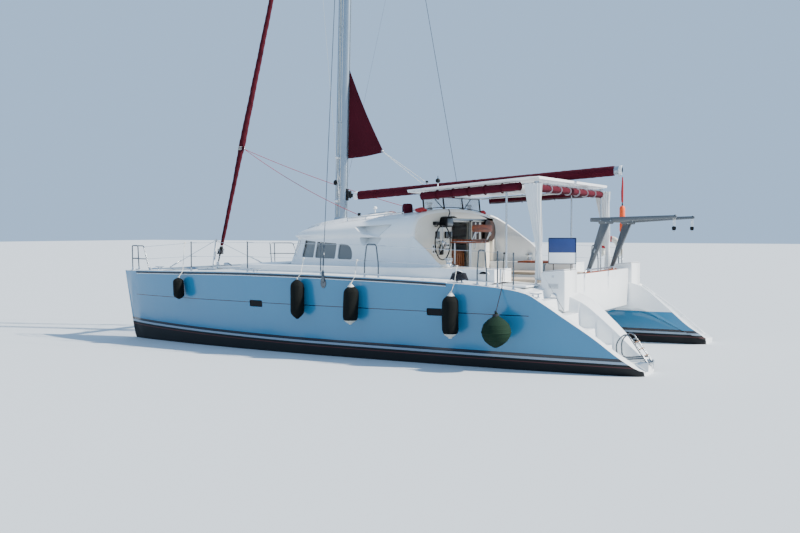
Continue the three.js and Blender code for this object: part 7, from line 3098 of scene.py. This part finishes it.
for k, (x, y, top, bottom, radius) in enumerate(FENDERS, start=1):
    covered = turned_sock(
        x, y, top, bottom, radius, SHAPE, 0.02 if k > 2 else 0.0, 0.90 if k > 2 else 1.0, seed=1.7 * k
    )
    parts = [(sock, covered)]
    if k > 2:
        cone = np.array([(0.895, 0.84), (0.93, 0.62), (0.965, 0.36), (0.985, 0.24), (1.0, 0.20)])
        parts.append(
            (
                fender_white,
                turned_sock(x, y, top, bottom, radius, cone, 0.895, 1.0, count=14, wrinkle=0.0)
            )
        )
        collar = np.array([(-0.035, 0.18), (-0.02, 0.26), (0.0, 0.34), (0.03, 0.46)])
        parts.append(
            (
                white_rope,
                turned_sock(x, y, top, bottom, radius, collar, -0.035, 0.03, count=10, wrinkle=0.0)
            )
        )
    y_rail, z_rail = rail_at(x, RAIL_LOW if k > 1 else TOP_WIRE)
    parts.append((white_rope, fender_rope(x, y, top + (0.02 if k > 2 else 0), z_rail, y_rail)))
    made = piece(f"fender_{k}_in_sock", parts, replaces=f"fender_{k}", crease=60)

BALL = {"x": -3.49, "y": 3.50, "top": 0.992, "bottom": 0.410, "radius": 0.247}
BALL_SHAPE = np.array(
    [
        (0.0, 0.10), (0.04, 0.13), (0.10, 0.20), (0.14, 0.34), (0.20, 0.56), (0.28, 0.76), (0.36, 0.89),
        (0.46, 0.97), (0.56, 1.0), (0.66, 0.95), (0.75, 0.845), (0.84, 0.68), (0.92, 0.46),
        (0.97, 0.24), (1.0, 0.10)
    ]
)
ball = turned_sock(
    BALL["x"], BALL["y"], BALL["top"], BALL["bottom"], BALL["radius"], BALL_SHAPE, wrinkle=0.004,
    seed=4.0, bands=((0.33, 0.018, 0.030), (0.56, 0.018, 0.030), (0.80, 0.016, 0.028))
)
y_rail, z_rail = rail_at(BALL["x"], TOP_WIRE)
ball_rope = fender_rope(BALL["x"], BALL["y"], BALL["top"], z_rail, y_rail, 0.0075)
neck = sum(
    torus((BALL["x"], BALL["y"], BALL["top"] - 0.030 - 0.014 * k), 0.042 + 0.004 * k, 0.008, "z", 28, 8)
    for k in range(3)
)
ball_piece = piece(
    "fender_5_in_sock", [(green_sock, ball), (black_rope, ball_rope + neck)], replaces="fender_5",
    crease=60
)
# %% [markdown]
# Under water each hull has a stub keel, a saildrive with its propeller, and a rudder. Their blades are
# aerofoils: the half thickness along the chord is the usual four-digit curve, round nosed and thin tailed.

# %% Keels, rudders and saildrives
HULL_Y = 2.47


def foil_section(count=25):
    """x and y of a closed symmetrical section, unit chord and thickness, from the tail round the nose."""
    s = (1 - np.cos(np.linspace(0, np.pi, count))) / 2
    half = 5 * (0.2969 * np.sqrt(s) - 0.1260 * s - 0.3516 * s**2 + 0.2843 * s**3 - 0.1036 * s**4)
    half[-1] = 0.02
    return np.concatenate([np.stack([-s, half], 1)[::-1], np.stack([-s, -half], 1)[1:]])


def foil(rows, levels=14, tip=0.0):
    """A blade through (z, nose x, chord, thickness) rows, its lower tip rounded off over a height."""
    rows = np.array(rows)
    z = np.linspace(rows[0, 0], rows[-1, 0], levels)
    nose, chord, thick = (np.interp(z, rows[:, 0], rows[:, k]) for k in (1, 2, 3))
    flat = foil_section()
    if tip:
        extra = np.array([0.0, 0.12, 0.35, 0.7])
        drop = rows[0, 0] + tip * (1 - np.sqrt(1 - (1 - extra) ** 2)) * 0.999
        z = np.concatenate([np.sort(drop), z[z > rows[0, 0] + tip]])
        nose, chord, thick = (np.interp(z, rows[:, 0], rows[:, k]) for k in (1, 2, 3))
        t = np.clip((z - rows[0, 0]) / tip, 0, 1)
        thick = thick * np.sqrt(np.clip(1 - (1 - t) ** 2, 0.02, 1))
        shrink = 0.03 * (1 - t) ** 2
        nose, chord = nose - shrink, chord - 2 * shrink
    pts = np.stack(
        [
            nose[:, None] + chord[:, None] * flat[None, :, 0],
            HULL_Y + thick[:, None] * flat[None, :, 1], np.broadcast_to(z[:, None], (len(z), len(flat)))
        ],
        -1
    )
    return grid(pts, ring=True, ends=True)


keel = foil([(-1.15, 0.95, 1.70, 0.15), (-1.08, 1.00, 1.80, 0.20), (-0.50, 1.25, 2.30, 0.26)], 18, tip=0.07)
both_sides("stub_keel", [(antifouling, keel)], replaces="SIDE_keel")
rudder = foil(
    [(-1.00, -4.89, 0.34, 0.045), (-0.62, -4.87, 0.42, 0.060), (-0.24, -4.86, 0.46, 0.066)], 16,
    tip=0.03
)
stock = lathe([(0, -0.26), (0.026, -0.26), (0.026, 0.048), (0, 0.050)], (-5.0, HULL_Y, 0), sides=24)
both_sides(
    "rudder_blade", [(antifouling, rudder), (steel, stock)], body="SIDE_rudder_body",
    replaces="SIDE_rudder"
)

leg_foil = foil([(-0.82, -3.32, 0.26, 0.09), (-0.60, -3.31, 0.28, 0.10), (-0.30, -3.26, 0.38, 0.15)], 14)
gearbox = lathe(
    [
        (0, 0.0), (0.030, 0.004), (0.055, 0.020), (0.070, 0.055), (0.077, 0.12), (0.077, 0.26),
        (0.070, 0.34), (0.058, 0.40), (0.048, 0.42), (0, 0.42)
    ],
    (-3.62, HULL_Y, -0.82), "x", 32
).reshaped(lambda p: p * [-1, 1, 1] + [-3.62 - 3.20, 0, 0])
anode = lathe(
    [(0.050, -0.012), (0.070, -0.010), (0.070, 0.010), (0.050, 0.012)], (-3.585, HULL_Y, -0.82), "x", 28
)
both_sides("saildrive_leg", [(grey_plastic, leg_foil + gearbox), (steel, anode)], replaces="SIDE_saildrive")

# %% [markdown]
# A propeller blade is a helicoid: at each radius the section lies at the angle whose tangent is the pitch
# divided by the circumference there. The outline is an ellipse skewed a little backwards.

# %% Propellers
PROP = {"x": -3.672, "z": -0.82, "radius": 0.208, "pitch": 0.30, "blades": 3}


def blade(turn):
    """One blade at that angle: the two faces of each section, joined at their edges."""
    r = np.linspace(0.026, PROP["radius"], 16)
    u = np.linspace(0, 1, 13)
    share = (r - 0.02) / (PROP["radius"] - 0.02)
    chord = 0.118 * np.sqrt(np.clip(1 - ((share - 0.50) / 0.56) ** 2, 0.02, 1))
    angle = np.arctan2(PROP["pitch"], 2 * np.pi * r)
    thick = 0.0085 * (1 - share) + 0.0022
    skew = -0.10 * share**2
    sides_ = []
    for face in (1, -1):
        c = (u[None] - 0.5) * chord[:, None]
        t = face * 0.5 * thick[:, None] * np.sqrt(np.clip(1 - (2 * u[None] - 1) ** 2, 0, 1))
        along = c * np.sin(angle)[:, None] + t * np.cos(angle)[:, None]
        swept = (
            (c * np.cos(angle)[:, None] - t * np.sin(angle)[:, None]) / r[:, None] + skew[:, None]
            + turn
        )
        sides_.append(
            np.stack(
                [
                    PROP["x"] + np.clip(along, -0.060, 0.036), HULL_Y + r[:, None] * np.sin(swept),
                    PROP["z"] + r[:, None] * np.cos(swept)
                ],
                -1
            )
        )
    ring = np.concatenate([sides_[0], sides_[1][:, ::-1][:, 1:-1]], axis=1)
    return grid(ring, ring=True, ends=True)


blades = sum(blade(2 * np.pi * k / PROP["blades"]) for k in range(PROP["blades"]))
hub = lathe(
    [
        (0, -3.738), (0.012, -3.736), (0.022, -3.722), (0.032, -3.700), (0.036, -3.680),
        (0.036, -3.640), (0.034, -3.627), (0, -3.627)
    ],
    (0, HULL_Y, PROP["z"]), "x", 28
)
both_sides(
    "propeller_wheel", [(bronze, blades + hub)], body="SIDE_propeller_body", replaces="SIDE_propeller",
    crease=40
)

# %% [markdown]
# Each engine shows only when its hatch is open: a small diesel in grey enamel with its rocker cover,
# belt and pulleys, air filter and hoses. It is a plain block dressed with what a mechanic would know it by.

# %% Engines
block_body = box((-3.66, -3.24), (2.36, 2.72), (0.12, 0.46), 0.03, 0.012)
sump = box((-3.62, -3.28), (2.42, 2.66), (0.065, 0.125), 0.04, 0.015)
head_box = box((-3.64, -3.28), (2.40, 2.68), (0.46, 0.54), 0.02, 0.008)
cover = box((-3.62, -3.32), (2.44, 2.64), (0.54, 0.605), 0.03, 0.02)
cap = lathe(
    [(0, 0.60), (0.024, 0.60), (0.026, 0.628), (0.020, 0.634), (0, 0.635)], (-3.55, 2.54, 0), sides=20
)
filter_can = lathe(
    [(0, 0), (0.055, 0.002), (0.058, 0.012), (0.058, 0.13), (0.050, 0.14), (0, 0.142)],
    (-3.60, 2.33, 0.42), "x", 28
)
pulleys = sum(
    lathe(
        [(0, 0), (r, 0), (r, 0.010), (r - 0.008, 0.015), (r, 0.020), (r, 0.030), (0, 0.030)],
        (-3.694, y, z), "x", 28
    )
    for y, z, r in ((2.54, 0.20, 0.060), (2.54, 0.42, 0.050), (2.66, 0.34, 0.032))
)
belt_line = [
    (-3.681, 2.481, 0.20), (-3.681, 2.491, 0.43), (-3.681, 2.54, 0.472), (-3.681, 2.60, 0.42),
    (-3.681, 2.694, 0.34), (-3.681, 2.66, 0.308), (-3.681, 2.58, 0.155), (-3.681, 2.54, 0.140),
    (-3.681, 2.481, 0.20)
]
belt = carried(bent(belt_line, 0.02), rectangle(-0.002, 0.002, -0.006, 0.006, 0.001, 2), up=(1, 0, 0))
feet = sum(
    box((x - 0.035, x + 0.035), (y - 0.045, y + 0.045), (0.15, 0.175), 0.012, 0.004)
    for x in (-3.58, -3.32) for y in (2.34, 2.74)
)
mounts = sum(
    lathe([(0, 0.065), (0.032, 0.065), (0.028, 0.11), (0.018, 0.15), (0, 0.15)], (x, y, 0), sides=20)
    for x in (-3.58, -3.32) for y in (2.34, 2.74)
)
hoses = tube(
    [(-3.30, 2.45, 0.50), (-3.24, 2.40, 0.50), (-3.23, 2.36, 0.36), (-3.28, 2.34, 0.22)], 0.016, 12,
    0.04
)
hoses += tube([(-3.45, 2.68, 0.50), (-3.45, 2.74, 0.48), (-3.40, 2.75, 0.30)], 0.013, 12, 0.03)
pipes = sum(
    tube([(x, 2.68, 0.49), (x, 2.705, 0.52), (-3.46, 2.72, 0.40)], 0.004, 8, 0.012)
    for x in (-3.58, -3.48, -3.38)
)
both_sides(
    "engine_block",
    [
        (enamel, block_body + sump + head_box + feet), (white, cover),
        (black_plastic, filter_can + belt + mounts + hoses + cap), (steel, pulleys + pipes)
    ],
    replaces="SIDE_engine"
)

# %% [markdown]
# Last, the box of the finished pieces is measured beside the model's own box.
# Every piece was drawn in the frame of the model, so the two boxes can be compared as they are.

# %% Sizes and finish
low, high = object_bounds()
{"cad": [list(cad_low), list(cad_high)], "visual": [list(low), list(high)]}
print("visual box", [round(c, 3) for c in low], [round(c, 3) for c in high])
